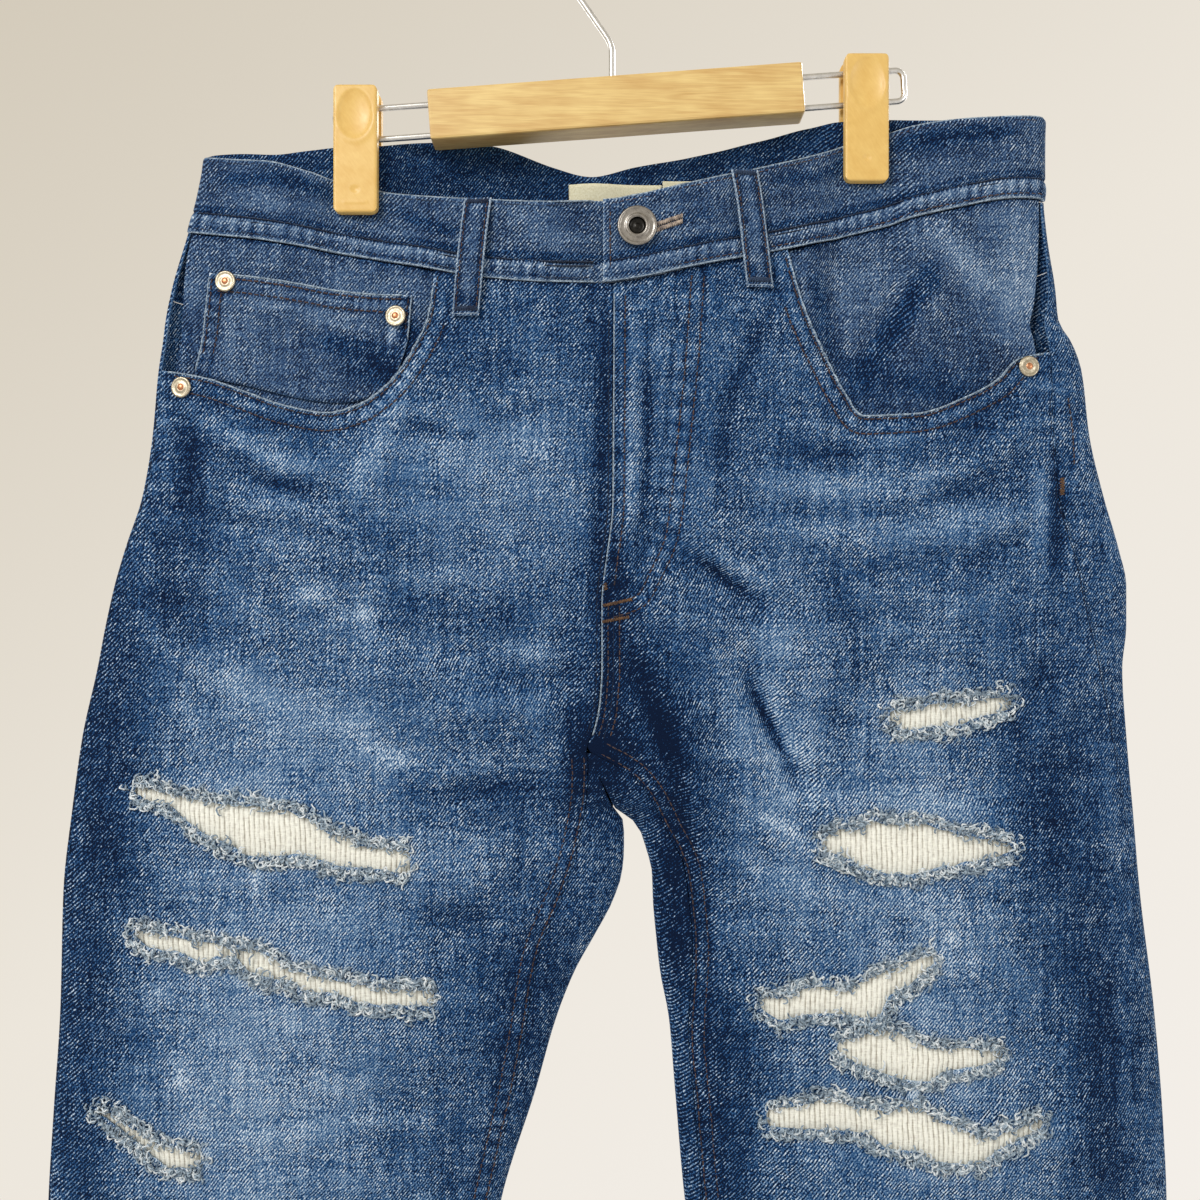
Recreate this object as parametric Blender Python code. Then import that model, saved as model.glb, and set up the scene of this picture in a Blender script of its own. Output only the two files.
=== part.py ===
"""Ripped five-pocket jeans hanging flat from the two clips of a wooden trouser hanger.

The cloth is a thin wall that follows one surface: a flattened hip ring that splits into two flattened
leg tubes. Short tables give that surface's outline, its depth and its seams, and every sewn piece is cut
from it between its own seams. Left and right are those of the front view, the front faces -Y, and the
origin is the inner top of the hanger's hook, where a rail carries it. Tables are in millimetres.
"""

import math

import bmesh
import bpy
import numpy as np
from mathutils import Matrix, Vector

MM = 0.001

# ---------------------------------------------------------------- driving sizes, in millimetres
DENIM = 1.2  # wall of one layer of denim
BAND = 3.0  # waistband, two layers and their turnings
HEM_WALL = 2.4  # turned-up hem
HEM_HEIGHT = 14.0
LOOP_WALL = 1.8  # belt loop strap
LOOP_WIDTH = 13.0
PATCH_WALL = 0.9  # ribbed backing behind the rips
LABEL_WALL = 0.5
SEAM_GAP = 0.3  # between two pieces at a seam
LAYER = 1.7  # from the middle of one layer to the middle of the next
HIP_Z = -275.0  # below this level the waistband no longer shapes the body
SPLIT_Z = -385.0  # the hip ring starts to pinch into two legs here
CROTCH_Z = -411.0  # the four seams meet here, on the front
FORK_Z = -440.7  # top of the gap between the legs
HEM_Z = -1165.0
LENS_POWER = 2.6  # roundness of a flattened tube's section, 2 is an ellipse
FRONT, BACK = -1, 1
LEFT, RIGHT = "left", "right"

BAR_SIZE = (186.0, 18.0, 25.0)
BAR_CENTRE = (2.0, 0.0, -90.0)
BAR_TILT = math.radians(4.2)  # the right end hangs higher
WIRE_RADIUS = 1.5
WIRE_SPACING = 15.5
WIRE_DEPTH = 24.0  # how far each wire runs into the bar
HOOK_RADIUS = 1.6
HOOK_BOWL = 22.0  # from the bowl's centre to the middle of its wire
HOOK_BEND_Z = -59.0
CLIP_SIZE = (21.8, 5.2, 63.5)
CLIP_FACE = 9.0  # from the wires' plane to a jaw's outer face
CLIP_GRIP = 3.8  # from the wires' plane to a jaw's lip
BUTTON_RADIUS = 9.6
RIVET_RADIUS = 5.2


class Table:
    """A short table with named columns, read as smooth curves of its first column."""

    def __init__(self, names, *rows):
        values = np.array(sorted(rows), float)
        self.key = values[:, 0]
        self.columns = dict(zip(names.split()[1:], values.T[1:]))
        self.slopes = {name: self.slopes_of(column) for name, column in self.columns.items()}

    def slopes_of(self, column):
        """Slopes at the rows that never carry a curve past its rows."""
        width = np.diff(self.key)
        rise = np.diff(column) / width
        before, after = rise[:-1], rise[1:]
        turns = before * after <= 0
        weight_before, weight_after = width[:-1] + 2 * width[1:], 2 * width[:-1] + width[1:]
        safe_before, safe_after = np.where(turns, 1, before), np.where(turns, 1, after)
        mean = (weight_before + weight_after) / (weight_before / safe_before + weight_after / safe_after)
        return np.concatenate([rise[:1], np.where(turns, 0, mean), rise[-1:]])

    def read(self, name, at):
        """The column's value at any place, level past the table's ends."""
        key = self.key
        at = np.clip(np.asarray(at, float), key[0], key[-1])
        low = np.clip(np.searchsorted(key, at, side="right") - 1, 0, len(key) - 2)
        width = key[low + 1] - key[low]
        t = (at - key[low]) / width
        column, slope = self.columns[name], self.slopes[name]
        start, end = column[low], column[low + 1]
        rise_start, rise_end = slope[low] * width, slope[low + 1] * width
        return (
            start * (1 + 2 * t) * (1 - t) ** 2
            + rise_start * t * (1 - t) ** 2
            + end * t * t * (3 - 2 * t)
            + rise_end * t * t * (t - 1)
        )


# ---------------------------------------------------------------- the garment's tables, in millimetres
OUTLINE = Table(
    "z left right",
    (-90, -201, 216),
    (-115, -203, 215.5),
    (-135, -206.5, 215.5),
    (-153, -211.5, 217),
    (-182, -220, 221.5),
    (-197, -223, 223),
    (-209, -224.5, 230),
    (-222, -226.5, 234.5),
    (-255, -229.5, 238.5),
    (-285, -234.5, 245.5),
    (-311, -243, 253),
    (-330, -248.5, 257),
    (-350, -253, 257),
    (-371, -257, 255),
    (-405, -264.5, 257),
    (-441, -269.5, 260),
    (-482, -274, 263.5),
    (-540, -275.5, 270.5),
    (-594, -279, 275),
    (-637, -281.5, 277),
    (-750, -284, 278),
    (-900, -282, 276),
    (-1165, -276, 271),
)
INNER_EDGE = Table(
    "z left right",
    (-440.7, 1, 1),
    (-444.5, 4, 8),
    (-451, 5.5, 14),
    (-461, 5.5, 17.5),
    (-473, 4.5, 20.5),
    (-487, 0, 21),
    (-504, -9, 22.5),
    (-522, -19, 24.5),
    (-546, -28.5, 29),
    (-581, -38.5, 32),
    (-637, -56, 37),
    (-750, -75, 57),
    (-900, -86, 72),
    (-1165, -93, 86),
)
INSEAM = Table(
    "z left right",
    (-411, -12.5, -12.5),
    (-420, -12, 4),
    (-426.5, -12, 13),
    (-441, -13.5, 22),
    (-454, -16, 28.5),
    (-468, -19.5, 35.5),
    (-485, -25.5, 38),
    (-511, -36, 40),
    (-553, -43.5, 38),
    (-582, -49, 40.5),
    (-633, -60.5, 45),
    (-750, -79.5, 64),
    (-900, -90, 77.5),
    (-1165, -97, 91),
)
OUTSEAM = Table(  # how far in from the outline, on the front
    "z left right",
    (-90, 1.5, 1.5),
    (-153, 1.5, 2),
    (-188, 2, 5),
    (-211, 2, 14),
    (-236, 2, 18),
    (-260, 2.5, 19.5),
    (-290, 2.5, 24),
    (-325, 2, 23.5),
    (-350, 2, 18.5),
    (-367, 2, 12.5),
    (-393, 2, 8),
    (-435, 2, 4.5),
    (-500, 2, 2),
    (-1165, 3, 3),
)
CENTRE_FRONT = Table(
    "z x",
    (-176, 0.5),
    (-288, 0),
    (-323, -4),
    (-338, -5.5),
    (-369, -5.5),
    (-387, -6.5),
    (-400, -9),
    (-411, -12.5),
    (-425, -6),
    (-440.7, 1),
)
CENTRE_BACK = Table("z x", (-150, 4), (-250, 3), (-350, 2), (-440.7, 1))
DEPTH = Table(  # from the middle plane to the cloth, at the middle of the ring
    "z front back",
    (-150, 14, 18),
    (-260, 13, 20),
    (-340, 13, 19),
    (-411, 12.5, 15),
    (-470, 12.5, 13),
    (-640, 11.5, 11.5),
    (-800, 11, 11),
    (-1165, 12, 12),
)
BAND_FRONT = Table(
    "x y_top y_mid y_seam top seam",
    (-203, 0, 0, 0, -115.5, -153.5),
    (-200, 3, 3, 3, -116.5, -154.5),
    (-188, 5, 5.5, 6, -118, -156.5),
    (-170, 7, 7.5, 8, -119.5, -159),
    (-150, 4, 5, 7, -124, -162.5),
    (-139, 2.1, 2.1, 6, -127.5, -165),
    (-115, 2.1, 2.1, 6, -133, -169),
    (-96, 7, 7.5, 9, -136.5, -172.5),
    (-65, 13, 13, 14, -140, -179),
    (-29, 16, 16, 16, -142, -182),
    (-5, 17, 17, 17, -142, -182.5),
    (12, 17, 17, 17, -139.5, -180.5),
    (37, 16, 16, 16, -133.5, -175),
    (73, 11, 11, 13, -124, -167.5),
    (99, 6, 7, 10, -116.5, -161.5),
    (114, 2.1, 2.1, 3.2, -111, -157),
    (138, 2.1, 2.1, 3.2, -104, -151),
    (150, 4, 5, 7, -101, -147.5),
    (170, 6, 6.5, 7, -98.5, -143),
    (198, 5, 5.5, 6, -96.5, -138),
    (212.5, 3, 3, 3, -96, -137.5),
    (215.5, 0, 0, 0, -96.5, -138),
)
BAND_BACK = Table(
    "x y_top y_mid y_seam top seam",
    (-203, 0, 0, 0, -115.5, -153.5),
    (-200, 3, 3, 3, -113.5, -152.5),
    (-188, 5, 5.5, 6, -112, -151),
    (-170, 7, 7.5, 8, -111.5, -150.5),
    (-150, 4, 5, 7, -110.5, -149.5),
    (-139, 2.1, 2.1, 2.1, -110, -149),
    (-115, 2.1, 2.1, 2.1, -109, -148),
    (-97, 10, 10.2, 10.5, -104.6, -144),
    (-84, 13.5, 13.5, 14, -103.6, -143),
    (-65, 16, 16, 16, -104, -143.5),
    (-29, 18, 18.5, 19, -115, -154),
    (-10, 13, 16, 19, -121, -159.5),
    (12, 16, 18, 20, -115, -154),
    (37, 17, 18, 19, -110.5, -149.5),
    (73, 13, 14, 15, -103.5, -143),
    (99, 8, 9, 11, -98.5, -138),
    (114, 2.1, 2.1, 2.1, -97, -136.5),
    (138, 2.1, 2.1, 2.1, -96, -135.5),
    (150, 4, 5, 7, -95.5, -135),
    (170, 6, 6.5, 7, -94.5, -134),
    (198, 5, 5.5, 6, -93, -134.5),
    (212.5, 3, 3, 3, -94, -136.5),
    (215.5, 0, 0, 0, -96.5, -138),
)
BAND_ENDS = (-203.0, 215.5)
BAND_LAP = 1.75  # how far each lapped end stands off the band's own line
OVERLAP_END, UNDERLAP_END = -4.5, 34.0
BAND_PLAIN = 142.0  # out to here the waistband's own x is the garment's
YOKE_SEAM = Table("x z", (-224, -187), (-110, -213), (3, -233), (110, -207), (226, -172))
POCKET_LEFT = Table(  # the front panel's curved edge, read by its share from the outseam
    "share x z",
    (0, -224.5, -222.5),
    (12, -201, -227),
    (25, -181, -234),
    (38, -161, -241),
    (50, -141, -244.5),
    (62, -126, -241),
    (74, -110, -229.5),
    (86, -97, -211),
    (94, -90.5, -196),
    (100, -87.5, -176.5),
)
POCKET_RIGHT = Table(
    "share x z",
    (0, 216.5, -214),
    (10, 201, -217.5),
    (22, 190, -228),
    (34, 174.5, -236.5),
    (48, 149, -245),
    (60, 124, -246),
    (70, 115, -235),
    (80, 105.5, -217),
    (91, 95, -194),
    (100, 86, -165),
)
FOLDS = Table(  # the largest soft folds: ends, half width and height, out of the cloth
    "row x0 z0 x1 z1 width height",
    (0, 26, -312, 66, -338, 13, -3.0),
    (1, 64, -370, 90, -424, 14, -3.0),
    (2, 36, -398, 50, -470, 12, 3.0),
    (3, -50, -395, -110, -372, 16, 2.5),
    (4, -180, -520, -90, -560, 22, 2.0),
    (5, 110, -640, 230, -610, 24, 2.0),
    (6, -240, -760, -110, -730, 30, 3.0),
    (7, 90, -770, 250, -735, 30, 3.0),
    (8, -200, -1010, -170, -1120, 26, 2.5),
    (9, 190, -990, 165, -1120, 26, 2.5),
)
FOLD_ROWS = 10
RIPS = {  # each rip's upper and lower lip, read along x
    "left_1": Table(
        "x top bottom",
        (-233, -428.5, -433),
        (-211, -433, -441),
        (-182, -437.5, -457),
        (-167, -439, -461.5),
        (-146, -445, -462),
        (-129, -452, -466.5),
        (-99, -459.5, -470),
    ),
    "left_2": Table(
        "x top bottom",
        (-233, -498.5, -501),
        (-209, -502, -508.5),
        (-182, -507, -511),
        (-153, -517, -523),
        (-120, -525.5, -532),
        (-88, -528, -534.5),
    ),
    "left_3": Table(
        "x top bottom",
        (-250, -586, -589),
        (-235, -594, -599),
        (-221, -603, -610.5),
        (-201, -606.5, -613.5),
    ),
    "right_1": Table(
        "x top bottom",
        (136, -391.5, -396.5),
        (156, -388, -398.5),
        (178.5, -386.5, -394.5),
        (195, -384.5, -390),
    ),
    "right_2": Table(
        "x top bottom",
        (104, -454, -459),
        (121.5, -449, -466),
        (134, -447, -469.5),
        (151, -446.5, -468.5),
        (170, -452, -464.5),
        (195, -456.5, -460),
    ),
    "right_3": Table(
        "x top bottom",
        (72, -531.5, -535.5),
        (94.5, -527, -539),
        (113, -528, -538.5),
        (134, -518, -532.5),
        (156, -509.5, -514),
    ),
    "right_4": Table(
        "x top bottom",
        (110.5, -552.5, -557),
        (128, -547.5, -565.5),
        (143, -550.5, -570),
        (163.5, -556.5, -566),
        (190, -558.5, -561),
    ),
    "right_5": Table(
        "x top bottom",
        (77, -586.5, -594),
        (106, -579.5, -595),
        (129.5, -586, -600),
        (148, -585.5, -605),
        (166, -593.5, -610),
        (188, -597.5, -603.5),
        (209.5, -590, -593),
    ),
}
PATCHES = {  # backing cloth behind the rips: left, right, foot and top
    "left_1": (-256, -70, -479, -419),
    "left_2": (-256, -60, -554, -490),
    "left_3": (-276, -170, -641, -571),
    "right_1": (112, 225, -412, -367),
    "right_2": (85, 225, -479, -433),
    "right_3": (50, 236, -641, -490),
}
LOOPS = {  # belt loops: side, then top and bottom of the strap's middle line
    "front_left": (FRONT, -65, -141, -71.5, -198),
    "front_right": (FRONT, 64, -127, 72, -184),
    "back_left": (BACK, -162, -112, -163, -168),
    "back_centre": (BACK, 3, -119, 3, -177),
    "back_right": (BACK, 168, -95.5, 170, -152),
}
BACK_POCKETS = {LEFT: (-98.0, -246.0), RIGHT: (103.0, -240.0)}  # middle of the top edge
BACK_POCKET_SIZE = (142.0, 128.0, 152.0)  # width, height at the sides, height at the point
RIVETS = {
    "coin_outer": (-191.0, -179.5),
    "coin_inner": (-106.5, -197.0),
    "pocket_left": (-213.5, -231.5),
    "pocket_right": (206.0, -221.5),
}
CLIP_TOPS = {LEFT: (-127.0, -82.0), RIGHT: (126.0, -66.5)}
WIRE_ENDS = {LEFT: -140.0, RIGHT: 148.0}

COLOURS = {  # base colour, roughness, metallic
    "denim": ((0.045, 0.105, 0.24, 1), 0.85, 0.0),
    "denim_dark": ((0.02, 0.055, 0.15, 1), 0.85, 0.0),
    "ribbed_backing": ((0.78, 0.74, 0.60, 1), 0.9, 0.0),
    "cream_tape": ((0.80, 0.75, 0.52, 1), 0.7, 0.0),
    "pewter": ((0.42, 0.38, 0.32, 1), 0.35, 1.0),
    "nickel": ((0.75, 0.70, 0.58, 1), 0.3, 1.0),
    "maple": ((0.78, 0.55, 0.24, 1), 0.5, 0.0),
    "moulded_plastic": ((0.80, 0.55, 0.22, 1), 0.4, 0.0),
    "chrome": ((0.62, 0.62, 0.62, 1), 0.15, 1.0),
}


# ---------------------------------------------------------------- the surface all cloth follows
def lens(t):
    """Depth share across a flattened tube, from 0 at its edges to 1 at its middle."""
    return np.sqrt(np.clip(1 - np.abs(t) ** LENS_POWER, 0, 1))


def ease(t):
    """Smooth step from 0 to 1."""
    t = np.clip(t, 0, 1)
    return t * t * (3 - 2 * t)


def centre(side, z):
    """x of the seam between the two halves, on the front or the back."""
    return (CENTRE_FRONT if side == FRONT else CENTRE_BACK).read("x", z)


def outer_edge(leg, z):
    return OUTLINE.read(leg, z)


def inner_edge(side, leg, z):
    """x of a leg's inner edge, and above the fork the middle seam."""
    return np.where(z > FORK_Z, centre(side, z), INNER_EDGE.read(leg, z))


def outseam(leg, z):
    inward = 1 if leg == LEFT else -1
    return outer_edge(leg, z) + inward * OUTSEAM.read(leg, z)


def fold_height(x, z):
    """Height of the large folds above the smooth front surface."""
    total = np.zeros(np.broadcast(x, z).shape)
    for row in range(FOLD_ROWS):
        x0, z0, x1, z1, width, height = (float(FOLDS.columns[name][row]) for name in FOLDS.columns)
        length2 = (x1 - x0) ** 2 + (z1 - z0) ** 2
        along = ((x - x0) * (x1 - x0) + (z - z0) * (z1 - z0)) / length2
        near = np.clip(along, 0, 1)
        off2 = (x - x0 - near * (x1 - x0)) ** 2 + (z - z0 - near * (z1 - z0)) ** 2
        total = total + height * np.exp(-off2 / width**2)
    return total


def body_depth(side, leg, x, z):
    """Depth of the hip ring, and below the fork of the leg tube."""
    left, right = outer_edge(LEFT, z), outer_edge(RIGHT, z)
    inner = inner_edge(side, leg, z)
    low, high = (left, inner) if leg == LEFT else (inner, right)
    whole = lens((2 * x - left - right) / (right - left))
    single = lens(np.clip((2 * x - low - high) / (high - low), -1, 1))
    pinch = np.clip((SPLIT_Z - z) / (SPLIT_Z - FORK_Z), 0, 1)
    share = 1 - np.sqrt(1 - pinch**2)
    profile = (1 - share) * whole + share * single
    depth = DEPTH.read("front" if side == FRONT else "back", z)
    folds = fold_height(x, z)
    if side == BACK:
        folds = 0.6 * fold_height(-x, z + 20) * ease((-430 - z) / 60)
    return profile * (depth + folds)


def band_x(x, z):
    """The waistband's own x for a place: the same across the middle, drawn in towards the sides."""
    x, z = np.asarray(x, float), np.asarray(z, float)
    low, high = BAND_ENDS
    left = -BAND_PLAIN + (x + BAND_PLAIN) * (low + BAND_PLAIN) / (OUTLINE.read(LEFT, z) + BAND_PLAIN)
    right = BAND_PLAIN + (x - BAND_PLAIN) * (high - BAND_PLAIN) / (OUTLINE.read(RIGHT, z) - BAND_PLAIN)
    return np.clip(np.where(x < -BAND_PLAIN, left, np.where(x > BAND_PLAIN, right, x)), low, high)


def real_x(x, z):
    """The place across the garment of one of the waistband's own x."""
    low, high = BAND_ENDS
    if x < -BAND_PLAIN:
        return -BAND_PLAIN + (x + BAND_PLAIN) * (float(OUTLINE.read(LEFT, z)) + BAND_PLAIN) / (low + BAND_PLAIN)
    if x > BAND_PLAIN:
        return BAND_PLAIN + (x - BAND_PLAIN) * (float(OUTLINE.read(RIGHT, z)) - BAND_PLAIN) / (high - BAND_PLAIN)
    return x


def cloth_y(side, leg, x, z):
    """y of the middle of the cloth wall, waistband to hem."""
    x, z = np.asarray(x, float), np.asarray(z, float)
    x_band = band_x(x, z)
    table = BAND_FRONT if side == FRONT else BAND_BACK
    top, seam = table.read("top", x_band), table.read("seam", x_band)
    down = np.clip((top - z) / (top - seam), 0, 1)
    y_top, y_mid, y_seam = (table.read(name, x_band) for name in ("y_top", "y_mid", "y_seam"))
    band = np.where(
        down < 0.5,
        y_top + (y_mid - y_top) * 2 * down,
        y_mid + (y_seam - y_mid) * (2 * down - 1),
    )
    lower = ease((seam - z) / (seam - HIP_Z))
    return side * ((1 - lower) * band + lower * body_depth(side, leg, x, z))


def cloth_point(side, leg, x, z, out=0.0):
    """A point of the cloth, moved out of the garment along its normal; side 0 is the middle plane."""
    if side == 0:
        return Vector((x, 0, z)) * MM
    y = float(cloth_y(side, leg, x, z))
    if out == 0:
        return Vector((x, y, z)) * MM
    step = 2.0
    slope_x = float(cloth_y(side, leg, x + step, z) - cloth_y(side, leg, x - step, z)) / (2 * step)
    slope_z = float(cloth_y(side, leg, x, z + step) - cloth_y(side, leg, x, z - step)) / (2 * step)
    normal = Vector((-side * slope_x, side, -side * slope_z)).normalized()
    return (Vector((x, y, z)) + out * normal) * MM


def seam_z(side, x):
    """z of the waistband's lower seam."""
    table = BAND_FRONT if side == FRONT else BAND_BACK
    z = float(table.read("seam", x))
    for _ in range(3):
        z = float(table.read("seam", band_x(x, z)))
    return z


# ---------------------------------------------------------------- meshes and objects
def material(name):
    """The named finish as a Principled material, made once."""
    made = bpy.data.materials.get(name)
    if made is None:
        made = bpy.data.materials.new(name)
        made.use_nodes = True
        shader = made.node_tree.nodes["Principled BSDF"]
        colour, roughness, metallic = COLOURS[name]
        shader.inputs["Base Color"].default_value = colour
        shader.inputs["Roughness"].default_value = roughness
        shader.inputs["Metallic"].default_value = metallic
        made.diffuse_color = colour
    return made


def add_object(name, data, finish):
    """A scene object for a mesh or curve, with its finish."""
    made = bpy.data.objects.new(name, data)
    bpy.context.scene.collection.objects.link(made)
    data.materials.append(material(finish))
    return made


def mesh_object(name, built, finish, smooth=False):
    """An object from a bmesh, with its normals turned outward."""
    mesh = bpy.data.meshes.new(name)
    built.to_mesh(mesh)
    built.free()
    if smooth:
        mesh.shade_smooth()
        mesh.set_sharp_from_angle(angle=math.radians(40))
    return add_object(name, mesh, finish)


class Sheet:
    """The middle surface of one cloth piece, made of point grids that share their meeting points."""

    def __init__(self):
        self.places = {}
        self.points = []
        self.faces = []

    def index(self, point):
        """The index of a point, shared by all grids that reach the same place."""
        key = tuple(round(value * 1e6) for value in point)
        if key not in self.places:
            self.places[key] = len(self.points)
            self.points.append(point)
        return self.places[key]

    def add_grid(self, rows, turn=False):
        """Adds a grid of points, wound so that its faces look out of the garment."""
        indices = [[self.index(point) for point in row] for row in rows]
        for upper, lower in zip(indices, indices[1:]):
            for k in range(len(upper) - 1):
                corners = [upper[k], lower[k], lower[k + 1], upper[k + 1]]
                corners = [c for n, c in enumerate(corners) if c != corners[n - 1]]
                if len(corners) > 2:
                    self.faces.append(corners[::-1] if turn else corners)

    def thicken(self, name, wall, finish):
        """The piece as an object: a closed wall, half on each side of the sheet."""
        mesh = bpy.data.meshes.new(name)
        mesh.from_pydata([tuple(point) for point in self.points], [], self.faces)
        mesh.shade_smooth()
        made = add_object(name, mesh, finish)
        solid = made.modifiers.new("wall", "SOLIDIFY")
        solid.thickness = wall * MM
        solid.offset = 0
        return made


def coons(top, bottom, low, high, across=None, down=None):
    """A grid of (x, z) places between four boundary curves given as equal-length arrays."""
    across = np.linspace(0, 1, len(top)) if across is None else across
    down = np.linspace(0, 1, len(low)) if down is None else down
    s, t = across[None, :, None], down[:, None, None]
    ruled = (1 - t) * top[None] + t * bottom[None] + (1 - s) * low[:, None] + s * high[:, None]
    corners = (
        (1 - s) * (1 - t) * top[0] + s * (1 - t) * top[-1] + (1 - s) * t * bottom[0] + s * t * bottom[-1]
    )
    return ruled - corners


def line(start, end, shares, bend=()):
    """Places at the given shares of a smooth curve from start to end through the bend places."""
    stops = np.array([start, *bend, end], float)
    place = np.linspace(0, 1, len(stops))
    curves = Table("share x z", *(tuple(row) for row in np.column_stack([place, stops])))
    return np.stack([curves.read("x", shares), curves.read("z", shares)], axis=1)


def cut(target, cutter):
    """Cuts one object from another and keeps the cutter as a hidden guide."""
    cutter.hide_render = True
    cutter.display_type = "WIRE"
    boolean = target.modifiers.new("cut " + cutter.name, "BOOLEAN")
    boolean.operation = "DIFFERENCE"
    boolean.object = cutter


def prism(name, outline, low_y, high_y):
    """A closed prism along Y over an (x, z) outline."""
    built = bmesh.new()
    ring = [built.verts.new((x * MM, low_y * MM, z * MM)) for x, z in outline]
    face = built.faces.new(ring)
    moved = bmesh.ops.extrude_face_region(built, geom=[face])
    risen = [item for item in moved["geom"] if isinstance(item, bmesh.types.BMVert)]
    bmesh.ops.translate(built, verts=risen, vec=(0, (high_y - low_y) * MM, 0))
    bmesh.ops.recalc_face_normals(built, faces=built.faces)
    return mesh_object(name, built, "denim")


def rod(name, start, end, radius, sides=16):
    """A closed cylinder between two places, in millimetres."""
    start, end = Vector(start), Vector(end)
    built = bmesh.new()
    turn = (end - start).to_track_quat("Z", "Y").to_matrix().to_4x4()
    bmesh.ops.create_cone(
        built,
        cap_ends=True,
        segments=sides,
        radius1=radius * MM,
        radius2=radius * MM,
        depth=(end - start).length * MM,
        matrix=Matrix.Translation((start + end) / 2 * MM) @ turn,
    )
    return mesh_object(name, built, "chrome")


def turned(name, profile, steps, place, finish):
    """A closed round piece spun from a (radius, height) profile that starts and ends on its axis."""
    built = bmesh.new()
    rings = []
    for radius, height in profile:
        if radius == 0:
            rings.append([built.verts.new((0, 0, height * MM))])
            continue
        angles = [2 * math.pi * k / steps for k in range(steps)]
        rings.append(
            [built.verts.new((radius * MM * math.cos(a), radius * MM * math.sin(a), height * MM)) for a in angles]
        )
    for lower, upper in zip(rings, rings[1:]):
        for k in range(steps):
            corners = [lower[k % len(lower)], lower[(k + 1) % len(lower)]]
            corners += [upper[(k + 1) % len(upper)], upper[k % len(upper)]]
            built.faces.new(list(dict.fromkeys(corners)))
    bmesh.ops.recalc_face_normals(built, faces=built.faces)
    made = mesh_object(name, built, finish, smooth=True)
    made.matrix_world = place
    return made


def resting_place(leg, x, z, lift_at, lift):
    """A frame lift above a layer of the front whose own height is lift_at(x, z), with Z pointing out."""
    near = cloth_point(FRONT, leg, x, z, lift_at(x, z))
    along = cloth_point(FRONT, leg, x + 4, z, lift_at(x + 4, z)) - near
    up = cloth_point(FRONT, leg, x, z + 4, lift_at(x, z + 4)) - near
    out = along.cross(up).normalized()
    turn = out.to_track_quat("Z", "Y").to_matrix().to_4x4()
    return Matrix.Translation(near + out * lift * MM) @ turn


def wire(name, places, radius, finish="chrome"):
    """A round wire along places in millimetres, with closed ends."""
    curve = bpy.data.curves.new(name, "CURVE")
    curve.dimensions = "3D"
    spline = curve.splines.new("POLY")
    spline.points.add(len(places) - 1)
    for point, place in zip(spline.points, places):
        point.co = (*(Vector(place) * MM), 1)
    curve.bevel_depth = radius * MM
    curve.bevel_resolution = 2
    curve.use_fill_caps = True
    return add_object(name, curve, finish)


# ---------------------------------------------------------------- sewn pieces
HIP_LEVELS = (HIP_Z, -297, -320, -344, -366, -386, CROTCH_Z, -415, -420, -426.5, -433.5)
LEG_LEVELS = (FORK_Z, -455, -471, -488, -506, -526, -548, -574, -604, -640)
LEG_LEVELS += (-700, -790, -900, -1030, HEM_Z + HEM_HEIGHT + SEAM_GAP)
TONGUE_LEVELS = (-415, -420, -426.5, -433.5)
FRONT_COLUMNS = 11
POCKET_COLUMNS = 7  # of the front panel's columns, those that end in the pocket opening
WRAP_COLUMNS = {LEFT: 1, RIGHT: 2}  # round the side to the outseam
TONGUE_COLUMNS = 3  # round the inner thigh to the inseam
SIDE_GAP = 0.25  # half the gap at the outseam
SEAT_STATIONS = {  # the waistband's own x for each column of a yoke, from the seat seam to the side
    LEFT: (3.85, -10, -29, -65, -97, -115, -139, -170, -203),
    RIGHT: (4.15, 12, 37, 73, 99, 138, 170, 198, 215.5),
}
BACK_COLUMNS = len(SEAT_STATIONS[LEFT]) - 1


def spread(count, both_ends):
    """Shares from 0 to 1, closer together at the start, and at the end as both_ends goes to 1."""
    k = np.arange(count + 1) / count
    one_end = 0.35 * k + 0.65 * (1 - np.cos(math.pi / 2 * k))
    return (1 - both_ends) * one_end + both_ends * (0.15 * k + 0.85 * (1 - np.cos(math.pi * k)) / 2)


def leg_share(z):
    return float(ease((-330 - z) / 120))


def front_inner(leg, z):
    """x of the front panel's inner boundary: the centre seam, then the inseam."""
    inward = -1 if leg == LEFT else 1
    x = centre(FRONT, z) if z >= CROTCH_Z else INSEAM.read(leg, z)
    return float(x) + inward * SEAM_GAP / 2


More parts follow.
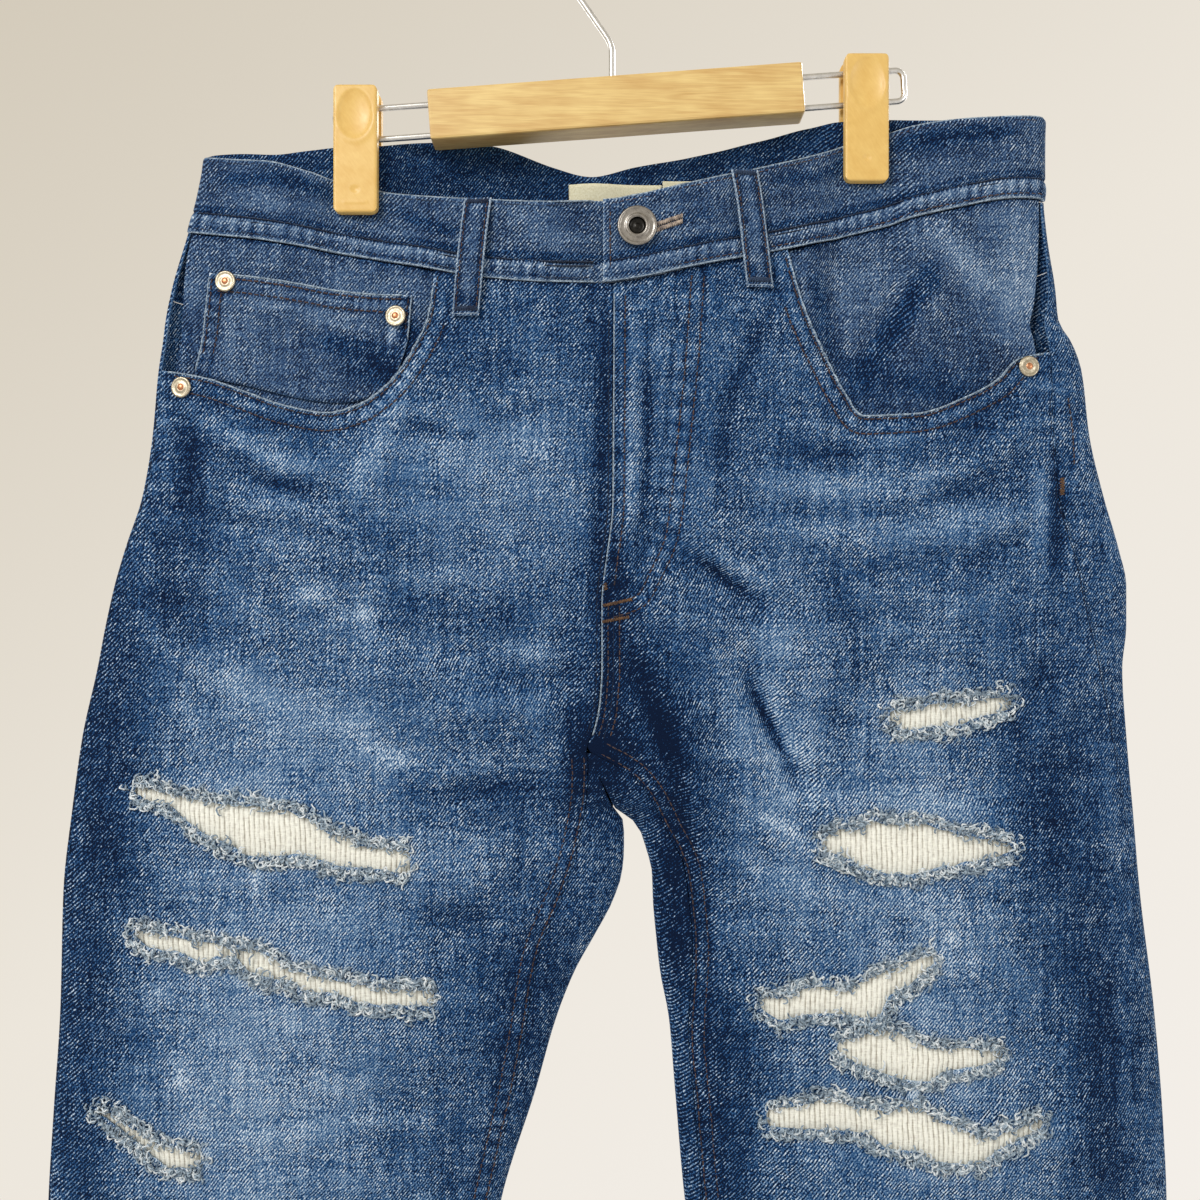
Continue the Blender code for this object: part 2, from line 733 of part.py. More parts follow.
def front_rows(leg):
    """Rows of (x, z) places on a front panel, from the waistband seam and the pocket's edge to the hem."""
    inward = 1 if leg == LEFT else -1
    pocket = POCKET_LEFT if leg == LEFT else POCKET_RIGHT
    shares = np.linspace(0, 100, POCKET_COLUMNS + 1)
    edge = np.stack([pocket.read("x", shares), pocket.read("z", shares)], axis=1)
    end_x = front_inner(leg, -180)
    seam_x = np.linspace(edge[-1][0], end_x, FRONT_COLUMNS - POCKET_COLUMNS + 1)
    seam = np.stack([seam_x, [seam_z(FRONT, x) - SEAM_GAP / 2 for x in seam_x]], axis=1)
    top = np.concatenate([edge[:-1], seam])
    top[0][0] = outseam(leg, top[0][1]) + inward * SIDE_GAP
    down = np.linspace(0, 1, 5)
    outer_z = top[0][1] + down * (HIP_Z - top[0][1])
    inner_z = top[-1][1] + down * (HIP_Z - top[-1][1])
    outer = np.array([(outseam(leg, z) + inward * SIDE_GAP, z) for z in outer_z])
    inner = np.array([(front_inner(leg, z), z) for z in inner_z])
    inner[0] = top[-1]
    share = spread(FRONT_COLUMNS, 0)
    hip_x = outer[-1][0] + share * (inner[-1][0] - outer[-1][0])
    rows = list(coons(top, np.stack([hip_x, np.full(len(share), HIP_Z)], axis=1), outer, inner))
    for z in HIP_LEVELS[1:] + LEG_LEVELS:
        share = spread(FRONT_COLUMNS, leg_share(z))
        low, high = outseam(leg, z) + inward * SIDE_GAP, front_inner(leg, z)
        rows.append(np.stack([low + share * (high - low), np.full(len(share), z)], axis=1))
    return rows


def front_panel(leg):
    """One front panel with its rips cut through."""
    sheet = Sheet()
    sheet.add_grid([[cloth_point(FRONT, leg, x, z) for x, z in row] for row in front_rows(leg)], turn=leg == RIGHT)
    made = sheet.thicken("front_" + leg, DENIM, "denim")
    for name, rip in RIPS.items():
        if name.startswith(leg):
            cut(made, rip_cutter(name, rip))
    return made


def rip_cutter(name, rip):
    """A prism through the cloth with the outline of one rip."""
    x = np.linspace(rip.key[0], rip.key[-1], 7)
    upper = list(zip(x, rip.read("top", x)))
    lower = list(zip(x, rip.read("bottom", x)))
    return prism("rip_" + name, upper + lower[::-1], -40, -1)


def seat_x(leg, z):
    """x of a back panel's edge at the seat seam."""
    inward = 1 if leg == LEFT else -1
    return float(inner_edge(BACK, leg, z)) - inward * seat_gap(z)


def yoke_shares(leg):
    """Shares from the seat seam to the side, one for each of the yoke's columns."""
    places = [real_x(x, seam_z(BACK, x)) for x in SEAT_STATIONS[leg]]
    return (np.array(places) - places[0]) / (places[-1] - places[0])


def back_row(leg, z_of, both_ends, yoke_part=0.0):
    """Places across the back from the seat seam to the side, then round it to the outseam."""
    shares = 1 - spread(BACK_COLUMNS, both_ends)[::-1]
    shares = yoke_part * yoke_shares(leg) + (1 - yoke_part) * shares
    row = []
    for share in shares:
        z = z_of(share)
        seat, edge = seat_x(leg, z), float(outer_edge(leg, z))
        row.append((BACK if share < 1 else 0, seat + share * (edge - seat), z))
    return row + side_wrap(leg, z_of(1.0))


def side_wrap(leg, z):
    """Places on the front from the outline in to the outseam."""
    inward = 1 if leg == LEFT else -1
    edge = float(outer_edge(leg, z))
    end = float(outseam(leg, z)) - inward * SIDE_GAP
    count = WRAP_COLUMNS[leg]
    return [(FRONT, edge + (end - edge) * (k / count) ** 1.5, z) for k in range(1, count + 1)]


def seat_gap(z):
    """Half the gap at the seat seam, wider where the cloth turns under at the fork."""
    near = math.exp(-(((float(z) - FORK_Z) / 14) ** 2))
    return 0.0 if z < FORK_Z - 0.1 else SEAM_GAP / 2 + 0.75 * near


def raise_row(leg, row):
    """The places of a row as points of the cloth; a place on the outline lies on the middle plane."""
    return [cloth_point(side, leg, x, z) for side, x, z in row]


def back_panel(leg):
    """One back panel: the seat, the leg, and the tongue that comes round the inner thigh."""
    turn = leg == RIGHT
    sheet = Sheet()
    seat_rows = []
    steps = 4
    for k in range(steps + 1):

        def level(share, down=k / steps):
            top = yoke_z(leg, share) - SEAM_GAP / 2
            return top + down * (HIP_Z - top)

        seat_rows.append(raise_row(leg, back_row(leg, level, 0, 1 - k / steps)))
    for z in HIP_LEVELS[1:]:
        seat_rows.append(raise_row(leg, back_row(leg, lambda share, z=z: z, leg_share(z))))
    leg_rows = [raise_row(leg, leg_row(leg, z)) for z in LEG_LEVELS]
    seat_rows.append(leg_rows[0][TONGUE_COLUMNS:])
    sheet.add_grid(seat_rows, turn=turn)
    sheet.add_grid(leg_rows, turn=turn)
    tongue_rows = [raise_row(leg, tongue_row(leg, z)) for z in TONGUE_LEVELS]
    tongue_rows.append(leg_rows[0][: TONGUE_COLUMNS + 1])
    sheet.add_grid(tongue_rows, turn=turn)
    return sheet.thicken("back_" + leg, DENIM, "denim")


def yoke_z(leg, share):
    """z of the yoke seam at a share of the way from the seat seam to the side."""
    end = -224.0 if leg == LEFT else 226.0
    return float(YOKE_SEAM.read("z", 3 + share * (end - 3)))


def tongue_row(leg, z):
    """Points on the front from the inseam to the leg's inner edge, or above the fork the seat seam."""
    inward = 1 if leg == LEFT else -1
    start = float(INSEAM.read(leg, z)) + inward * SEAM_GAP / 2
    end = float(inner_edge(FRONT, leg, z)) - inward * seat_gap(z)
    count = TONGUE_COLUMNS
    return [(FRONT, start + (end - start) * math.sin(math.pi / 2 * k / count), z) for k in range(count + 1)]


def leg_row(leg, z):
    """Places round a leg from the inseam, by the inner edge and the back, to the outseam."""
    inner, outer = seat_x(leg, z), float(outer_edge(leg, z))
    shares = 1 - spread(BACK_COLUMNS, 1)[::-1]
    back_part = [(0 if s in (0, 1) else BACK, inner + s * (outer - inner), z) for s in shares]
    return tongue_row(leg, z)[:-1] + back_part + side_wrap(leg, z)


def yoke(leg):
    """One back yoke, between the waistband and the back panel."""
    rows = []
    for down in (0.0, 0.5, 1.0):

        def level(share, down=down):
            edge = float(outer_edge(leg, -150 if leg == LEFT else -138))
            top = seam_z(BACK, SEAT_STATIONS[leg][0] * (1 - share) + share * edge) - SEAM_GAP / 2
            return top + down * (yoke_z(leg, share) + SEAM_GAP / 2 - top)

        row = back_row(leg, level, 0, 1)
        if down == 0:
            row = [(s, x, min(z, seam_z(FRONT, x) - SEAM_GAP / 2) - 0.3 if s != BACK else z) for s, x, z in row]
        rows.append(raise_row(leg, row))
    sheet = Sheet()
    sheet.add_grid(rows, turn=leg == RIGHT)
    return sheet.thicken("yoke_" + leg, DENIM, "denim")


def band_column(side, x, lap=0.0):
    """Points down the waistband at one place along it, moved out of the garment by lap."""
    table = BAND_FRONT if side == FRONT else BAND_BACK
    top, seam = float(table.read("top", x)), float(table.read("seam", x)) + SEAM_GAP / 2
    column = []
    for name, z in (("y_top", top), ("y_mid", (top + seam) / 2), ("y_seam", seam)):
        column.append(Vector((real_x(x, z), side * (float(table.read(name, x)) + lap), z)) * MM)
    return column


def waistband():
    """The folded strip all round, with its right end lapped over its left end at the front."""
    low, high = BAND_ENDS
    between = {-80.0, -47.0, -38.0, -17.0, 5.0, 22.0, 55.0, 86.0}
    stations = sorted(between | {float(x) for x in BAND_FRONT.key[1:-1]})
    back_stations = [float(x) for x in BAND_BACK.key[1:-1]]
    columns = [band_column(FRONT, UNDERLAP_END, -BAND_LAP)]
    for x in [x for x in stations[::-1] if x < UNDERLAP_END]:
        columns.append(band_column(FRONT, x, -BAND_LAP * float(ease((x + 40) / 30))))
    columns.append(band_column(FRONT, low))
    columns += [band_column(BACK, x) for x in back_stations]
    columns.append(band_column(FRONT, high))
    for x in [x for x in stations[::-1] if x > OVERLAP_END]:
        columns.append(band_column(FRONT, x, BAND_LAP * float(ease((75 - x) / 30))))
    columns.append(band_column(FRONT, OVERLAP_END, BAND_LAP))
    sheet = Sheet()
    sheet.add_grid(columns)
    return sheet.thicken("waistband", BAND, "denim")


def facing_depth(x, z):
    """How far a hip facing lies inside the front panel's surface."""
    down = (seam_z(FRONT, x) - z) / 82
    inner = (abs(x) - 75) / 38
    return 0.4 + 3.0 * float(max(ease(1.5 * down), ease(1 - inner)))


def facing_rows(leg):
    """Rows of (x, z) places on a hip facing, from the waistband seam down past the pocket's edge."""
    if leg == LEFT:
        top_x, inner_bend, foot, bend = -76, [(-78, -202)], (-97, -243), [(-142, -258), (-190, -247)]
    else:
        top_x, inner_bend, foot, bend = 74, [(80, -200)], (94, -236), [(124, -258), (180, -249)]
    inward = 1 if leg == LEFT else -1
    across = np.array([0, 0.16, 0.33, 0.51, 0.7, 0.89, 1.0])
    down = np.array([0, 0.22, 0.42, 0.62, 0.82, 1.0])
    top_end = float(outseam(leg, -153 if leg == LEFT else -138)) + inward * 1.1
    top_line = top_x + across * (top_end - top_x)
    top = np.stack([top_line, [seam_z(FRONT, x) - 0.4 for x in top_line]], axis=1)
    outer_z = top[-1][1] + down * (-238 - top[-1][1])
    outer_x = [
        outseam(leg, z) + inward * (0.4 + 1.6 * facing_depth(outseam(leg, z), z)) for z in outer_z
    ]
    outer_x[0] = top[-1][0]
    outer = np.stack([outer_x, outer_z], axis=1)
    inner = line(top[0], foot, down, inner_bend)
    bottom = line(foot, outer[-1], across, bend)
    return coons(top, bottom, inner, outer, across, down)


def facing(leg):
    """The hip facing that shows inside a front pocket opening."""
    rows = [[cloth_point(FRONT, leg, x, z, -facing_depth(x, z)) for x, z in row] for row in facing_rows(leg)]
    sheet = Sheet()
    sheet.add_grid(rows, turn=leg == LEFT)
    return sheet.thicken("facing_" + leg, DENIM, "denim_dark")


def coin_pocket():
    """The small patch pocket on the left facing; its foot runs under the front panel's edge."""
    rows = [row[1:6] for row in facing_rows(LEFT)[1:5]]
    points = [[cloth_point(FRONT, LEFT, x, z, LAYER - facing_depth(x, z)) for x, z in row] for row in rows]
    sheet = Sheet()
    sheet.add_grid(points, turn=True)
    return sheet.thicken("coin_pocket", DENIM, "denim")


def rip_patch(name, corners):
    """The ribbed backing behind a rip or a group of them, made from the front panel's own places."""
    leg = name.split("_")[0]
    left, right, bottom, top = corners
    rows = [row for row in front_rows(leg)[5:] if bottom <= row[0][1] <= top]
    columns = [k for k in range(FRONT_COLUMNS + 1) if left <= rows[0][k][0] <= right]
    sheet = Sheet()
    grid = [[cloth_point(FRONT, leg, *row[k], -LAYER) for k in columns] for row in rows]
    sheet.add_grid(grid, turn=leg == RIGHT)
    return sheet.thicken("rip_patch_" + name, PATCH_WALL, "ribbed_backing")


def back_pocket(leg):
    """A five-sided patch pocket on the seat."""
    x, top_z = BACK_POCKETS[leg]
    width, side_height, point_height = BACK_POCKET_SIZE
    half, foot = width / 2, width / 2 - 5
    across, down = np.linspace(0, 1, 7), np.linspace(0, 1, 6)
    middle = abs(2 * across - 1)
    top = np.stack([x - half + width * across, np.full(7, top_z)], axis=1)
    foot_z = top_z - point_height + middle * (point_height - side_height)
    bottom = np.stack([x - foot + 2 * foot * across, foot_z], axis=1)
    grid = coons(top, bottom, line(top[0], bottom[0], down), line(top[-1], bottom[-1], down))
    sheet = Sheet()
    lift = LAYER + 0.3
    sheet.add_grid([[cloth_point(BACK, leg, px, pz, lift) for px, pz in row] for row in grid], turn=True)
    return sheet.thicken("back_pocket_" + leg, DENIM, "denim")


def belt_loop(name, side, x_top, z_top, x_foot, z_foot):
    """A strap over the waistband, close to it at both ends and standing off between them."""
    leg = LEFT if x_top < 0 else RIGHT
    rest = (BAND + LOOP_WALL) / 2 + 0.6
    offs = (rest + 0.4, rest + 1.8, rest + 2.3, rest + 2.1, rest + 1.2, rest + 0.2, rest - 0.6)
    rows = []
    for k, off in enumerate(offs):
        down = k / (len(offs) - 1)
        x, z = x_top + down * (x_foot - x_top), z_top + down * (z_foot - z_top)
        half = LOOP_WIDTH / 2
        rows.append([cloth_point(side, leg, x + half * s, z, off) for s in (-1, 1)])
    sheet = Sheet()
    sheet.add_grid(rows, turn=side == BACK)
    return sheet.thicken("belt_loop_" + name, LOOP_WALL, "denim")


def hem(leg):
    """The turned-up hem, a closed band round the leg's foot."""
    top, foot = HEM_Z + HEM_HEIGHT, HEM_Z
    sheet = Sheet()
    rows = []
    for z in (top, foot):
        left, right = (
            (outer_edge(LEFT, z), INNER_EDGE.read(LEFT, z))
            if leg == LEFT
            else (INNER_EDGE.read(RIGHT, z), outer_edge(RIGHT, z))
        )
        shares = (1 - np.cos(np.linspace(0, math.pi, 13))) / 2
        row = [(FRONT, float(left + s * (right - left)), z) for s in shares]
        row += [(BACK, float(right - s * (right - left)), z) for s in shares[1:]]
        rows.append(raise_row(leg, row))
    sheet.add_grid(rows)
    return sheet.thicken("hem_" + leg, HEM_WALL, "denim")


def label(name, left, right, top, height):
    """A cloth label on the inside of the back waistband."""
    leg = RIGHT
    off = -(BAND + LABEL_WALL) / 2 - 0.9
    sheet = Sheet()
    rows = [
        [cloth_point(BACK, leg, x, top - height * d, off) for x in np.linspace(left, right, 5)]
        for d in (0, 0.5, 1)
    ]
    sheet.add_grid(rows, turn=True)
    return sheet.thicken(name, LABEL_WALL, "cream_tape")


# ---------------------------------------------------------------- hardware
def button():
    """A shank button: a flat ring with a sunk middle, on the waistband's overlap."""
    r = BUTTON_RADIUS
    profile = (
        (0, 0), (0.45 * r, 0), (0.5 * r, 1.2), (0.92 * r, 1.6), (r, 2.2), (r, 2.8), (0.93 * r, 3.3),
        (0.56 * r, 3.5), (0.5 * r, 3.2), (0.42 * r, 1.6), (0, 1.3),
    )
    place = resting_place(RIGHT, 12, -156, lambda x, z: BAND_LAP, BAND / 2 + 0.3)
    return turned("button", profile, 24, place, "pewter")


def rivet(name, x, z):
    """A two-part rivet: a domed washer with a small pip."""
    r = RIVET_RADIUS
    profile = ((0, 0), (r, 0), (r, 0.5), (0.8 * r, 1.0), (0.38 * r, 1.0), (0.3 * r, 1.35), (0, 1.5))
    leg = LEFT if x < 0 else RIGHT
    on_coin_pocket = name.startswith("coin")

    def height(px, pz):
        return LAYER - facing_depth(px, pz) if on_coin_pocket else 0.0

    lift = DENIM / 2 + (1.6 if name == "coin_inner" else 0.5)
    place = resting_place(leg, x, z, height, lift)
    return turned("rivet_" + name, profile, 16, place, "nickel")


# ---------------------------------------------------------------- hanger
def bar_frame():
    return Matrix.Translation(Vector(BAR_CENTRE)) @ Matrix.Rotation(-BAR_TILT, 4, "Y")


def on_bar(along, across, up):
    """A place given in the bar's own directions, in millimetres."""
    return bar_frame() @ Vector((along, across, up))


def hanger_bar():
    """The wooden bar, with blind holes for both wires and the hook."""
    built = bmesh.new()
    size = Matrix.Diagonal((*(Vector(BAR_SIZE) * MM), 1))
    bmesh.ops.create_cube(built, size=1, matrix=size)
    made = mesh_object("hanger_bar", built, "maple")
    place = bar_frame()
    place.translation *= MM
    made.matrix_world = place
    edges = made.modifiers.new("eased edges", "BEVEL")
    edges.width = 1.2 * MM
    edges.segments = 2
    half = BAR_SIZE[0] / 2
    for end, leg in ((-half, LEFT), (half, RIGHT)):
        into = end - math.copysign(WIRE_DEPTH + 1, end)
        for up in (-WIRE_SPACING / 2, WIRE_SPACING / 2):
            name = f"wire_hole_{leg}_{'upper' if up > 0 else 'lower'}"
            out = end + math.copysign(5, end)
            cut(made, rod(name, on_bar(into, 0, up), on_bar(out, 0, up), WIRE_RADIUS + 0.4))
    cut(made, rod("hook_hole", (0, 0, BAR_CENTRE[2] - 2), (0, 0, BAR_CENTRE[2] + 25), HOOK_RADIUS + 0.4))
    return made


def hanger_hook():
    """The hook: a stem out of the bar, a bend to the left, then a round bowl over the rail."""
    bowl_z = HOOK_RADIUS - HOOK_BOWL
    drop = bowl_z - HOOK_BEND_Z
    lean = math.asin(HOOK_BOWL / drop)
    places = [(0, 0, BAR_CENTRE[2]), (0, 0, -75), (0, 0, HOOK_BEND_Z - 5)]
    for k in range(1, 4):
        t = k / 4
        places.append((-5 * t * t * math.sin(lean), 0, HOOK_BEND_Z - 5 + 10 * t - 5 * t * t * (1 - math.cos(lean))))
    touch = math.pi + lean
    end = math.radians(-25)
    for k in range(29):
        angle = touch + (end - touch) * k / 28
        places.append((HOOK_BOWL * math.cos(angle), 0, bowl_z + HOOK_BOWL * math.sin(angle)))
    return wire("hanger_hook", places, HOOK_RADIUS)


def hanger_wire(leg):
    """One end's wire: out of the bar, round the end in two small bends, and back in."""
    sign = -1 if leg == LEFT else 1
    end = abs(WIRE_ENDS[leg] - BAR_CENTRE[0]) - WIRE_RADIUS
    start, half, corner = BAR_SIZE[0] / 2 - WIRE_DEPTH, WIRE_SPACING / 2, 4.0
    places = [(start, half), ((start + end) / 2, half), (end - corner, half)]
    for middle, first in (((end - corner, half - corner), 90), ((end - corner, corner - half), 0)):
        for k in range(1, 5):
            angle = math.radians(first - 90 * k / 4)
            places.append((middle[0] + corner * math.cos(angle), middle[1] + corner * math.sin(angle)))
    places += [((start + end) / 2, -half), (start, -half)]
    return wire("hanger_wire_" + leg, [on_bar(sign * along, 0, up) for along, up in places], WIRE_RADIUS)


def rounded_outline(x, top, width, height, corner):
    """Places round a rectangle with rounded corners, in X and Z."""
    places = []
    for side_x, side_z, first in ((1, 1, 0), (-1, 1, 90), (-1, -1, 180), (1, -1, 270)):
        middle_x = x + side_x * (width / 2 - corner)
        middle_z = top - height / 2 + side_z * (height / 2 - corner)
        for k in range(4):
            angle = math.radians(first + 90 * k / 3)
            places.append((middle_x + corner * math.cos(angle), middle_z + corner * math.sin(angle)))
    return places


def clip_jaw(leg, side):
    """One jaw of a clip: a rounded plate with a hub that half encloses both wires."""
    x, top = CLIP_TOPS[leg]
    width, _, height = CLIP_SIZE
    name = f"clip_{leg}_{'front' if side == FRONT else 'back'}"
    near, far = sorted((side * CLIP_GRIP, side * CLIP_FACE))
    plate = prism(name, rounded_outline(x, top, width, height, 3.5), near, far)
    plate.data.materials.clear()
    plate.data.materials.append(material("moulded_plastic"))
    wire_up = on_bar(x - BAR_CENTRE[0], 0, 0).z
    low, high = sorted((side * 0.2, side * (CLIP_GRIP + 1)))
    hub_places = rounded_outline(x, wire_up + 11, width - 10, 20.6, 2)
    hub = prism(name + "_hub", hub_places, low, high)
    join = plate.modifiers.new("hub", "BOOLEAN")
    join.operation = "UNION"
    join.object = hub
    hub.hide_render = True
    hub.display_type = "WIRE"
    along = x - BAR_CENTRE[0]
    for up in (-WIRE_SPACING / 2, WIRE_SPACING / 2):
        groove = f"{name}_groove_{'upper' if up > 0 else 'lower'}"
        cut(plate, rod(groove, on_bar(along - 20, 0, up), on_bar(along + 20, 0, up), WIRE_RADIUS + 0.4))
    if side == FRONT:
        built = bmesh.new()
        centre_y = -(CLIP_FACE + 13)
        place = Matrix.Translation(Vector((x, centre_y, top - 14)) * MM) @ Matrix.Diagonal((0.95, 1, 1, 1))
        bmesh.ops.create_icosphere(built, subdivisions=3, radius=15 * MM, matrix=place)
        cut(plate, mesh_object(name + "_thumb_rest", built, "moulded_plastic"))
    return plate


# ---------------------------------------------------------------- build
def clear_scene():
    for made in list(bpy.data.objects):
        bpy.data.objects.remove(made)


def build_cloth():
    for leg in (LEFT, RIGHT):
        front_panel(leg)
        back_panel(leg)
        yoke(leg)
        facing(leg)
        back_pocket(leg)
        hem(leg)
    waistband()
    coin_pocket()
    for name, corners in PATCHES.items():
        rip_patch(name, corners)
    for name, places in LOOPS.items():
        belt_loop(name, *places)
    label("label", -21, 25.5, -124.5, 24)
    label("size_tab", 26, 41, -122.5, 12)


def build_hardware():
    button()
    for name, (x, z) in RIVETS.items():
        rivet(name, x, z)


def build_hanger():
    hanger_bar()
    hanger_hook()
    for leg in (LEFT, RIGHT):
        hanger_wire(leg)
        for side in (FRONT, BACK):
            clip_jaw(leg, side)


clear_scene()
build_cloth()
build_hardware()
build_hanger()
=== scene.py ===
"""Ripped five-pocket jeans that hang flat from the two clips of a wooden trouser hanger, with their looks.

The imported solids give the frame. Each sewn piece is made again as a thin cloth shell on the same surface,
with its folds, puckers, rips and wear, and each stitch row, rivet and wire is modelled where a maker would
put it. Left and right are those of the front view, the front faces -Y, and the origin is the inner top of
the hook.
Tables and sizes are in millimetres, and meshes are scaled to metres when they are made.
"""

import logging
import math
from dataclasses import dataclass
from enum import Enum, IntEnum
from typing import Callable, ClassVar, Sequence

import bmesh
import bpy
import numpy as np
from mathutils import Matrix, Vector


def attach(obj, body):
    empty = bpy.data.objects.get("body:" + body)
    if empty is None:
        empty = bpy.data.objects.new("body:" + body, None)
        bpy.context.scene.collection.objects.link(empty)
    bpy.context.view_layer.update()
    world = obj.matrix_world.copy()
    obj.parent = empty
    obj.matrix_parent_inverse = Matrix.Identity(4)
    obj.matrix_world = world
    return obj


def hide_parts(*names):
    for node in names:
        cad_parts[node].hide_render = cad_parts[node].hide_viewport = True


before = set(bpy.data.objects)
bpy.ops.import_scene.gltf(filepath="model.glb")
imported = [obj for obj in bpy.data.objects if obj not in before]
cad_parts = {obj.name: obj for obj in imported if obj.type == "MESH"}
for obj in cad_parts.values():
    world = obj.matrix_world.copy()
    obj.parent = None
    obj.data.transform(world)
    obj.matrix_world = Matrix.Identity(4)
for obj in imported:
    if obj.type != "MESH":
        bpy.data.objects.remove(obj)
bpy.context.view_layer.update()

LOG = logging.getLogger("jeans")
Array = np.ndarray
Line = tuple[tuple[float, float], ...]
Colour = tuple[float, float, float]
MM = 0.001


class Side(IntEnum):
    """Which way a place of the cloth faces; the middle lies on the outline, between front and back."""

    FRONT = -1
    MIDDLE = 0
    BACK = 1


class Leg(str, Enum):
    """The two halves of the garment, as seen from the front."""

    LEFT = "left"
    RIGHT = "right"

    @property
    def inward(self) -> int:
        """The sign of x towards the garment's middle."""
        return 1 if self is Leg.LEFT else -1


# ---------------------------------------------------------------- driving sizes, in millimetres
DENIM = 1.2
BAND = 3.0
HEM_WALL = 2.4
HEM_HEIGHT = 14.0
LOOP_WALL = 1.8
LOOP_WIDTH = 13.0
PATCH_WALL = 0.9
LABEL_WALL = 0.5
SEAM_GAP = 0.3
SIDE_GAP = 0.25
LAYER = 1.7
HIP_Z = -275.0
SPLIT_Z = -385.0
CROTCH_Z = -411.0
FORK_Z = -440.7
HEM_Z = -1165.0
LENS_POWER = 2.6
BAND_LAP = 1.75
OVERLAP_END, UNDERLAP_END = -4.5, 34.0
BAND_ENDS = (-203.0, 215.5)
BAND_PLAIN = 142.0
BAR_SIZE = (186.0, 18.0, 25.0)
BAR_CENTRE = (2.0, 0.0, -90.0)
BAR_TILT = math.radians(4.2)
WIRE_RADIUS = 1.5
WIRE_SPACING = 15.5
WIRE_DEPTH = 24.0
HOOK_RADIUS = 1.6
HOOK_BOWL = 22.0
HOOK_BEND_Z = -59.0
CLIP_SIZE = (21.8, 5.2, 63.5)
CLIP_FACE = 9.0
CLIP_GRIP = 3.8
BUTTON_RADIUS = 9.6
RIVET_RADIUS = 5.2


class Curves:
    """Smooth curves through the rows of a short table, read along its first column."""

    def __init__(self, names: str, *rows: tuple[float, ...]) -> None:
        """Sorts the rows and works out the slope at each.

        Args:
            names: The columns' names, parted by spaces; the first is the one the others are read along.
            *rows: The table's rows.
        """
        values = np.array(sorted(rows), float)
        self.key = values[:, 0]
        self.columns = dict(zip(names.split()[1:], values.T[1:]))
        self.slopes = {name: self.slopes_of(column) for name, column in self.columns.items()}

    def slopes_of(self, column: Array) -> Array:
        """Slopes at the rows that never carry a curve past its rows.

        Args:
            column: One column's values.

        Returns:
            A slope for each row.
        """
        width = np.diff(self.key)
        rise = np.diff(column) / width
        before, after = rise[:-1], rise[1:]
        turns = before * after <= 0
        weight_before, weight_after = width[:-1] + 2 * width[1:], 2 * width[:-1] + width[1:]
        safe_before, safe_after = np.where(turns, 1, before), np.where(turns, 1, after)
        mean = (weight_before + weight_after) / (weight_before / safe_before + weight_after / safe_after)
        return np.concatenate([rise[:1], np.where(turns, 0, mean), rise[-1:]])

    def read(self, name: str, at: float | Array) -> Array:
        """Reads one column, level past the table's ends.

        Args:
            name: The column's name.
            at: Where to read it, along the first column.

        Returns:
            The values there.
        """
        key = self.key
        at = np.clip(np.asarray(at, float), key[0], key[-1])
        low = np.clip(np.searchsorted(key, at, side="right") - 1, 0, len(key) - 2)
        width = key[low + 1] - key[low]
        t = (at - key[low]) / width
        column, slope = self.columns[name], self.slopes[name]
        start, end = column[low], column[low + 1]
        rise_start, rise_end = slope[low] * width, slope[low + 1] * width
        return (
            start * (1 + 2 * t) * (1 - t) ** 2
            + rise_start * t * (1 - t) ** 2
            + end * t * t * (3 - 2 * t)
            + rise_end * t * t * (t - 1)
        )


@dataclass(frozen=True)
class Rip:
    """A tear through a front panel: its upper and lower lips, left to right."""

    upper: Line
    lower: Line

    def opening(self, x: Array, z: Array) -> Array:
        """How far inside the tear each place is, and below zero how far outside."""
        upper, lower = (Curves("x z", *line) for line in (self.upper, self.lower))
        left, right = upper.key[0], upper.key[-1]
        inside = np.minimum(upper.read("z", x) - z, z - lower.read("z", x))
        beyond = np.maximum(np.maximum(left - x, x - right), 0)
        return np.where(beyond > 0, np.minimum(inside, 0) - beyond, inside)


# ---------------------------------------------------------------- tables of the form, in millimetres
OUTLINE = Curves(
    "z left right",
    (-90, -201, 216),
    (-115, -203, 215.5),
    (-135, -206.5, 215.5),
    (-153, -211.5, 217),
    (-182, -220, 221.5),
    (-197, -223, 223),
    (-209, -224.5, 230),
    (-222, -226.5, 234.5),
    (-255, -229.5, 238.5),
    (-285, -234.5, 245.5),
    (-311, -243, 253),
    (-330, -248.5, 257),
    (-350, -253, 257),
    (-371, -257, 255),
    (-405, -264.5, 257),
    (-441, -269.5, 260),
    (-482, -274, 263.5),
    (-540, -275.5, 270.5),
    (-594, -279, 275),
    (-637, -281.5, 277),
    (-750, -284, 278),
    (-900, -282, 276),
    (-1165, -276, 271),
)
INNER_EDGE = Curves(
    "z left right",
    (-440.7, 1, 1),
    (-444.5, 4, 8),
    (-451, 5.5, 14),
    (-461, 5.5, 17.5),
    (-473, 4.5, 20.5),
    (-487, 0, 21),
    (-504, -9, 22.5),
    (-522, -19, 24.5),
    (-546, -28.5, 29),
    (-581, -38.5, 32),
    (-637, -56, 37),
    (-750, -75, 57),
    (-900, -86, 72),
    (-1165, -93, 86),
)
INSEAM = Curves(
    "z left right",
    (-411, -12.5, -12.5),
    (-420, -12, 4),
    (-426.5, -12, 13),
    (-441, -13.5, 22),
    (-454, -16, 28.5),
    (-468, -19.5, 35.5),
    (-485, -25.5, 38),
    (-511, -36, 40),
    (-553, -43.5, 38),
    (-582, -49, 40.5),
    (-633, -60.5, 45),
    (-750, -79.5, 64),
    (-900, -90, 77.5),
    (-1165, -97, 91),
)
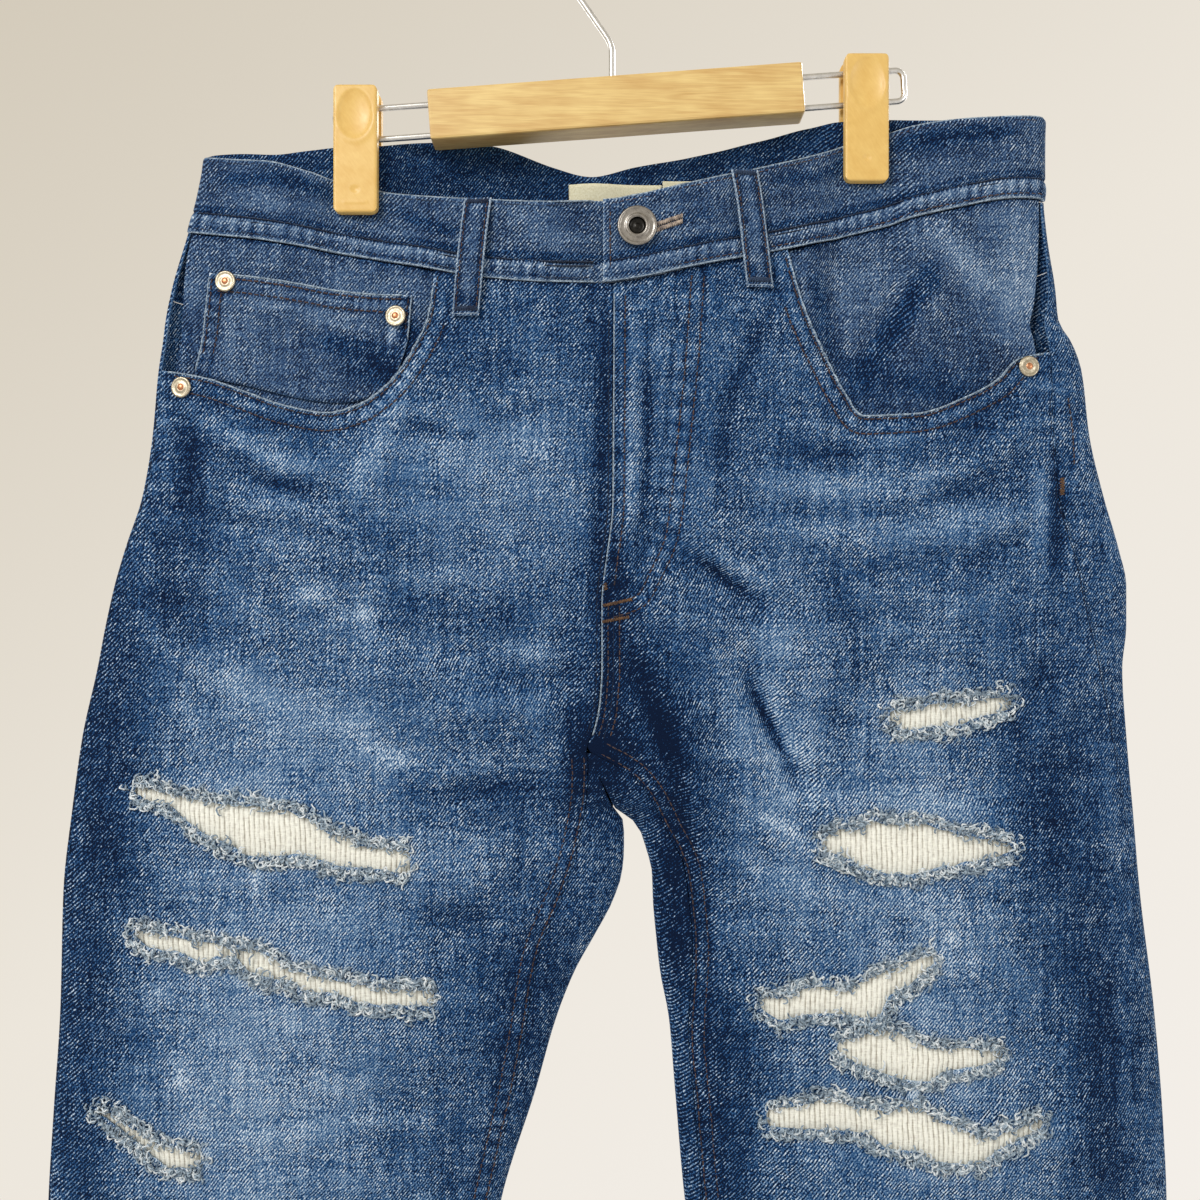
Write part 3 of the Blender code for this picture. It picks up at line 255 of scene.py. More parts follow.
OUTSEAM = Curves(  # how far in from the outline, on the front
    "z left right",
    (-90, 1.5, 1.5),
    (-153, 1.5, 2),
    (-188, 2, 5),
    (-211, 2, 14),
    (-236, 2, 18),
    (-260, 2.5, 19.5),
    (-290, 2.5, 24),
    (-325, 2, 23.5),
    (-350, 2, 18.5),
    (-367, 2, 12.5),
    (-393, 2, 8),
    (-435, 2, 4.5),
    (-500, 2, 2),
    (-1165, 3, 3),
)
CENTRE_FRONT = Curves(
    "z x",
    (-176, 0.5),
    (-288, 0),
    (-323, -4),
    (-338, -5.5),
    (-369, -5.5),
    (-387, -6.5),
    (-400, -9),
    (-411, -12.5),
    (-425, -6),
    (-440.7, 1),
)
CENTRE_BACK = Curves("z x", (-150, 4), (-250, 3), (-350, 2), (-440.7, 1))
DEPTH = Curves(  # from the middle plane to the cloth, at the middle of the ring
    "z front back",
    (-150, 14, 18),
    (-260, 13, 20),
    (-340, 13, 19),
    (-411, 12.5, 15),
    (-470, 12.5, 13),
    (-640, 11.5, 11.5),
    (-800, 11, 11),
    (-1165, 12, 12),
)
BAND_FRONT = Curves(
    "x y_top y_mid y_seam top seam",
    (-203, 0, 0, 0, -115.5, -153.5),
    (-200, 3, 3, 3, -116.5, -154.5),
    (-188, 5, 5.5, 6, -118, -156.5),
    (-170, 7, 7.5, 8, -119.5, -159),
    (-150, 4, 5, 7, -124, -162.5),
    (-139, 2.1, 2.1, 6, -127.5, -165),
    (-115, 2.1, 2.1, 6, -133, -169),
    (-96, 7, 7.5, 9, -136.5, -172.5),
    (-65, 13, 13, 14, -140, -179),
    (-29, 16, 16, 16, -142, -182),
    (-5, 17, 17, 17, -142, -182.5),
    (12, 17, 17, 17, -139.5, -180.5),
    (37, 16, 16, 16, -133.5, -175),
    (73, 11, 11, 13, -124, -167.5),
    (99, 6, 7, 10, -116.5, -161.5),
    (114, 2.1, 2.1, 3.2, -111, -157),
    (138, 2.1, 2.1, 3.2, -104, -151),
    (150, 4, 5, 7, -101, -147.5),
    (170, 6, 6.5, 7, -98.5, -143),
    (198, 5, 5.5, 6, -96.5, -138),
    (212.5, 3, 3, 3, -96, -137.5),
    (215.5, 0, 0, 0, -96.5, -138),
)
BAND_BACK = Curves(
    "x y_top y_mid y_seam top seam",
    (-203, 0, 0, 0, -115.5, -153.5),
    (-200, 3, 3, 3, -113.5, -152.5),
    (-188, 5, 5.5, 6, -112, -151),
    (-170, 7, 7.5, 8, -111.5, -150.5),
    (-150, 4, 5, 7, -110.5, -149.5),
    (-139, 2.1, 2.1, 2.1, -110, -149),
    (-115, 2.1, 2.1, 2.1, -109, -148),
    (-97, 10, 10.2, 10.5, -104.6, -144),
    (-84, 13.5, 13.5, 14, -103.6, -143),
    (-65, 16, 16, 16, -104, -143.5),
    (-29, 18, 18.5, 19, -115, -154),
    (-10, 13, 16, 19, -121, -159.5),
    (12, 16, 18, 20, -115, -154),
    (37, 17, 18, 19, -110.5, -149.5),
    (73, 13, 14, 15, -103.5, -143),
    (99, 8, 9, 11, -98.5, -138),
    (114, 2.1, 2.1, 2.1, -97, -136.5),
    (138, 2.1, 2.1, 2.1, -96, -135.5),
    (150, 4, 5, 7, -95.5, -135),
    (170, 6, 6.5, 7, -94.5, -134),
    (198, 5, 5.5, 6, -93, -134.5),
    (212.5, 3, 3, 3, -94, -136.5),
    (215.5, 0, 0, 0, -96.5, -138),
)
YOKE_SEAM = Curves("x z", (-224, -187), (-110, -213), (3, -233), (110, -207), (226, -172))
POCKET_LEFT = Curves(  # the front panel's curved edge, read by its share from the outseam
    "share x z",
    (0, -224.5, -222.5),
    (12, -201, -227),
    (25, -181, -234),
    (38, -161, -241),
    (50, -141, -244.5),
    (62, -126, -241),
    (74, -110, -229.5),
    (86, -97, -211),
    (94, -90.5, -196),
    (100, -87.5, -176.5),
)
POCKET_RIGHT = Curves(
    "share x z",
    (0, 216.5, -214),
    (10, 201, -217.5),
    (22, 190, -228),
    (34, 174.5, -236.5),
    (48, 149, -245),
    (60, 124, -246),
    (70, 115, -235),
    (80, 105.5, -217),
    (91, 95, -194),
    (100, 86, -165),
)
FOLDS = Curves(  # the largest soft folds: ends, half width and height, out of the cloth
    "row x0 z0 x1 z1 width height",
    (0, 26, -312, 66, -338, 13, -3.0),
    (1, 64, -370, 90, -424, 14, -3.0),
    (2, 36, -398, 50, -470, 12, 3.0),
    (3, -50, -395, -110, -372, 16, 2.5),
    (4, -180, -520, -90, -560, 22, 2.0),
    (5, 110, -640, 230, -610, 24, 2.0),
    (6, -240, -760, -110, -730, 30, 3.0),
    (7, 90, -770, 250, -735, 30, 3.0),
    (8, -200, -1010, -170, -1120, 26, 2.5),
    (9, 190, -990, 165, -1120, 26, 2.5),
)
PATCHES = {  # backing cloth behind the rips: left, right, foot and top
    "left_1": (-256, -70, -479, -419),
    "left_2": (-256, -60, -554, -490),
    "left_3": (-276, -170, -641, -571),
    "right_1": (112, 225, -412, -367),
    "right_2": (85, 225, -479, -433),
    "right_3": (50, 236, -641, -490),
}
BACK_POCKETS = {Leg.LEFT: (-98.0, -246.0), Leg.RIGHT: (103.0, -240.0)}  # middle of the top edge
RIVETS = {
    "coin_outer": (-191.0, -179.5),
    "coin_inner": (-106.5, -197.0),
    "pocket_left": (-213.5, -231.5),
    "pocket_right": (206.0, -221.5),
}
CLIP_TOPS = {Leg.LEFT: (-127.0, -82.0), Leg.RIGHT: (126.0, -66.5)}
WIRE_ENDS = {Leg.LEFT: -140.0, Leg.RIGHT: 148.0}
LOOPS = {  # belt loops: side, then top and bottom of the strap's middle line
    "front_left": (Side.FRONT, -65, -141, -71.5, -198),
    "front_right": (Side.FRONT, 64, -127, 72, -184),
    "back_left": (Side.BACK, -162, -112, -163, -168),
    "back_centre": (Side.BACK, 3, -119, 3, -177),
    "back_right": (Side.BACK, 168, -95.5, 170, -152),
}
RIPS = {
    "left_1": Rip(
        upper=(
            (-235, -429.5), (-222, -431.5), (-214, -434), (-201, -436.5), (-184, -438.5), (-168, -440),
            (-160, -441), (-147, -446.5), (-136, -453), (-130, -454), (-126, -458), (-115, -459),
            (-100, -461),
        ),
        lower=(
            (-235, -433), (-226, -436), (-218, -438), (-208, -446), (-198, -452.5), (-187, -457),
            (-177, -462.5), (-168, -462.5), (-153, -461.5), (-141, -464.5), (-131, -467), (-115, -468.5),
            (-100, -471),
        ),
    ),
    "left_2": Rip(
        upper=(
            (-235, -500), (-224, -501.5), (-212, -503.5), (-195, -506), (-184, -508.5), (-173, -510),
            (-165, -514.5), (-155, -519), (-142, -522.5), (-131, -524.5), (-120, -527), (-104, -528.5),
            (-88, -529.5),
        ),
        lower=(
            (-235, -502), (-226, -508), (-212, -509.5), (-202, -514.5), (-192, -511), (-185, -511.5),
            (-179, -517), (-167, -521.5), (-156, -523), (-149, -528.5), (-136, -528.5), (-126, -533),
            (-110, -535), (-88, -536),
        ),
    ),
    "left_3": Rip(
        upper=(
            (-253, -588.5), (-246, -591.5), (-238, -596.5), (-230, -601), (-223, -605.5), (-215, -607),
            (-203, -609),
        ),
        lower=(
            (-253, -590.5), (-246, -594.5), (-236, -602), (-228, -608), (-223, -612.5), (-217, -615.5),
            (-203, -615.5),
        ),
    ),
    "right_1": Rip(
        upper=((137, -392), (151, -391.5), (157, -388.5), (173, -388), (180, -387), (196, -385)),
        lower=((137, -396.5), (146, -400.5), (158, -398.5), (169, -398.5), (180, -394.5), (196, -390.5)),
    ),
    "right_2": Rip(
        upper=(
            (104, -455), (110, -450.5), (122, -450), (128, -445.5), (135, -448), (152, -447.5),
            (163, -451), (171, -453), (184, -455), (196, -457.5),
        ),
        lower=(
            (104, -459.5), (116, -463.5), (126, -469), (145, -471), (156, -468.5), (169, -466),
            (182, -464), (196, -460.5),
        ),
    ),
    "right_3": Rip(
        upper=(
            (73, -533), (84, -533), (95, -528.5), (105, -527.5), (114, -529.5), (124, -524), (136, -519),
            (147, -514.5), (157, -511.5),
        ),
        lower=(
            (73, -537.5), (84, -543), (92, -541), (108, -539.5), (125, -542), (133, -538.5), (135, -532),
            (147, -524.5), (157, -515.5),
        ),
    ),
    "right_4": Rip(
        upper=(
            (111, -554), (121, -552), (129, -549), (139, -549.5), (147, -554), (158, -557.5),
            (174, -558), (191, -559),
        ),
        lower=(
            (111, -558.5), (120, -564), (130, -567.5), (144, -572), (155, -572.5), (164, -567.5),
            (178, -565.5), (191, -562.5),
        ),
    ),
    "right_5": Rip(
        upper=(
            (77, -588.5), (95, -586), (107, -581.5), (117, -586), (136, -588.5), (145, -586),
            (154, -588.5), (158, -592), (171, -597), (182, -601.5), (197, -597), (211, -592),
        ),
        lower=(
            (77, -596), (97, -596.5), (114, -597), (127, -599.5), (135, -605.5), (149, -607),
            (158, -611.5), (178, -613), (191, -605), (211, -595),
        ),
    ),
}


# ---------------------------------------------------------------- short mathematics
def joined(*columns: float | Array) -> Array:
    """Puts the values of each place together, as a new last axis."""
    return np.stack(np.broadcast_arrays(*columns), axis=-1)


def unit(vectors: Array) -> Array:
    """Vectors along the last axis, made one long."""
    return vectors / np.linalg.norm(vectors, axis=-1, keepdims=True)


def hill(at: float | Array, middle: float | Array, width: float) -> Array:
    """A soft bump of height 1, down to a third at its width from the middle."""
    return np.exp(-(((at - middle) / width) ** 2))


def ease(t: float | Array) -> Array:
    """Smooth step from 0 to 1."""
    t = np.clip(t, 0, 1)
    return t * t * (3 - 2 * t)


def lens(t: float | Array) -> Array:
    """Depth share across a flattened tube, from 0 at its edges to 1 at its middle."""
    return np.sqrt(np.clip(1 - np.abs(t) ** LENS_POWER, 0, 1))


def band_table(side: Side) -> Curves:
    """The waistband's table for the front or the back."""
    return BAND_FRONT if side == Side.FRONT else BAND_BACK


# ---------------------------------------------------------------- marks on the cloth, in millimetres
def measure(places: Array, x: Array, z: Array, reach: float) -> tuple[Array, Array]:
    """How far places lie from a line, and how far along it they are.

    Args:
        places: The line's points, one (x, z) row each.
        x: Where to measure.
        z: Where to measure.
        reach: Places farther than this from the line are left at infinity.

    Returns:
        The distance from the line and the length along it, for each place.
    """
    low, high = places.min(0) - reach, places.max(0) + reach
    near = (x > low[0]) & (x < high[0]) & (z > low[1]) & (z < high[1])
    distance, along = np.full(x.shape, np.inf), np.zeros(x.shape)
    px, pz = x[near], z[near]
    best, best_along = np.full(px.shape, np.inf), np.zeros(px.shape)
    start = 0.0
    for (x0, z0), (x1, z1) in zip(places, places[1:]):
        length2 = (x1 - x0) ** 2 + (z1 - z0) ** 2 + 1e-9
        t = np.clip(((px - x0) * (x1 - x0) + (pz - z0) * (z1 - z0)) / length2, 0, 1)
        off = np.hypot(px - x0 - t * (x1 - x0), pz - z0 - t * (z1 - z0))
        closer = off < best
        best = np.where(closer, off, best)
        best_along = np.where(closer, start + t * math.sqrt(length2), best_along)
        start += math.sqrt(length2)
    distance[near], along[near] = best, best_along
    return distance, along


@dataclass(frozen=True)
class Stroke:
    """A soft mark along a line, strongest at its middle: a crease's height, a change in the dye, or a line of
    painted shade.
    """

    places: Line
    width: float
    amount: float

    def at(self, x: Array, z: Array) -> Array:
        """The mark's value at each place."""
        places = np.array(self.places, float)
        if len(places) == 1:
            places = np.vstack([places, places + (0.01, 0)])
        distance, along = measure(places, x, z, 2.6 * self.width)
        total = np.hypot(*np.diff(places, axis=0).T).sum()
        end = np.minimum(along, total - along) / max(0.3 * total, 1e-6)
        taper = 1.0 if total < self.width else 0.3 + 0.7 * ease(end)
        return self.amount * taper * hill(distance, 0, self.width)


@dataclass(frozen=True)
class Bloom:
    """A broad soft patch of lighter or darker dye, or of painted shade."""

    x: float
    z: float
    half_width: float
    half_height: float
    amount: float

    def at(self, x: Array, z: Array) -> Array:
        """The patch's value at each place."""
        off = ((x - self.x) / self.half_width) ** 2 + ((z - self.z) / self.half_height) ** 2
        return self.amount * np.exp(-off)


def marks(kinds: Sequence[Stroke | Bloom], x: Array, z: Array) -> Array:
    """The sum of several marks at each place."""
    total = np.zeros(np.shape(x))
    for mark in kinds:
        total = total + mark.at(x, z)
    return total


def ripple(x: Array, z: Array, length: float, seed: int) -> Array:
    """A smooth uneven field of about -1 to 1, from a few crossing waves.

    Args:
        x: Where to read it.
        z: Where to read it.
        length: Typical distance from crest to crest.
        seed: Picks the waves.

    Returns:
        The field's value at each place.
    """
    random = np.random.default_rng(seed)
    total = np.zeros(np.broadcast(x, z).shape)
    for _ in range(7):
        turn, phase, size = random.uniform(0, math.tau), random.uniform(0, math.tau), random.uniform(0.7, 1.6)
        rate = math.tau / (length * size)
        total = total + np.sin(rate * (x * math.cos(turn) + z * math.sin(turn)) + phase)
    return total / 3.2


def wash_lines(x: Array, z: Array) -> Array:
    """Long soft ridges that run mostly level across the cloth, about -1 to 1."""
    return ripple(0.24 * x, z + 0.12 * np.abs(x), 16, 71)


FRONT_CREASES = (
    Stroke(((17.6, -225), (17.6, -288), (15, -304)), 3.2, -1.5),
    Stroke(((9, -215), (9.5, -260), (7, -300)), 5.0, 0.8),
    Stroke(((5, -352), (17, -384), (33, -424)), 5.5, -1.5),
    Stroke(((14, -352), (27, -380), (44, -410)), 6.0, 1.1),
    Stroke(((43, -317), (56, -327), (71, -339)), 2.8, -1.3),
    Stroke(((66, -372), (75, -393), (86, -417)), 2.8, -1.3),
    Stroke(((-4.5, -190), (-4.5, -250), (-8, -330)), 4.0, -1.2),
    Stroke(((30, -310), (46, -323), (63, -333)), 4.5, -1.6),
    Stroke(((28, -300), (45, -312), (66, -322)), 6.0, 1.0),
    Stroke(((65, -372), (76, -395), (89, -420), (97, -440)), 5.5, -1.7),
    Stroke(((52, -365), (62, -395), (72, -425)), 8.0, 1.4),
    Stroke(((32.6, -400), (37, -417), (41.4, -439), (44.5, -461), (46.4, -477)), 5.0, 1.6),
    Stroke(((24, -400), (29, -420), (34, -445), (38, -470)), 4.0, -1.6),
    Stroke(((-18.3, -392), (-17.5, -409), (-12.4, -425)), 4.0, 1.5),
    Stroke(((-24, -350), (-23, -385), (-19, -415)), 5.0, -1.2),
    Stroke(((-30, -380), (-60, -366), (-100, -362)), 7.0, -1.2),
    Stroke(((-25, -396), (-60, -388), (-110, -392)), 8.0, 1.0),
    Stroke(((-25, -418), (-55, -424), (-95, -440)), 7.0, -1.0),
    Stroke(((220.3, -268), (221, -290), (219.8, -318)), 4.0, -1.8),
    Stroke(((210, -262), (211, -290), (209, -330)), 5.0, 1.0),
    Stroke(((82, -184), (69, -212), (57, -238), (52, -290)), 5.0, -1.3),
    Stroke(((-213, -240), (-207, -262), (-210, -292)), 5.0, -1.4),
    Stroke(((-222, -240), (-219, -265), (-224, -300)), 4.5, 1.3),
    Stroke(((-198, -262), (-170, -281), (-135, -287)), 6.0, -1.3),
    Stroke(((-200, -250), (-170, -268), (-145, -273)), 5.5, 1.2),
    Stroke(((-215, -290), (-185, -299), (-150, -306)), 6.0, -1.2),
    Stroke(((-206, -276), (-180, -288), (-142, -297)), 5.0, 1.0),
    Stroke(((-234, -325), (-212, -340), (-190, -352)), 7.0, -1.3),
    Stroke(((-240, -345), (-215, -365), (-180, -376)), 7.0, 1.1),
    Stroke(((-105, -248), (-82, -256), (-58, -258)), 4.0, -0.8),
    Stroke(((-88, -200), (-108, -245), (-124, -280), (-145, -300)), 6.0, 0.9),
    Stroke(((-110, -335), (-70, -343), (-28, -341)), 7.0, -0.9),
    Stroke(((200, -232), (185, -248), (160, -262)), 5.5, -1.3),
    Stroke(((212, -242), (195, -262), (165, -280)), 5.0, 1.2),
    Stroke(((210, -262), (180, -284), (140, -292)), 6.0, -1.2),
    Stroke(((215, -290), (190, -300), (150, -306)), 6.0, 1.0),
    Stroke(((208, -304), (180, -318), (145, -322)), 6.0, -1.0),
    Stroke(((130, -252), (108, -262), (80, -268)), 6.0, -0.8),
    Stroke(((236, -352), (215, -370), (196, -394)), 7.0, -1.3),
    Stroke(((244, -365), (226, -385), (205, -410)), 6.0, 1.2),
    Stroke(((240, -420), (220, -445), (204, -452)), 8.0, -1.1),
    Stroke(((-262, -440), (-245, -462), (-225, -480)), 8.0, -1.4),
    Stroke(((-268, -470), (-248, -492), (-222, -503)), 7.0, 1.2),
    Stroke(((-255, -560), (-225, -548), (-190, -556)), 9.0, -1.0),
    Stroke(((-60, -470), (-85, -480), (-110, -478)), 8.0, 1.0),
    Stroke(((-50, -495), (-75, -500), (-100, -490)), 7.0, -1.1),
    Stroke(((-70, -560), (-95, -580), (-130, -586)), 10.0, -0.9),
    Stroke(((55, -520), (75, -508), (95, -512)), 8.0, -0.9),
    Stroke(((60, -545), (72, -565), (80, -600)), 8.0, -1.1),
    Stroke(((235, -500), (215, -530), (208, -560)), 10.0, -1.2),
    Stroke(((244, -580), (222, -600), (200, -604)), 9.0, 1.1),
    Stroke(((-250, -640), (-200, -655), (-120, -640)), 14.0, -1.6),
    Stroke(((-240, -672), (-190, -684), (-115, -676)), 13.0, 1.4),
    Stroke(((90, -650), (150, -668), (235, -655)), 14.0, -1.6),
    Stroke(((85, -690), (160, -700), (240, -686)), 13.0, 1.4),
    Stroke(((-250, -800), (-190, -815), (-120, -806)), 15.0, -1.5),
    Stroke(((100, -820), (170, -806), (240, -822)), 15.0, -1.5),
    Stroke(((-230, -920), (-190, -905), (-130, -915)), 14.0, 1.3),
    Stroke(((110, -900), (170, -922), (235, -905)), 14.0, 1.3),
    Stroke(((-240, -1080), (-190, -1065), (-120, -1082)), 13.0, -1.6),
    Stroke(((-235, -1120), (-180, -1108), (-115, -1124)), 11.0, 1.5),
    Stroke(((105, -1075), (170, -1090), (240, -1072)), 13.0, -1.6),
    Stroke(((110, -1118), (170, -1128), (235, -1112)), 11.0, 1.5),
)
BACK_CREASES = (
    Stroke(((-14, -330), (-60, -352), (-120, -362)), 10.0, -1.6),
    Stroke(((16, -332), (62, -356), (125, -360)), 10.0, -1.6),
    Stroke(((-12, -372), (-60, -392), (-130, -404), (-190, -398)), 11.0, -2.0),
    Stroke(((14, -376), (66, -398), (135, -402), (200, -394)), 11.0, -2.0),
    Stroke(((-16, -398), (-70, -420), (-140, -430)), 11.0, 1.8),
    Stroke(((18, -400), (72, -424), (145, -430)), 11.0, 1.8),
    Stroke(((-24, -440), (-80, -458), (-160, -462)), 12.0, -1.8),
    Stroke(((30, -444), (86, -462), (165, -458)), 12.0, -1.8),
    Stroke(((-205, -240), (-190, -280), (-195, -320)), 9.0, -1.2),
    Stroke(((208, -236), (196, -280), (200, -322)), 9.0, -1.2),
    Stroke(((-240, -600), (-180, -622), (-100, -616)), 12.0, -2.0),
    Stroke(((-236, -640), (-170, -652), (-90, -640)), 12.0, 1.7),
    Stroke(((-245, -680), (-180, -692), (-96, -684)), 12.0, -2.0),
    Stroke(((-236, -725), (-170, -716), (-100, -730)), 13.0, 1.6),
    Stroke(((66, -606), (150, -626), (240, -612)), 12.0, -2.0),
    Stroke(((70, -648), (150, -640), (236, -654)), 12.0, 1.7),
    Stroke(((74, -690), (155, -680), (240, -694)), 12.0, -2.0),
    Stroke(((80, -730), (160, -738), (238, -724)), 13.0, 1.6),
    Stroke(((-230, -860), (-180, -850), (-120, -866)), 15.0, -1.5),
    Stroke(((100, -850), (170, -866), (235, -848)), 15.0, -1.5),
    Stroke(((-235, -1090), (-180, -1078), (-115, -1094)), 13.0, -1.7),
    Stroke(((105, -1084), (170, -1098), (238, -1080)), 13.0, -1.7),
)
BASE_DYE = 0.294
FADE_AND_SHADE_DEPTH = 1.32
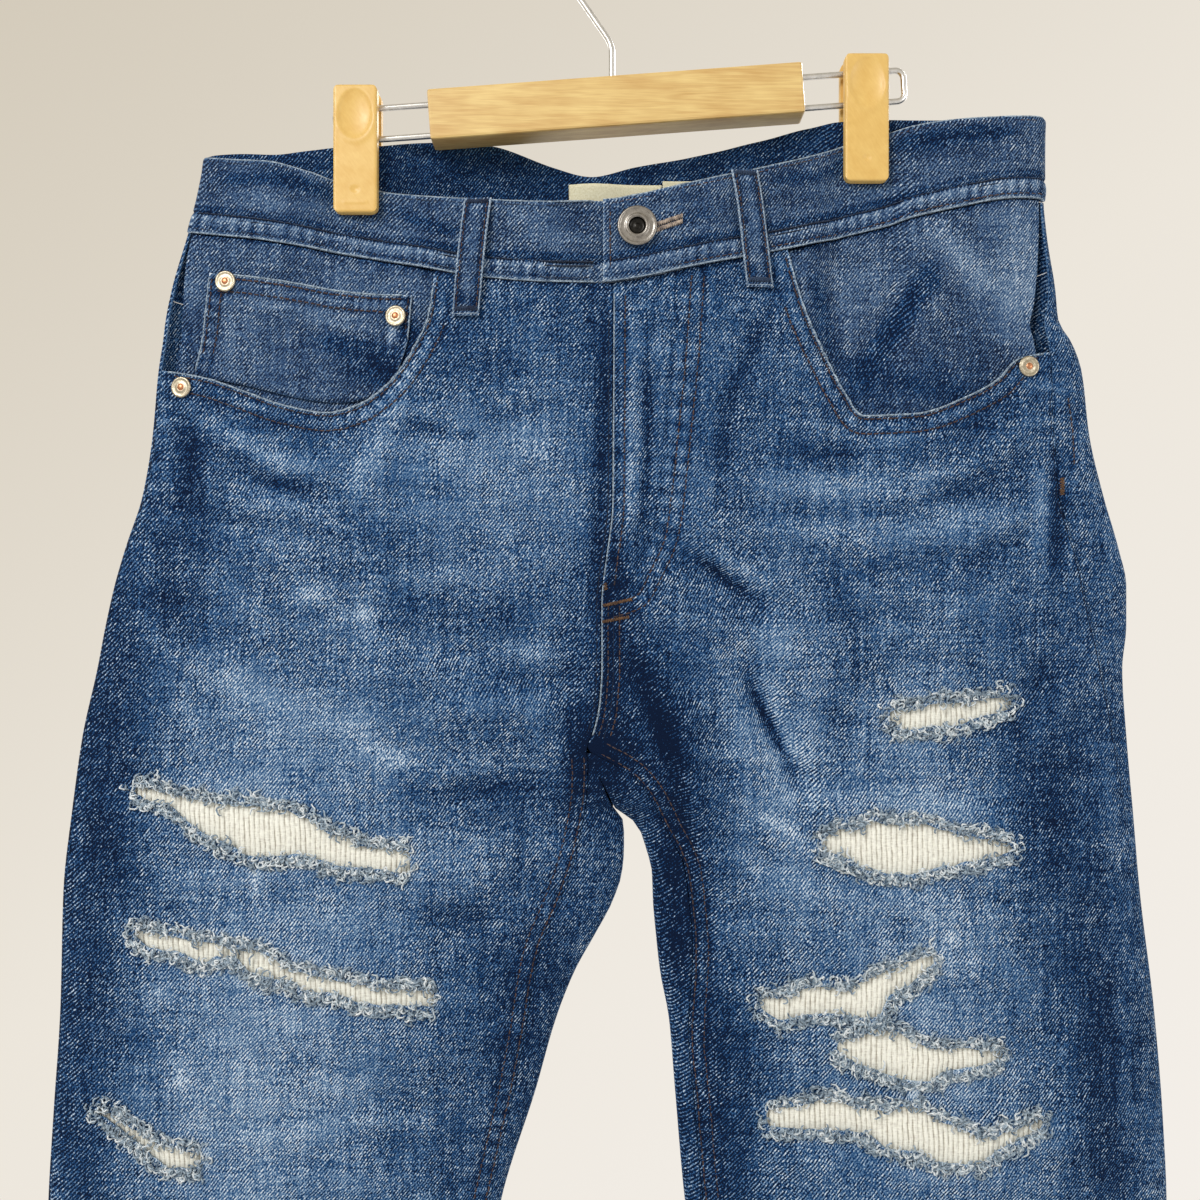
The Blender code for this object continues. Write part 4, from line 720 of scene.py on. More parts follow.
# Fades and whiskers, with painted shade: the crotch's shadow, dark lines down the creases, the shadow beside
# the fly's edge, and darker cloth under the waistband and the pocket edges.
FRONT_FADES_AND_SHADE: tuple[Stroke | Bloom, ...] = (
    Bloom(-30, -275, 75, 34, 0.028),
    Stroke(((2, -300), (0, -340)), 6, -0.05),
    Bloom(-1, -418, 11, 24, -0.06),
    Stroke(((14, -350), (24, -385), (32, -415)), 13, -0.08),
    Bloom(68, -480, 24, 50, 0.02),
    Stroke(((30, -440), (33, -540)), 8, -0.05),
    Bloom(-30, -458, 14, 10, 0.06),
    Bloom(92, -431, 12, 9, 0.05),
    Bloom(68, -480, 26, 50, 0.028),
    Bloom(-78, -258, 22, 14, 0.035),
    Bloom(-165, -282, 24, 12, 0.022),
    Bloom(-150, -332, 16, 12, 0.05),
    Bloom(-90, -332, 14, 10, 0.04),
    Stroke(((-30, -325), (-32, -380), (-32, -455)), 12, 0.045),
    Bloom(-210, -432, 18, 11, 0.065),
    Bloom(-165, -432, 26, 10, 0.025),
    Bloom(-150, -518, 18, 18, 0.05),
    Bloom(-120, -582, 16, 12, 0.05),
    Bloom(60, -331, 14, 10, 0.045),
    Bloom(168, -376, 24, 9, 0.035),
    Bloom(80, -431, 16, 11, 0.05),
    Stroke(((90, -455), (92, -535)), 12, 0.04),
    Bloom(60, -506, 12, 12, 0.04),
    Stroke(((28, -448), (32, -535)), 9, -0.075),
    Stroke(((2, -300), (0, -350)), 7, -0.04),
    Stroke(((2, -395), (4, -440)), 10, -0.05),
    Stroke(((8, -346), (20, -380), (29, -412)), 11, -0.055),
    Stroke(((-16, -402), (-18, -425), (-22, -450)), 5, -0.07),
    Stroke(((63, -372), (76, -398), (91, -422)), 1.8, -0.10),
    Stroke(((36, -311), (56, -326), (78, -339)), 1.9, -0.08),
    Bloom(-60, -395, 30, 60, 0.015),
    Stroke(((1, -298), (0, -325), (-2, -350)), 13.0, -0.10),
    Bloom(-2, -418, 20, 26, -0.12),
    Stroke(((27, -388), (31, -440), (32, -490), (40, -545)), 12.0, -0.11),
    Bloom(60, -580, 14, 60, -0.04),
    Bloom(-30, -518, 14, 26, -0.06),
    Bloom(120, -374, 15, 44, -0.09),
    Bloom(152, -392, 14, 20, 0.09),
    Bloom(209, -465, 15, 52, -0.09),
    Bloom(242, -560, 14, 80, -0.05),
    Bloom(-212, -300, 14, 66, -0.07),
    Bloom(-241, -410, 15, 70, -0.06),
    Stroke(((-130, -452), (-90, -459), (-35, -456)), 11.0, 0.08),
    Bloom(-195, -512, 26, 12, 0.06),
    Bloom(-60, -205, 34, 24, -0.04),
    Bloom(150, -245, 60, 26, -0.04),
    Stroke(((43, -317), (56, -327), (71, -339)), 2.6, -0.17),
    Stroke(((66, -372), (75, -393), (86, -417), (94, -438)), 2.6, -0.17),
    Stroke(((18, -388), (27, -403), (36, -418)), 4.0, -0.12),
    Stroke(((50, -312), (62, -320), (76, -328)), 3.0, 0.07),
    Stroke(((76, -376), (84, -396), (95, -418)), 3.4, 0.08),
    Bloom(-65, -285, 62, 45, 0.085),
    Bloom(-165, -385, 55, 42, 0.085),
    Bloom(-170, -430, 60, 40, 0.06),
    Bloom(-180, -555, 58, 110, 0.16),
    Bloom(-110, -520, 40, 90, 0.05),
    Bloom(-255, -400, 18, 110, -0.10),
    Bloom(-264, -560, 20, 130, -0.09),
    Bloom(-50, -560, 30, 120, -0.09),
    Bloom(-6, -400, 22, 55, -0.12),
    Bloom(-8, -250, 10, 70, -0.06),
    Bloom(95, -400, 36, 60, 0.10),
    Bloom(120, -290, 60, 26, 0.05),
    Bloom(150, -420, 36, 60, 0.08),
    Bloom(150, -540, 58, 110, 0.12),
    Bloom(40, -440, 16, 50, -0.13),
    Bloom(50, -590, 18, 90, -0.11),
    Bloom(222, -410, 20, 60, -0.10),
    Bloom(242, -560, 18, 110, -0.13),
    Bloom(-185, -740, 52, 110, 0.13),
    Bloom(165, -740, 52, 110, 0.12),
    Bloom(-180, -960, 60, 130, 0.05),
    Bloom(175, -960, 60, 130, 0.05),
    Stroke(((-218, -235), (-190, -255), (-160, -268), (-145, -272)), 5.5, 0.10),
    Stroke(((-190, -275), (-170, -285), (-150, -292), (-140, -296)), 4.5, 0.07),
    Stroke(((-88, -195), (-110, -250), (-125, -280), (-145, -298)), 6.0, 0.08),
    Stroke(((-205, -295), (-180, -303), (-160, -308), (-130, -312)), 6.5, 0.09),
    Stroke(((-210, -320), (-185, -335), (-172, -348)), 6.0, 0.07),
    Stroke(((-200, -244), (-175, -250), (-150, -250)), 5.0, -0.07),
    Stroke(((-195, -262), (-165, -280), (-130, -285)), 4.5, -0.08),
    Stroke(((-215, -290), (-185, -298), (-155, -305)), 4.5, -0.07),
    Stroke(((-210, -250), (-208, -290)), 7.0, -0.09),
    Stroke(((-235, -330), (-212, -350)), 8.0, -0.09),
    Bloom(-65, -275, 16, 10, 0.05),
    Bloom(-40, -256, 14, 12, 0.05),
    Stroke(((-105, -248), (-82, -256), (-58, -258)), 3.5, -0.07),
    Stroke(((-100, -280), (-78, -284), (-55, -285)), 3.5, -0.05),
    Stroke(((-125, -302), (-108, -308), (-90, -312)), 5.0, -0.06),
    Stroke(((-110, -342), (-65, -344), (-22, -340)), 6.5, -0.06),
    Stroke(((-110, -326), (-70, -324), (-35, -322)), 5.0, 0.04),
    Stroke(((-150, -356), (-90, -360), (-24, -362)), 6.0, 0.05),
    Stroke(((-4, -186), (-4.5, -260), (-8, -330)), 3.6, -0.13),
    Stroke(((9.5, -200), (9, -240), (8, -312)), 4.0, 0.07),
    Bloom(20, -215, 9, 9, 0.06),
    Bloom(23, -238, 6, 10, 0.05),
    Bloom(22, -192, 12, 5, 0.05),
    Stroke(((18, -200), (18, -250), (16, -290), (10, -318)), 2.4, -0.15),
    Stroke(((1.2, -196), (1.2, -250), (0.5, -322)), 1.5, -0.12),
    Stroke(((0, -340), (-2, -375), (-4, -400)), 5.0, -0.14),
    Stroke(((82, -184), (69, -212), (57, -238), (52, -290)), 4.0, -0.09),
    Stroke(((5, -352), (17, -384), (33, -424)), 5.0, -0.07),
    Bloom(-15, -411, 7, 17, -0.13),
    Bloom(2, -408, 10, 8, -0.10),
    Bloom(38, -285, 12, 14, 0.06),
    Stroke(((85, -250), (110, -255), (135, -257), (160, -253), (190, -236)), 4.0, 0.06),
    Bloom(100, -266, 26, 5, -0.06),
    Stroke(((75, -280), (120, -281), (150, -280), (195, -256)), 6.5, 0.09),
    Stroke(((130, -290), (165, -285), (205, -256)), 4.0, -0.07),
    Stroke(((90, -305), (145, -303), (200, -293), (215, -288)), 7.0, 0.08),
    Stroke(((150, -318), (180, -313), (206, -300)), 4.5, -0.07),
    Stroke(((115, -335), (150, -325), (205, -300)), 5.0, 0.05),
    Stroke(((110, -328), (110, -350)), 7.0, -0.06),
    Stroke(((108, -368), (110, -402), (108, -424)), 7.0, -0.08),
    Stroke(((120, -345), (155, -350), (190, -332)), 7.0, 0.06),
    Bloom(75, -323, 16, 6, 0.04),
    Bloom(84, -355, 14, 12, 0.05),
    Stroke(((220, -262), (221, -290), (219, -322)), 4.0, -0.14),
    Stroke(((211, -262), (212, -290), (210, -330)), 4.0, 0.06),
    Stroke(((-215, -365), (-165, -388), (-140, -395), (-115, -415), (-95, -415)), 7.0, 0.06),
    Stroke(((-95, -415), (-60, -416), (-30, -415)), 6.0, 0.05),
    Stroke(((-110, -365), (-70, -366), (-20, -367)), 4.5, 0.05),
    Stroke(((-52, -375), (-25, -374)), 4.0, -0.05),
    Stroke(((-92, -430), (-60, -432), (-25, -432)), 8.0, -0.06),
    Stroke(((-95, -470), (-50, -470)), 6.0, 0.05),
    Stroke(((-98, -490), (-60, -490)), 7.0, -0.07),
    Stroke(((-88, -512), (-60, -500), (-45, -485)), 6.0, 0.06),
    Stroke(((-68, -530), (-66, -630)), 6.0, 0.05),
    Bloom(-245, -478, 18, 9, -0.06),
    Bloom(-143, -490, 22, 7, 0.05),
    Bloom(-160, -545, 9, 8, 0.06),
    Bloom(-215, -570, 9, 9, 0.06),
    Bloom(-140, -578, 12, 6, 0.05),
    Bloom(-222, -530, 7, 8, 0.05),
    Bloom(-178, -526, 7, 7, 0.05),
    Stroke(((50, -360), (75, -356), (96, -362)), 7.0, 0.06),
    Stroke(((36, -412), (70, -413), (108, -412)), 7.0, 0.08),
    Stroke(((63, -440), (80, -446), (95, -455)), 5.0, 0.10),
    Stroke(((50, -460), (90, -475), (125, -485)), 6.0, 0.07),
    Bloom(160, -437, 26, 7, 0.07),
    Bloom(165, -495, 34, 22, 0.06),
    Bloom(196, -400, 12, 11, -0.08),
    Stroke(((215, -372), (225, -362), (236, -354)), 4.0, 0.06),
    Stroke(((204, -406), (214, -401), (226, -395)), 4.0, 0.05),
    Stroke(((215, -440), (228, -433), (241, -425)), 4.0, 0.06),
    Stroke(((246, -400), (249, -480), (254, -600)), 4.0, 0.07),
    Stroke(((-226, -700), (-180, -712), (-130, -700)), 9.0, 0.07),
    Stroke(((-220, -760), (-180, -748), (-135, -762)), 9.0, 0.07),
    Stroke(((110, -706), (160, -694), (215, -708)), 9.0, 0.07),
    Stroke(((115, -756), (165, -768), (218, -752)), 9.0, 0.07),
    Stroke(((-240, -1070), (-180, -1056), (-120, -1070)), 9.0, 0.08),
    Stroke(((110, -1064), (170, -1080), (235, -1062)), 9.0, 0.08),
)
BACK_FADES: tuple[Stroke | Bloom, ...] = (
    Bloom(-100, -330, 70, 70, 0.13),
    Bloom(104, -330, 70, 70, 0.13),
    Bloom(-170, -520, 60, 110, 0.08),
    Bloom(165, -520, 60, 110, 0.08),
    Bloom(-175, -660, 60, 70, 0.06),
    Bloom(165, -660, 60, 70, 0.06),
    Bloom(2, -330, 16, 110, -0.08),
    Bloom(-262, -480, 16, 240, -0.08),
    Bloom(250, -480, 16, 240, -0.08),
    Stroke(((-240, -612), (-180, -632), (-100, -626)), 8.0, 0.10),
    Stroke(((-245, -662), (-180, -672), (-96, -662)), 8.0, 0.11),
    Stroke(((-240, -706), (-170, -700), (-100, -712)), 8.0, 0.09),
    Stroke(((66, -620), (150, -634), (240, -626)), 8.0, 0.10),
    Stroke(((70, -668), (150, -660), (240, -672)), 8.0, 0.11),
    Stroke(((80, -708), (160, -716), (238, -704)), 8.0, 0.09),
    Stroke(((-14, -352), (-60, -372), (-130, -382)), 8.0, 0.08),
    Stroke(((16, -356), (66, -378), (140, -380)), 8.0, 0.08),
    Stroke(((-240, -1070), (-180, -1056), (-120, -1070)), 9.0, 0.08),
    Stroke(((110, -1064), (170, -1080), (235, -1062)), 9.0, 0.08),
)
SCUFFS: tuple[Stroke | Bloom, ...] = (
    Bloom(-150, -600, 75, 110, 0.30),
    Bloom(165, -575, 75, 110, 0.30),
    Bloom(110, -395, 45, 40, 0.22),
    Bloom(-150, -400, 70, 45, 0.16),
    Bloom(-148, -334, 12, 7, 1.0),
    Bloom(-126, -344, 13, 8, 1.0),
    Stroke(((-213, -372), (-210, -388), (-208, -408)), 5.0, 0.65),
    Stroke(((-142, -390), (-128, -400), (-110, -412), (-92, -420)), 7.0, 0.55),
    Bloom(-105, -416, 16, 6, 0.4),
    Stroke(((64, -437), (80, -446), (99, -457)), 4.5, 0.7),
    Stroke(((-174, -466), (-175, -486)), 3.5, 1.0),
    Bloom(-227, -536, 14, 9, 0.5),
    Bloom(-213, -573, 7, 9, 0.8),
    Bloom(-204, -592, 8, 5, 0.4),
    Stroke(((143, -473), (146, -492)), 2.6, 0.8),
    Bloom(167, -504, 5, 6, 0.8),
    Stroke(((148, -571), (150, -585)), 3.0, 1.1),
    Bloom(-93, -631, 8, 4, 0.8),
    Bloom(-205, -1120, 24, 10, 0.4),
    Bloom(190, -1118, 20, 10, 0.4),
)


# ---------------------------------------------------------------- the surface all cloth follows
class Form:
    """The flattened hip ring and the two flattened leg tubes that every sewn piece lies on."""

    def centre(self, side: Side, z: float | Array) -> Array:
        """x of the seam between the two halves, on the front or the back."""
        return (CENTRE_FRONT if side == Side.FRONT else CENTRE_BACK).read("x", z)

    def outer_edge(self, leg: Leg, z: float | Array) -> Array:
        """x of the outline."""
        return OUTLINE.read(leg.value, z)

    def inner_edge(self, side: Side, leg: Leg, z: float | Array) -> Array:
        """x of a leg's inner edge, and above the fork the middle seam."""
        return np.where(np.asarray(z) > FORK_Z, self.centre(side, z), INNER_EDGE.read(leg.value, z))

    def outseam(self, leg: Leg, z: float | Array) -> Array:
        """x of the side seam, which lies a little inside the outline on the front."""
        return self.outer_edge(leg, z) + leg.inward * OUTSEAM.read(leg.value, z)

    def fold_height(self, x: Array, z: Array) -> Array:
        """Height of the large folds above the smooth front surface."""
        total = np.zeros(np.broadcast(x, z).shape)
        for row in range(len(FOLDS.key)):
            x0, z0, x1, z1, width, height = (float(column[row]) for column in FOLDS.columns.values())
            length2 = (x1 - x0) ** 2 + (z1 - z0) ** 2
            near = np.clip(((x - x0) * (x1 - x0) + (z - z0) * (z1 - z0)) / length2, 0, 1)
            off2 = (x - x0 - near * (x1 - x0)) ** 2 + (z - z0 - near * (z1 - z0)) ** 2
            total = total + height * np.exp(-off2 / width**2)
        return total

    def body_depth(self, side: Side, leg: Leg, x: Array, z: Array) -> Array:
        """Depth of the hip ring, and below the fork of the leg tube.

        Args:
            side: Front or back.
            leg: Which half.
            x: Places across.
            z: Places down.

        Returns:
            The distance from the middle plane to the cloth, with its folds and creases.
        """
        left, right = self.outer_edge(Leg.LEFT, z), self.outer_edge(Leg.RIGHT, z)
        inner = self.inner_edge(side, leg, z)
        low, high = (left, inner) if leg is Leg.LEFT else (inner, right)
        whole = lens((2 * x - left - right) / (right - left))
        single = lens(np.clip((2 * x - low - high) / (high - low), -1, 1))
        pinch = np.clip((SPLIT_Z - z) / (SPLIT_Z - FORK_Z), 0, 1)
        share = 1 - np.sqrt(1 - pinch**2)
        profile = (1 - share) * whole + share * single
        depth = DEPTH.read("front" if side == Side.FRONT else "back", z)
        if side == Side.FRONT:
            folds = self.fold_height(x, z)
            fine = marks(FRONT_CREASES, x, z) + 0.3 * ripple(x, z, 34, 3) + 0.3 * wash_lines(x, z)
        else:
            folds = 0.6 * self.fold_height(-x, z + 20) * ease((-430 - z) / 60)
            fine = marks(BACK_CREASES, x, z) + 0.4 * ripple(x, z, 38, 7) + 0.3 * wash_lines(x, z)
        return profile * (depth + folds + fine)

    def band_x(self, x: Array, z: Array) -> Array:
        """The waistband's own x for a place: the same across the middle, drawn in towards the sides."""
        x, z = np.asarray(x, float), np.asarray(z, float)
        low, high = BAND_ENDS
        left_edge, right_edge = self.outer_edge(Leg.LEFT, z), self.outer_edge(Leg.RIGHT, z)
        left = -BAND_PLAIN + (x + BAND_PLAIN) * (low + BAND_PLAIN) / (left_edge + BAND_PLAIN)
        right = BAND_PLAIN + (x - BAND_PLAIN) * (high - BAND_PLAIN) / (right_edge - BAND_PLAIN)
        return np.clip(np.where(x < -BAND_PLAIN, left, np.where(x > BAND_PLAIN, right, x)), low, high)

    def real_x(self, x: Array, z: Array) -> Array:
        """The place across the garment of the waistband's own x."""
        x, z = np.asarray(x, float), np.asarray(z, float)
        low, high = BAND_ENDS
        left_share = (self.outer_edge(Leg.LEFT, z) + BAND_PLAIN) / (low + BAND_PLAIN)
        right_share = (self.outer_edge(Leg.RIGHT, z) - BAND_PLAIN) / (high - BAND_PLAIN)
        left, right = -BAND_PLAIN + (x + BAND_PLAIN) * left_share, BAND_PLAIN + (x - BAND_PLAIN) * right_share
        return np.where(x < -BAND_PLAIN, left, np.where(x > BAND_PLAIN, right, x))

    def cloth_y(self, side: Side, leg: Leg, x: Array, z: Array) -> Array:
        """y of the middle of the cloth wall, waistband to hem.

        Args:
            side: Front or back.
            leg: Which half.
            x: Places across.
            z: Places down.

        Returns:
            The depth of each place, signed to its side.
        """
        x, z = np.asarray(x, float), np.asarray(z, float)
        x_band = self.band_x(x, z)
        table = band_table(side)
        top, seam = table.read("top", x_band), table.read("seam", x_band)
        down = np.clip((top - z) / (top - seam), 0, 1)
        y_top, y_mid, y_seam = (table.read(name, x_band) for name in ("y_top", "y_mid", "y_seam"))
        upper = y_top + (y_mid - y_top) * 2 * down
        band = np.where(down < 0.5, upper, y_mid + (y_seam - y_mid) * (2 * down - 1))
        lower = ease((seam - z) / (seam - HIP_Z))
        return int(side) * ((1 - lower) * band + lower * self.body_depth(side, leg, x, z))

    def points(self, side: Array | int, leg: Leg, x: Array, z: Array, out: float | Array = 0.0) -> Array:
        """Points of the cloth, moved out of the garment along its normal.

        Args:
            side: The side of each place.
            leg: Which half.
            x: Places across.
            z: Places down.
            out: How far out each point lies; a place on the middle plane isn't moved.

        Returns:
            Points in millimetres, with a last axis of three.
        """
        x, z = np.broadcast_arrays(np.asarray(x, float), np.asarray(z, float))
        side, out = np.broadcast_to(side, x.shape), np.broadcast_to(np.asarray(out, float), x.shape)
        found = joined(x, 0.0, z)
        step = 2.0
        for face in (Side.FRONT, Side.BACK):
            here = side == face
            if not here.any():
                continue
            px, pz = x[here], z[here]
            y = self.cloth_y(face, leg, px, pz)
            slope_x, slope_z = (
                (self.cloth_y(face, leg, px + dx, pz + dz) - self.cloth_y(face, leg, px - dx, pz - dz))
                / (2 * step)
                for dx, dz in ((step, 0), (0, step))
            )
            normal = unit(joined(-int(face) * slope_x, float(face), -int(face) * slope_z))
            found[here] = joined(px, y, pz) + out[here][:, None] * normal
        return found

    def seam_z(self, side: Side, x: float | Array) -> Array:
        """z of the waistband's lower seam."""
        table = band_table(side)
        z = table.read("seam", x)
        for _ in range(3):
            z = table.read("seam", self.band_x(x, z))
        return z


FORM = Form()


# ---------------------------------------------------------------- sewn seams and their wear
# The furrows' darkening is painted shade.
FURROW_WIDTH, FURROW_DARK = 1.3, 0.15
RIDGE_WIDTH, RIDGE_LIGHT = 2.2, 0.07  # of the cloth that stands up between two rows


@dataclass(frozen=True)
class SeamWearAndShade:
    """How stitching and wash show beside one sewn line: a worn edge, stitch furrows and puckers, with the
    furrows darkened as painted shade; a negative edge light paints a shadow along the line.
    """

    line: Line
    rows: tuple[float, ...] = ()
    edge_light: float = 0.25
    edge_width: float = 1.1
    furrow: float = 0.3
    pucker: float = 0.35
    pitch: float = 8.0
    light: float = 0.06
    reach: float = 7.0
    seed: int = 1

    def waves(self, along: Array) -> Array:
        """Uneven puckers along the seam, about -1 to 1."""
        drift = 1.9 * np.sin(along / 23.0 + self.seed) + 1.1 * np.sin(along / 9.7 + 2.3 * self.seed)
        strength = 0.65 + 0.35 * np.sin(along / 31.0 + 5.1 * self.seed)
        return strength * np.sin(math.tau * along / self.pitch + drift)

    def apply(self, x: Array, z: Array) -> tuple[Array, Array]:
        """The seam's relief and its change of dye, with painted shade in its furrows.

        Args:
            x: Places across.
            z: Places down.

        Returns:
            How far each place moves out, and how much lighter it is.
        """
        distance, along = measure(np.array(self.line, float), x, z, 3.2 * self.reach)
        near = hill(distance, 0, self.reach)
        wave = self.waves(along)
        out, light = self.pucker * near * wave, self.light * near * wave
        for row in self.rows:
            furrow = hill(distance, row, FURROW_WIDTH)
            out = out - self.furrow * furrow
            light = light - FURROW_DARK * furrow
        for low, high in zip(self.rows, self.rows[1:]):
            ridge = hill(distance, (low + high) / 2, RIDGE_WIDTH)
            light = light + RIDGE_LIGHT * ridge * (0.6 + 0.8 * wave)
        light = light + self.edge_light * hill(distance, 0, self.edge_width) * (0.75 + 0.25 * wave)
        return out, light


def seam_effects(seams: Sequence[SeamWearAndShade], x: Array, z: Array) -> tuple[Array, Array]:
    """The relief and dye change of several seams together.

    Args:
        seams: The seams.
        x: Places across.
        z: Places down.

    Returns:
        How far each place moves out, and how much lighter it is.
    """
    out, light = np.zeros(np.shape(x)), np.zeros(np.shape(x))
    for seam in seams:
        moved, lighter = seam.apply(x, z)
        out, light = out + moved, light + lighter
    return out, light


def run_lengths(places: Array) -> Array:
    """The length of the line from its start to each of its places."""
    return np.concatenate([[0], np.cumsum(np.hypot(*np.diff(places, axis=0).T))])


def sampled(line: Line | Array, step: float = 4.0) -> Array:
    """Evenly spaced places on a smooth curve through a line's points.

    Args:
        line: The points.
        step: About how far apart the places are.

    Returns:
        One (x, z) row for each place.
    """
    stops = np.array(line, float)
    lengths = run_lengths(stops)
    curves = Curves("at x z", *(tuple(row) for row in np.column_stack([lengths, stops])))
    at = np.linspace(0, lengths[-1], max(2, int(lengths[-1] / step) + 1))
    return joined(curves.read("x", at), curves.read("z", at))


def beside(line: Array, distance: float) -> Array:
    """A line moved sideways, to its left as it runs, by a distance."""
    along = unit(np.gradient(line, axis=0))
    return line + distance * joined(-along[:, 1], along[:, 0])


def spaced(length: float, step: float, low: bool = True, high: bool = True) -> Array:
    """Shares from 0 to 1 at an even step, closer together at sewn ends.

    Args:
        length: The whole width in millimetres.
        step: The plain step in millimetres.
        low: Whether the start is a sewn edge.
        high: Whether the end is a sewn edge.

    Returns:
        The shares, rising.
    """
    edge = (0.0, 0.6, 1.3, 2.3, 3.8)
    start = list(edge) if low else [0.0]
    end = [length - value for value in edge[::-1]] if high else [length]
    inside = np.linspace(start[-1], end[0], max(2, round((end[0] - start[-1]) / step) + 1))
    return np.concatenate([start[:-1], inside, end[1:]]) / length


def coons(top: Array, bottom: Array, low: Array, high: Array, across: Array, down: Array) -> Array:
    """A grid of (x, z) places between four boundary curves.

    Args:
        top: The first row.
        bottom: The last row.
        low: The first column.
        high: The last column.
        across: Each column's share.
        down: Each row's share.

    Returns:
        The grid, rows by columns by two.
    """
    s, t = across[None, :, None], down[:, None, None]
    ruled = (1 - t) * top[None] + t * bottom[None] + (1 - s) * low[:, None] + s * high[:, None]
    upper_corners = (1 - s) * (1 - t) * top[0] + s * (1 - t) * top[-1]
    return ruled - (upper_corners + (1 - s) * t * bottom[0] + s * t * bottom[-1])


def line_through(start: Sequence[float], end: Sequence[float], shares: Array, bend: Line = ()) -> Array:
    """Places at the given shares of a smooth curve from start to end through the bend places."""
    stops = np.array([start, *bend, end], float)
    place = np.linspace(0, 1, len(stops))
    curves = Curves("share x z", *(tuple(row) for row in np.column_stack([place, stops])))
    return joined(curves.read("x", shares), curves.read("z", shares))


# ---------------------------------------------------------------- node building
class Nodes:
    """A node tree under construction, with short ways to add and link its nodes."""

    def __init__(self, tree: bpy.types.NodeTree) -> None:
        """Keeps the tree."""
        self.tree = tree

    def add(self, kind: str, **settings: object) -> bpy.types.Node:
        """Adds a node and sets its properties."""
        node = self.tree.nodes.new("ShaderNode" + kind)
        for name, value in settings.items():
            setattr(node, name, value)
        return node

    def feed(self, socket: bpy.types.NodeSocket, value: object) -> None:
        """Links a socket into another, or sets a constant on it."""
        if isinstance(value, bpy.types.NodeSocket):
            self.tree.links.new(value, socket)
        else:
            socket.default_value = value

    def math(self, operation: str, *values: object, clamp: bool = False) -> bpy.types.NodeSocket:
        """The result of a Math node."""
        node = self.add("Math", operation=operation, use_clamp=clamp)
        for socket, value in zip(node.inputs, values):
            self.feed(socket, value)
        return node.outputs[0]

    def mapped(self, vector: object, scale: Sequence[float], turn_y: float = 0.0) -> bpy.types.NodeSocket:
        """Coordinates turned about Y, then scaled."""
        node = self.add("Mapping", vector_type="POINT")
        turned = self.add("VectorRotate", rotation_type="Y_AXIS")
        self.feed(turned.inputs["Vector"], vector)
        turned.inputs["Angle"].default_value = turn_y
        self.feed(node.inputs["Vector"], turned.outputs[0])
        node.inputs["Scale"].default_value = scale
        return node.outputs[0]

    def noise(self, vector: object, detail: float = 1.0) -> bpy.types.NodeSocket:
        """A noise value about 0.5."""
        node = self.add("TexNoise", noise_dimensions="3D")
        self.feed(node.inputs["Vector"], vector)
        node.inputs["Scale"].default_value = 1.0
        node.inputs["Detail"].default_value = detail
        return node.outputs["Fac"]

    def ramp(self, value: object, stops: Sequence[tuple[float, Colour]]) -> bpy.types.NodeSocket:
        """A colour read from a row of stops."""
        node = self.add("ValToRGB")
        self.feed(node.inputs["Fac"], value)
        elements = node.color_ramp.elements
        elements[0].position, elements[1].position = stops[0][0], stops[-1][0]
        elements[0].color, elements[1].color = (*stops[0][1], 1), (*stops[-1][1], 1)
        for position, colour in stops[1:-1]:
            elements.new(position).color = (*colour, 1)
        return node.outputs["Color"]

    def mix(self, factor: object, first: object, second: object, blend: str = "MIX") -> bpy.types.NodeSocket:
        """A mix of two colours."""
        node = self.add("Mix", data_type="RGBA", blend_type=blend)
        self.feed(node.inputs["Factor"], factor)
        self.feed(node.inputs[6], first)
        self.feed(node.inputs[7], second)
        return node.outputs[2]

    def relief(self, shader: bpy.types.Node, height: object, strength: float, distance: float) -> None:
        """Gives a shader a fine relief, at most the distance in metres high."""
        bump = self.add("Bump")
        bump.inputs["Strength"].default_value = strength
        bump.inputs["Distance"].default_value = distance
        self.feed(bump.inputs["Height"], height)
        self.feed(shader.inputs["Normal"], bump.outputs["Normal"])

    def yarns(self, place: object, scale: Sequence[float], detail: float) -> bpy.types.NodeSocket:
        """A noise value about 0, drawn out by the scale."""
        return self.math("SUBTRACT", self.noise(self.mapped(place, scale), detail=detail), 0.5)

    def object_millimetres(self) -> bpy.types.NodeSocket:
        """Object coordinates in millimetres."""
        place = self.add("TexCoord").outputs["Object"]
        node = self.add("VectorMath", operation="SCALE")
        self.feed(node.inputs[0], place)
        node.inputs["Scale"].default_value = 1000.0
        return node.outputs[0]


def shader_group(name: str, inputs: dict[str, float], outputs: dict[str, str]) -> tuple[Nodes, dict, dict]:
    """A new shader node group with its named sockets.

    Args:
        name: The group's name.
        inputs: Each input's name and plain value.
        outputs: Each output's name and socket kind.

    Returns:
        The group's tree, its input sockets inside, and its output sockets inside.
    """
    tree = bpy.data.node_groups.new(name, "ShaderNodeTree")
    for label, value in inputs.items():
        socket = tree.interface.new_socket(label, in_out="INPUT", socket_type="NodeSocketFloat")
        socket.default_value = value
    for label, kind in outputs.items():
        tree.interface.new_socket(label, in_out="OUTPUT", socket_type=kind)
    nodes = Nodes(tree)
    start, end = tree.nodes.new("NodeGroupInput"), tree.nodes.new("NodeGroupOutput")
    return nodes, {s.name: s for s in start.outputs}, {s.name: s for s in end.inputs}


WALE_ACROSS, WALE_UP = 1.75, 2.15


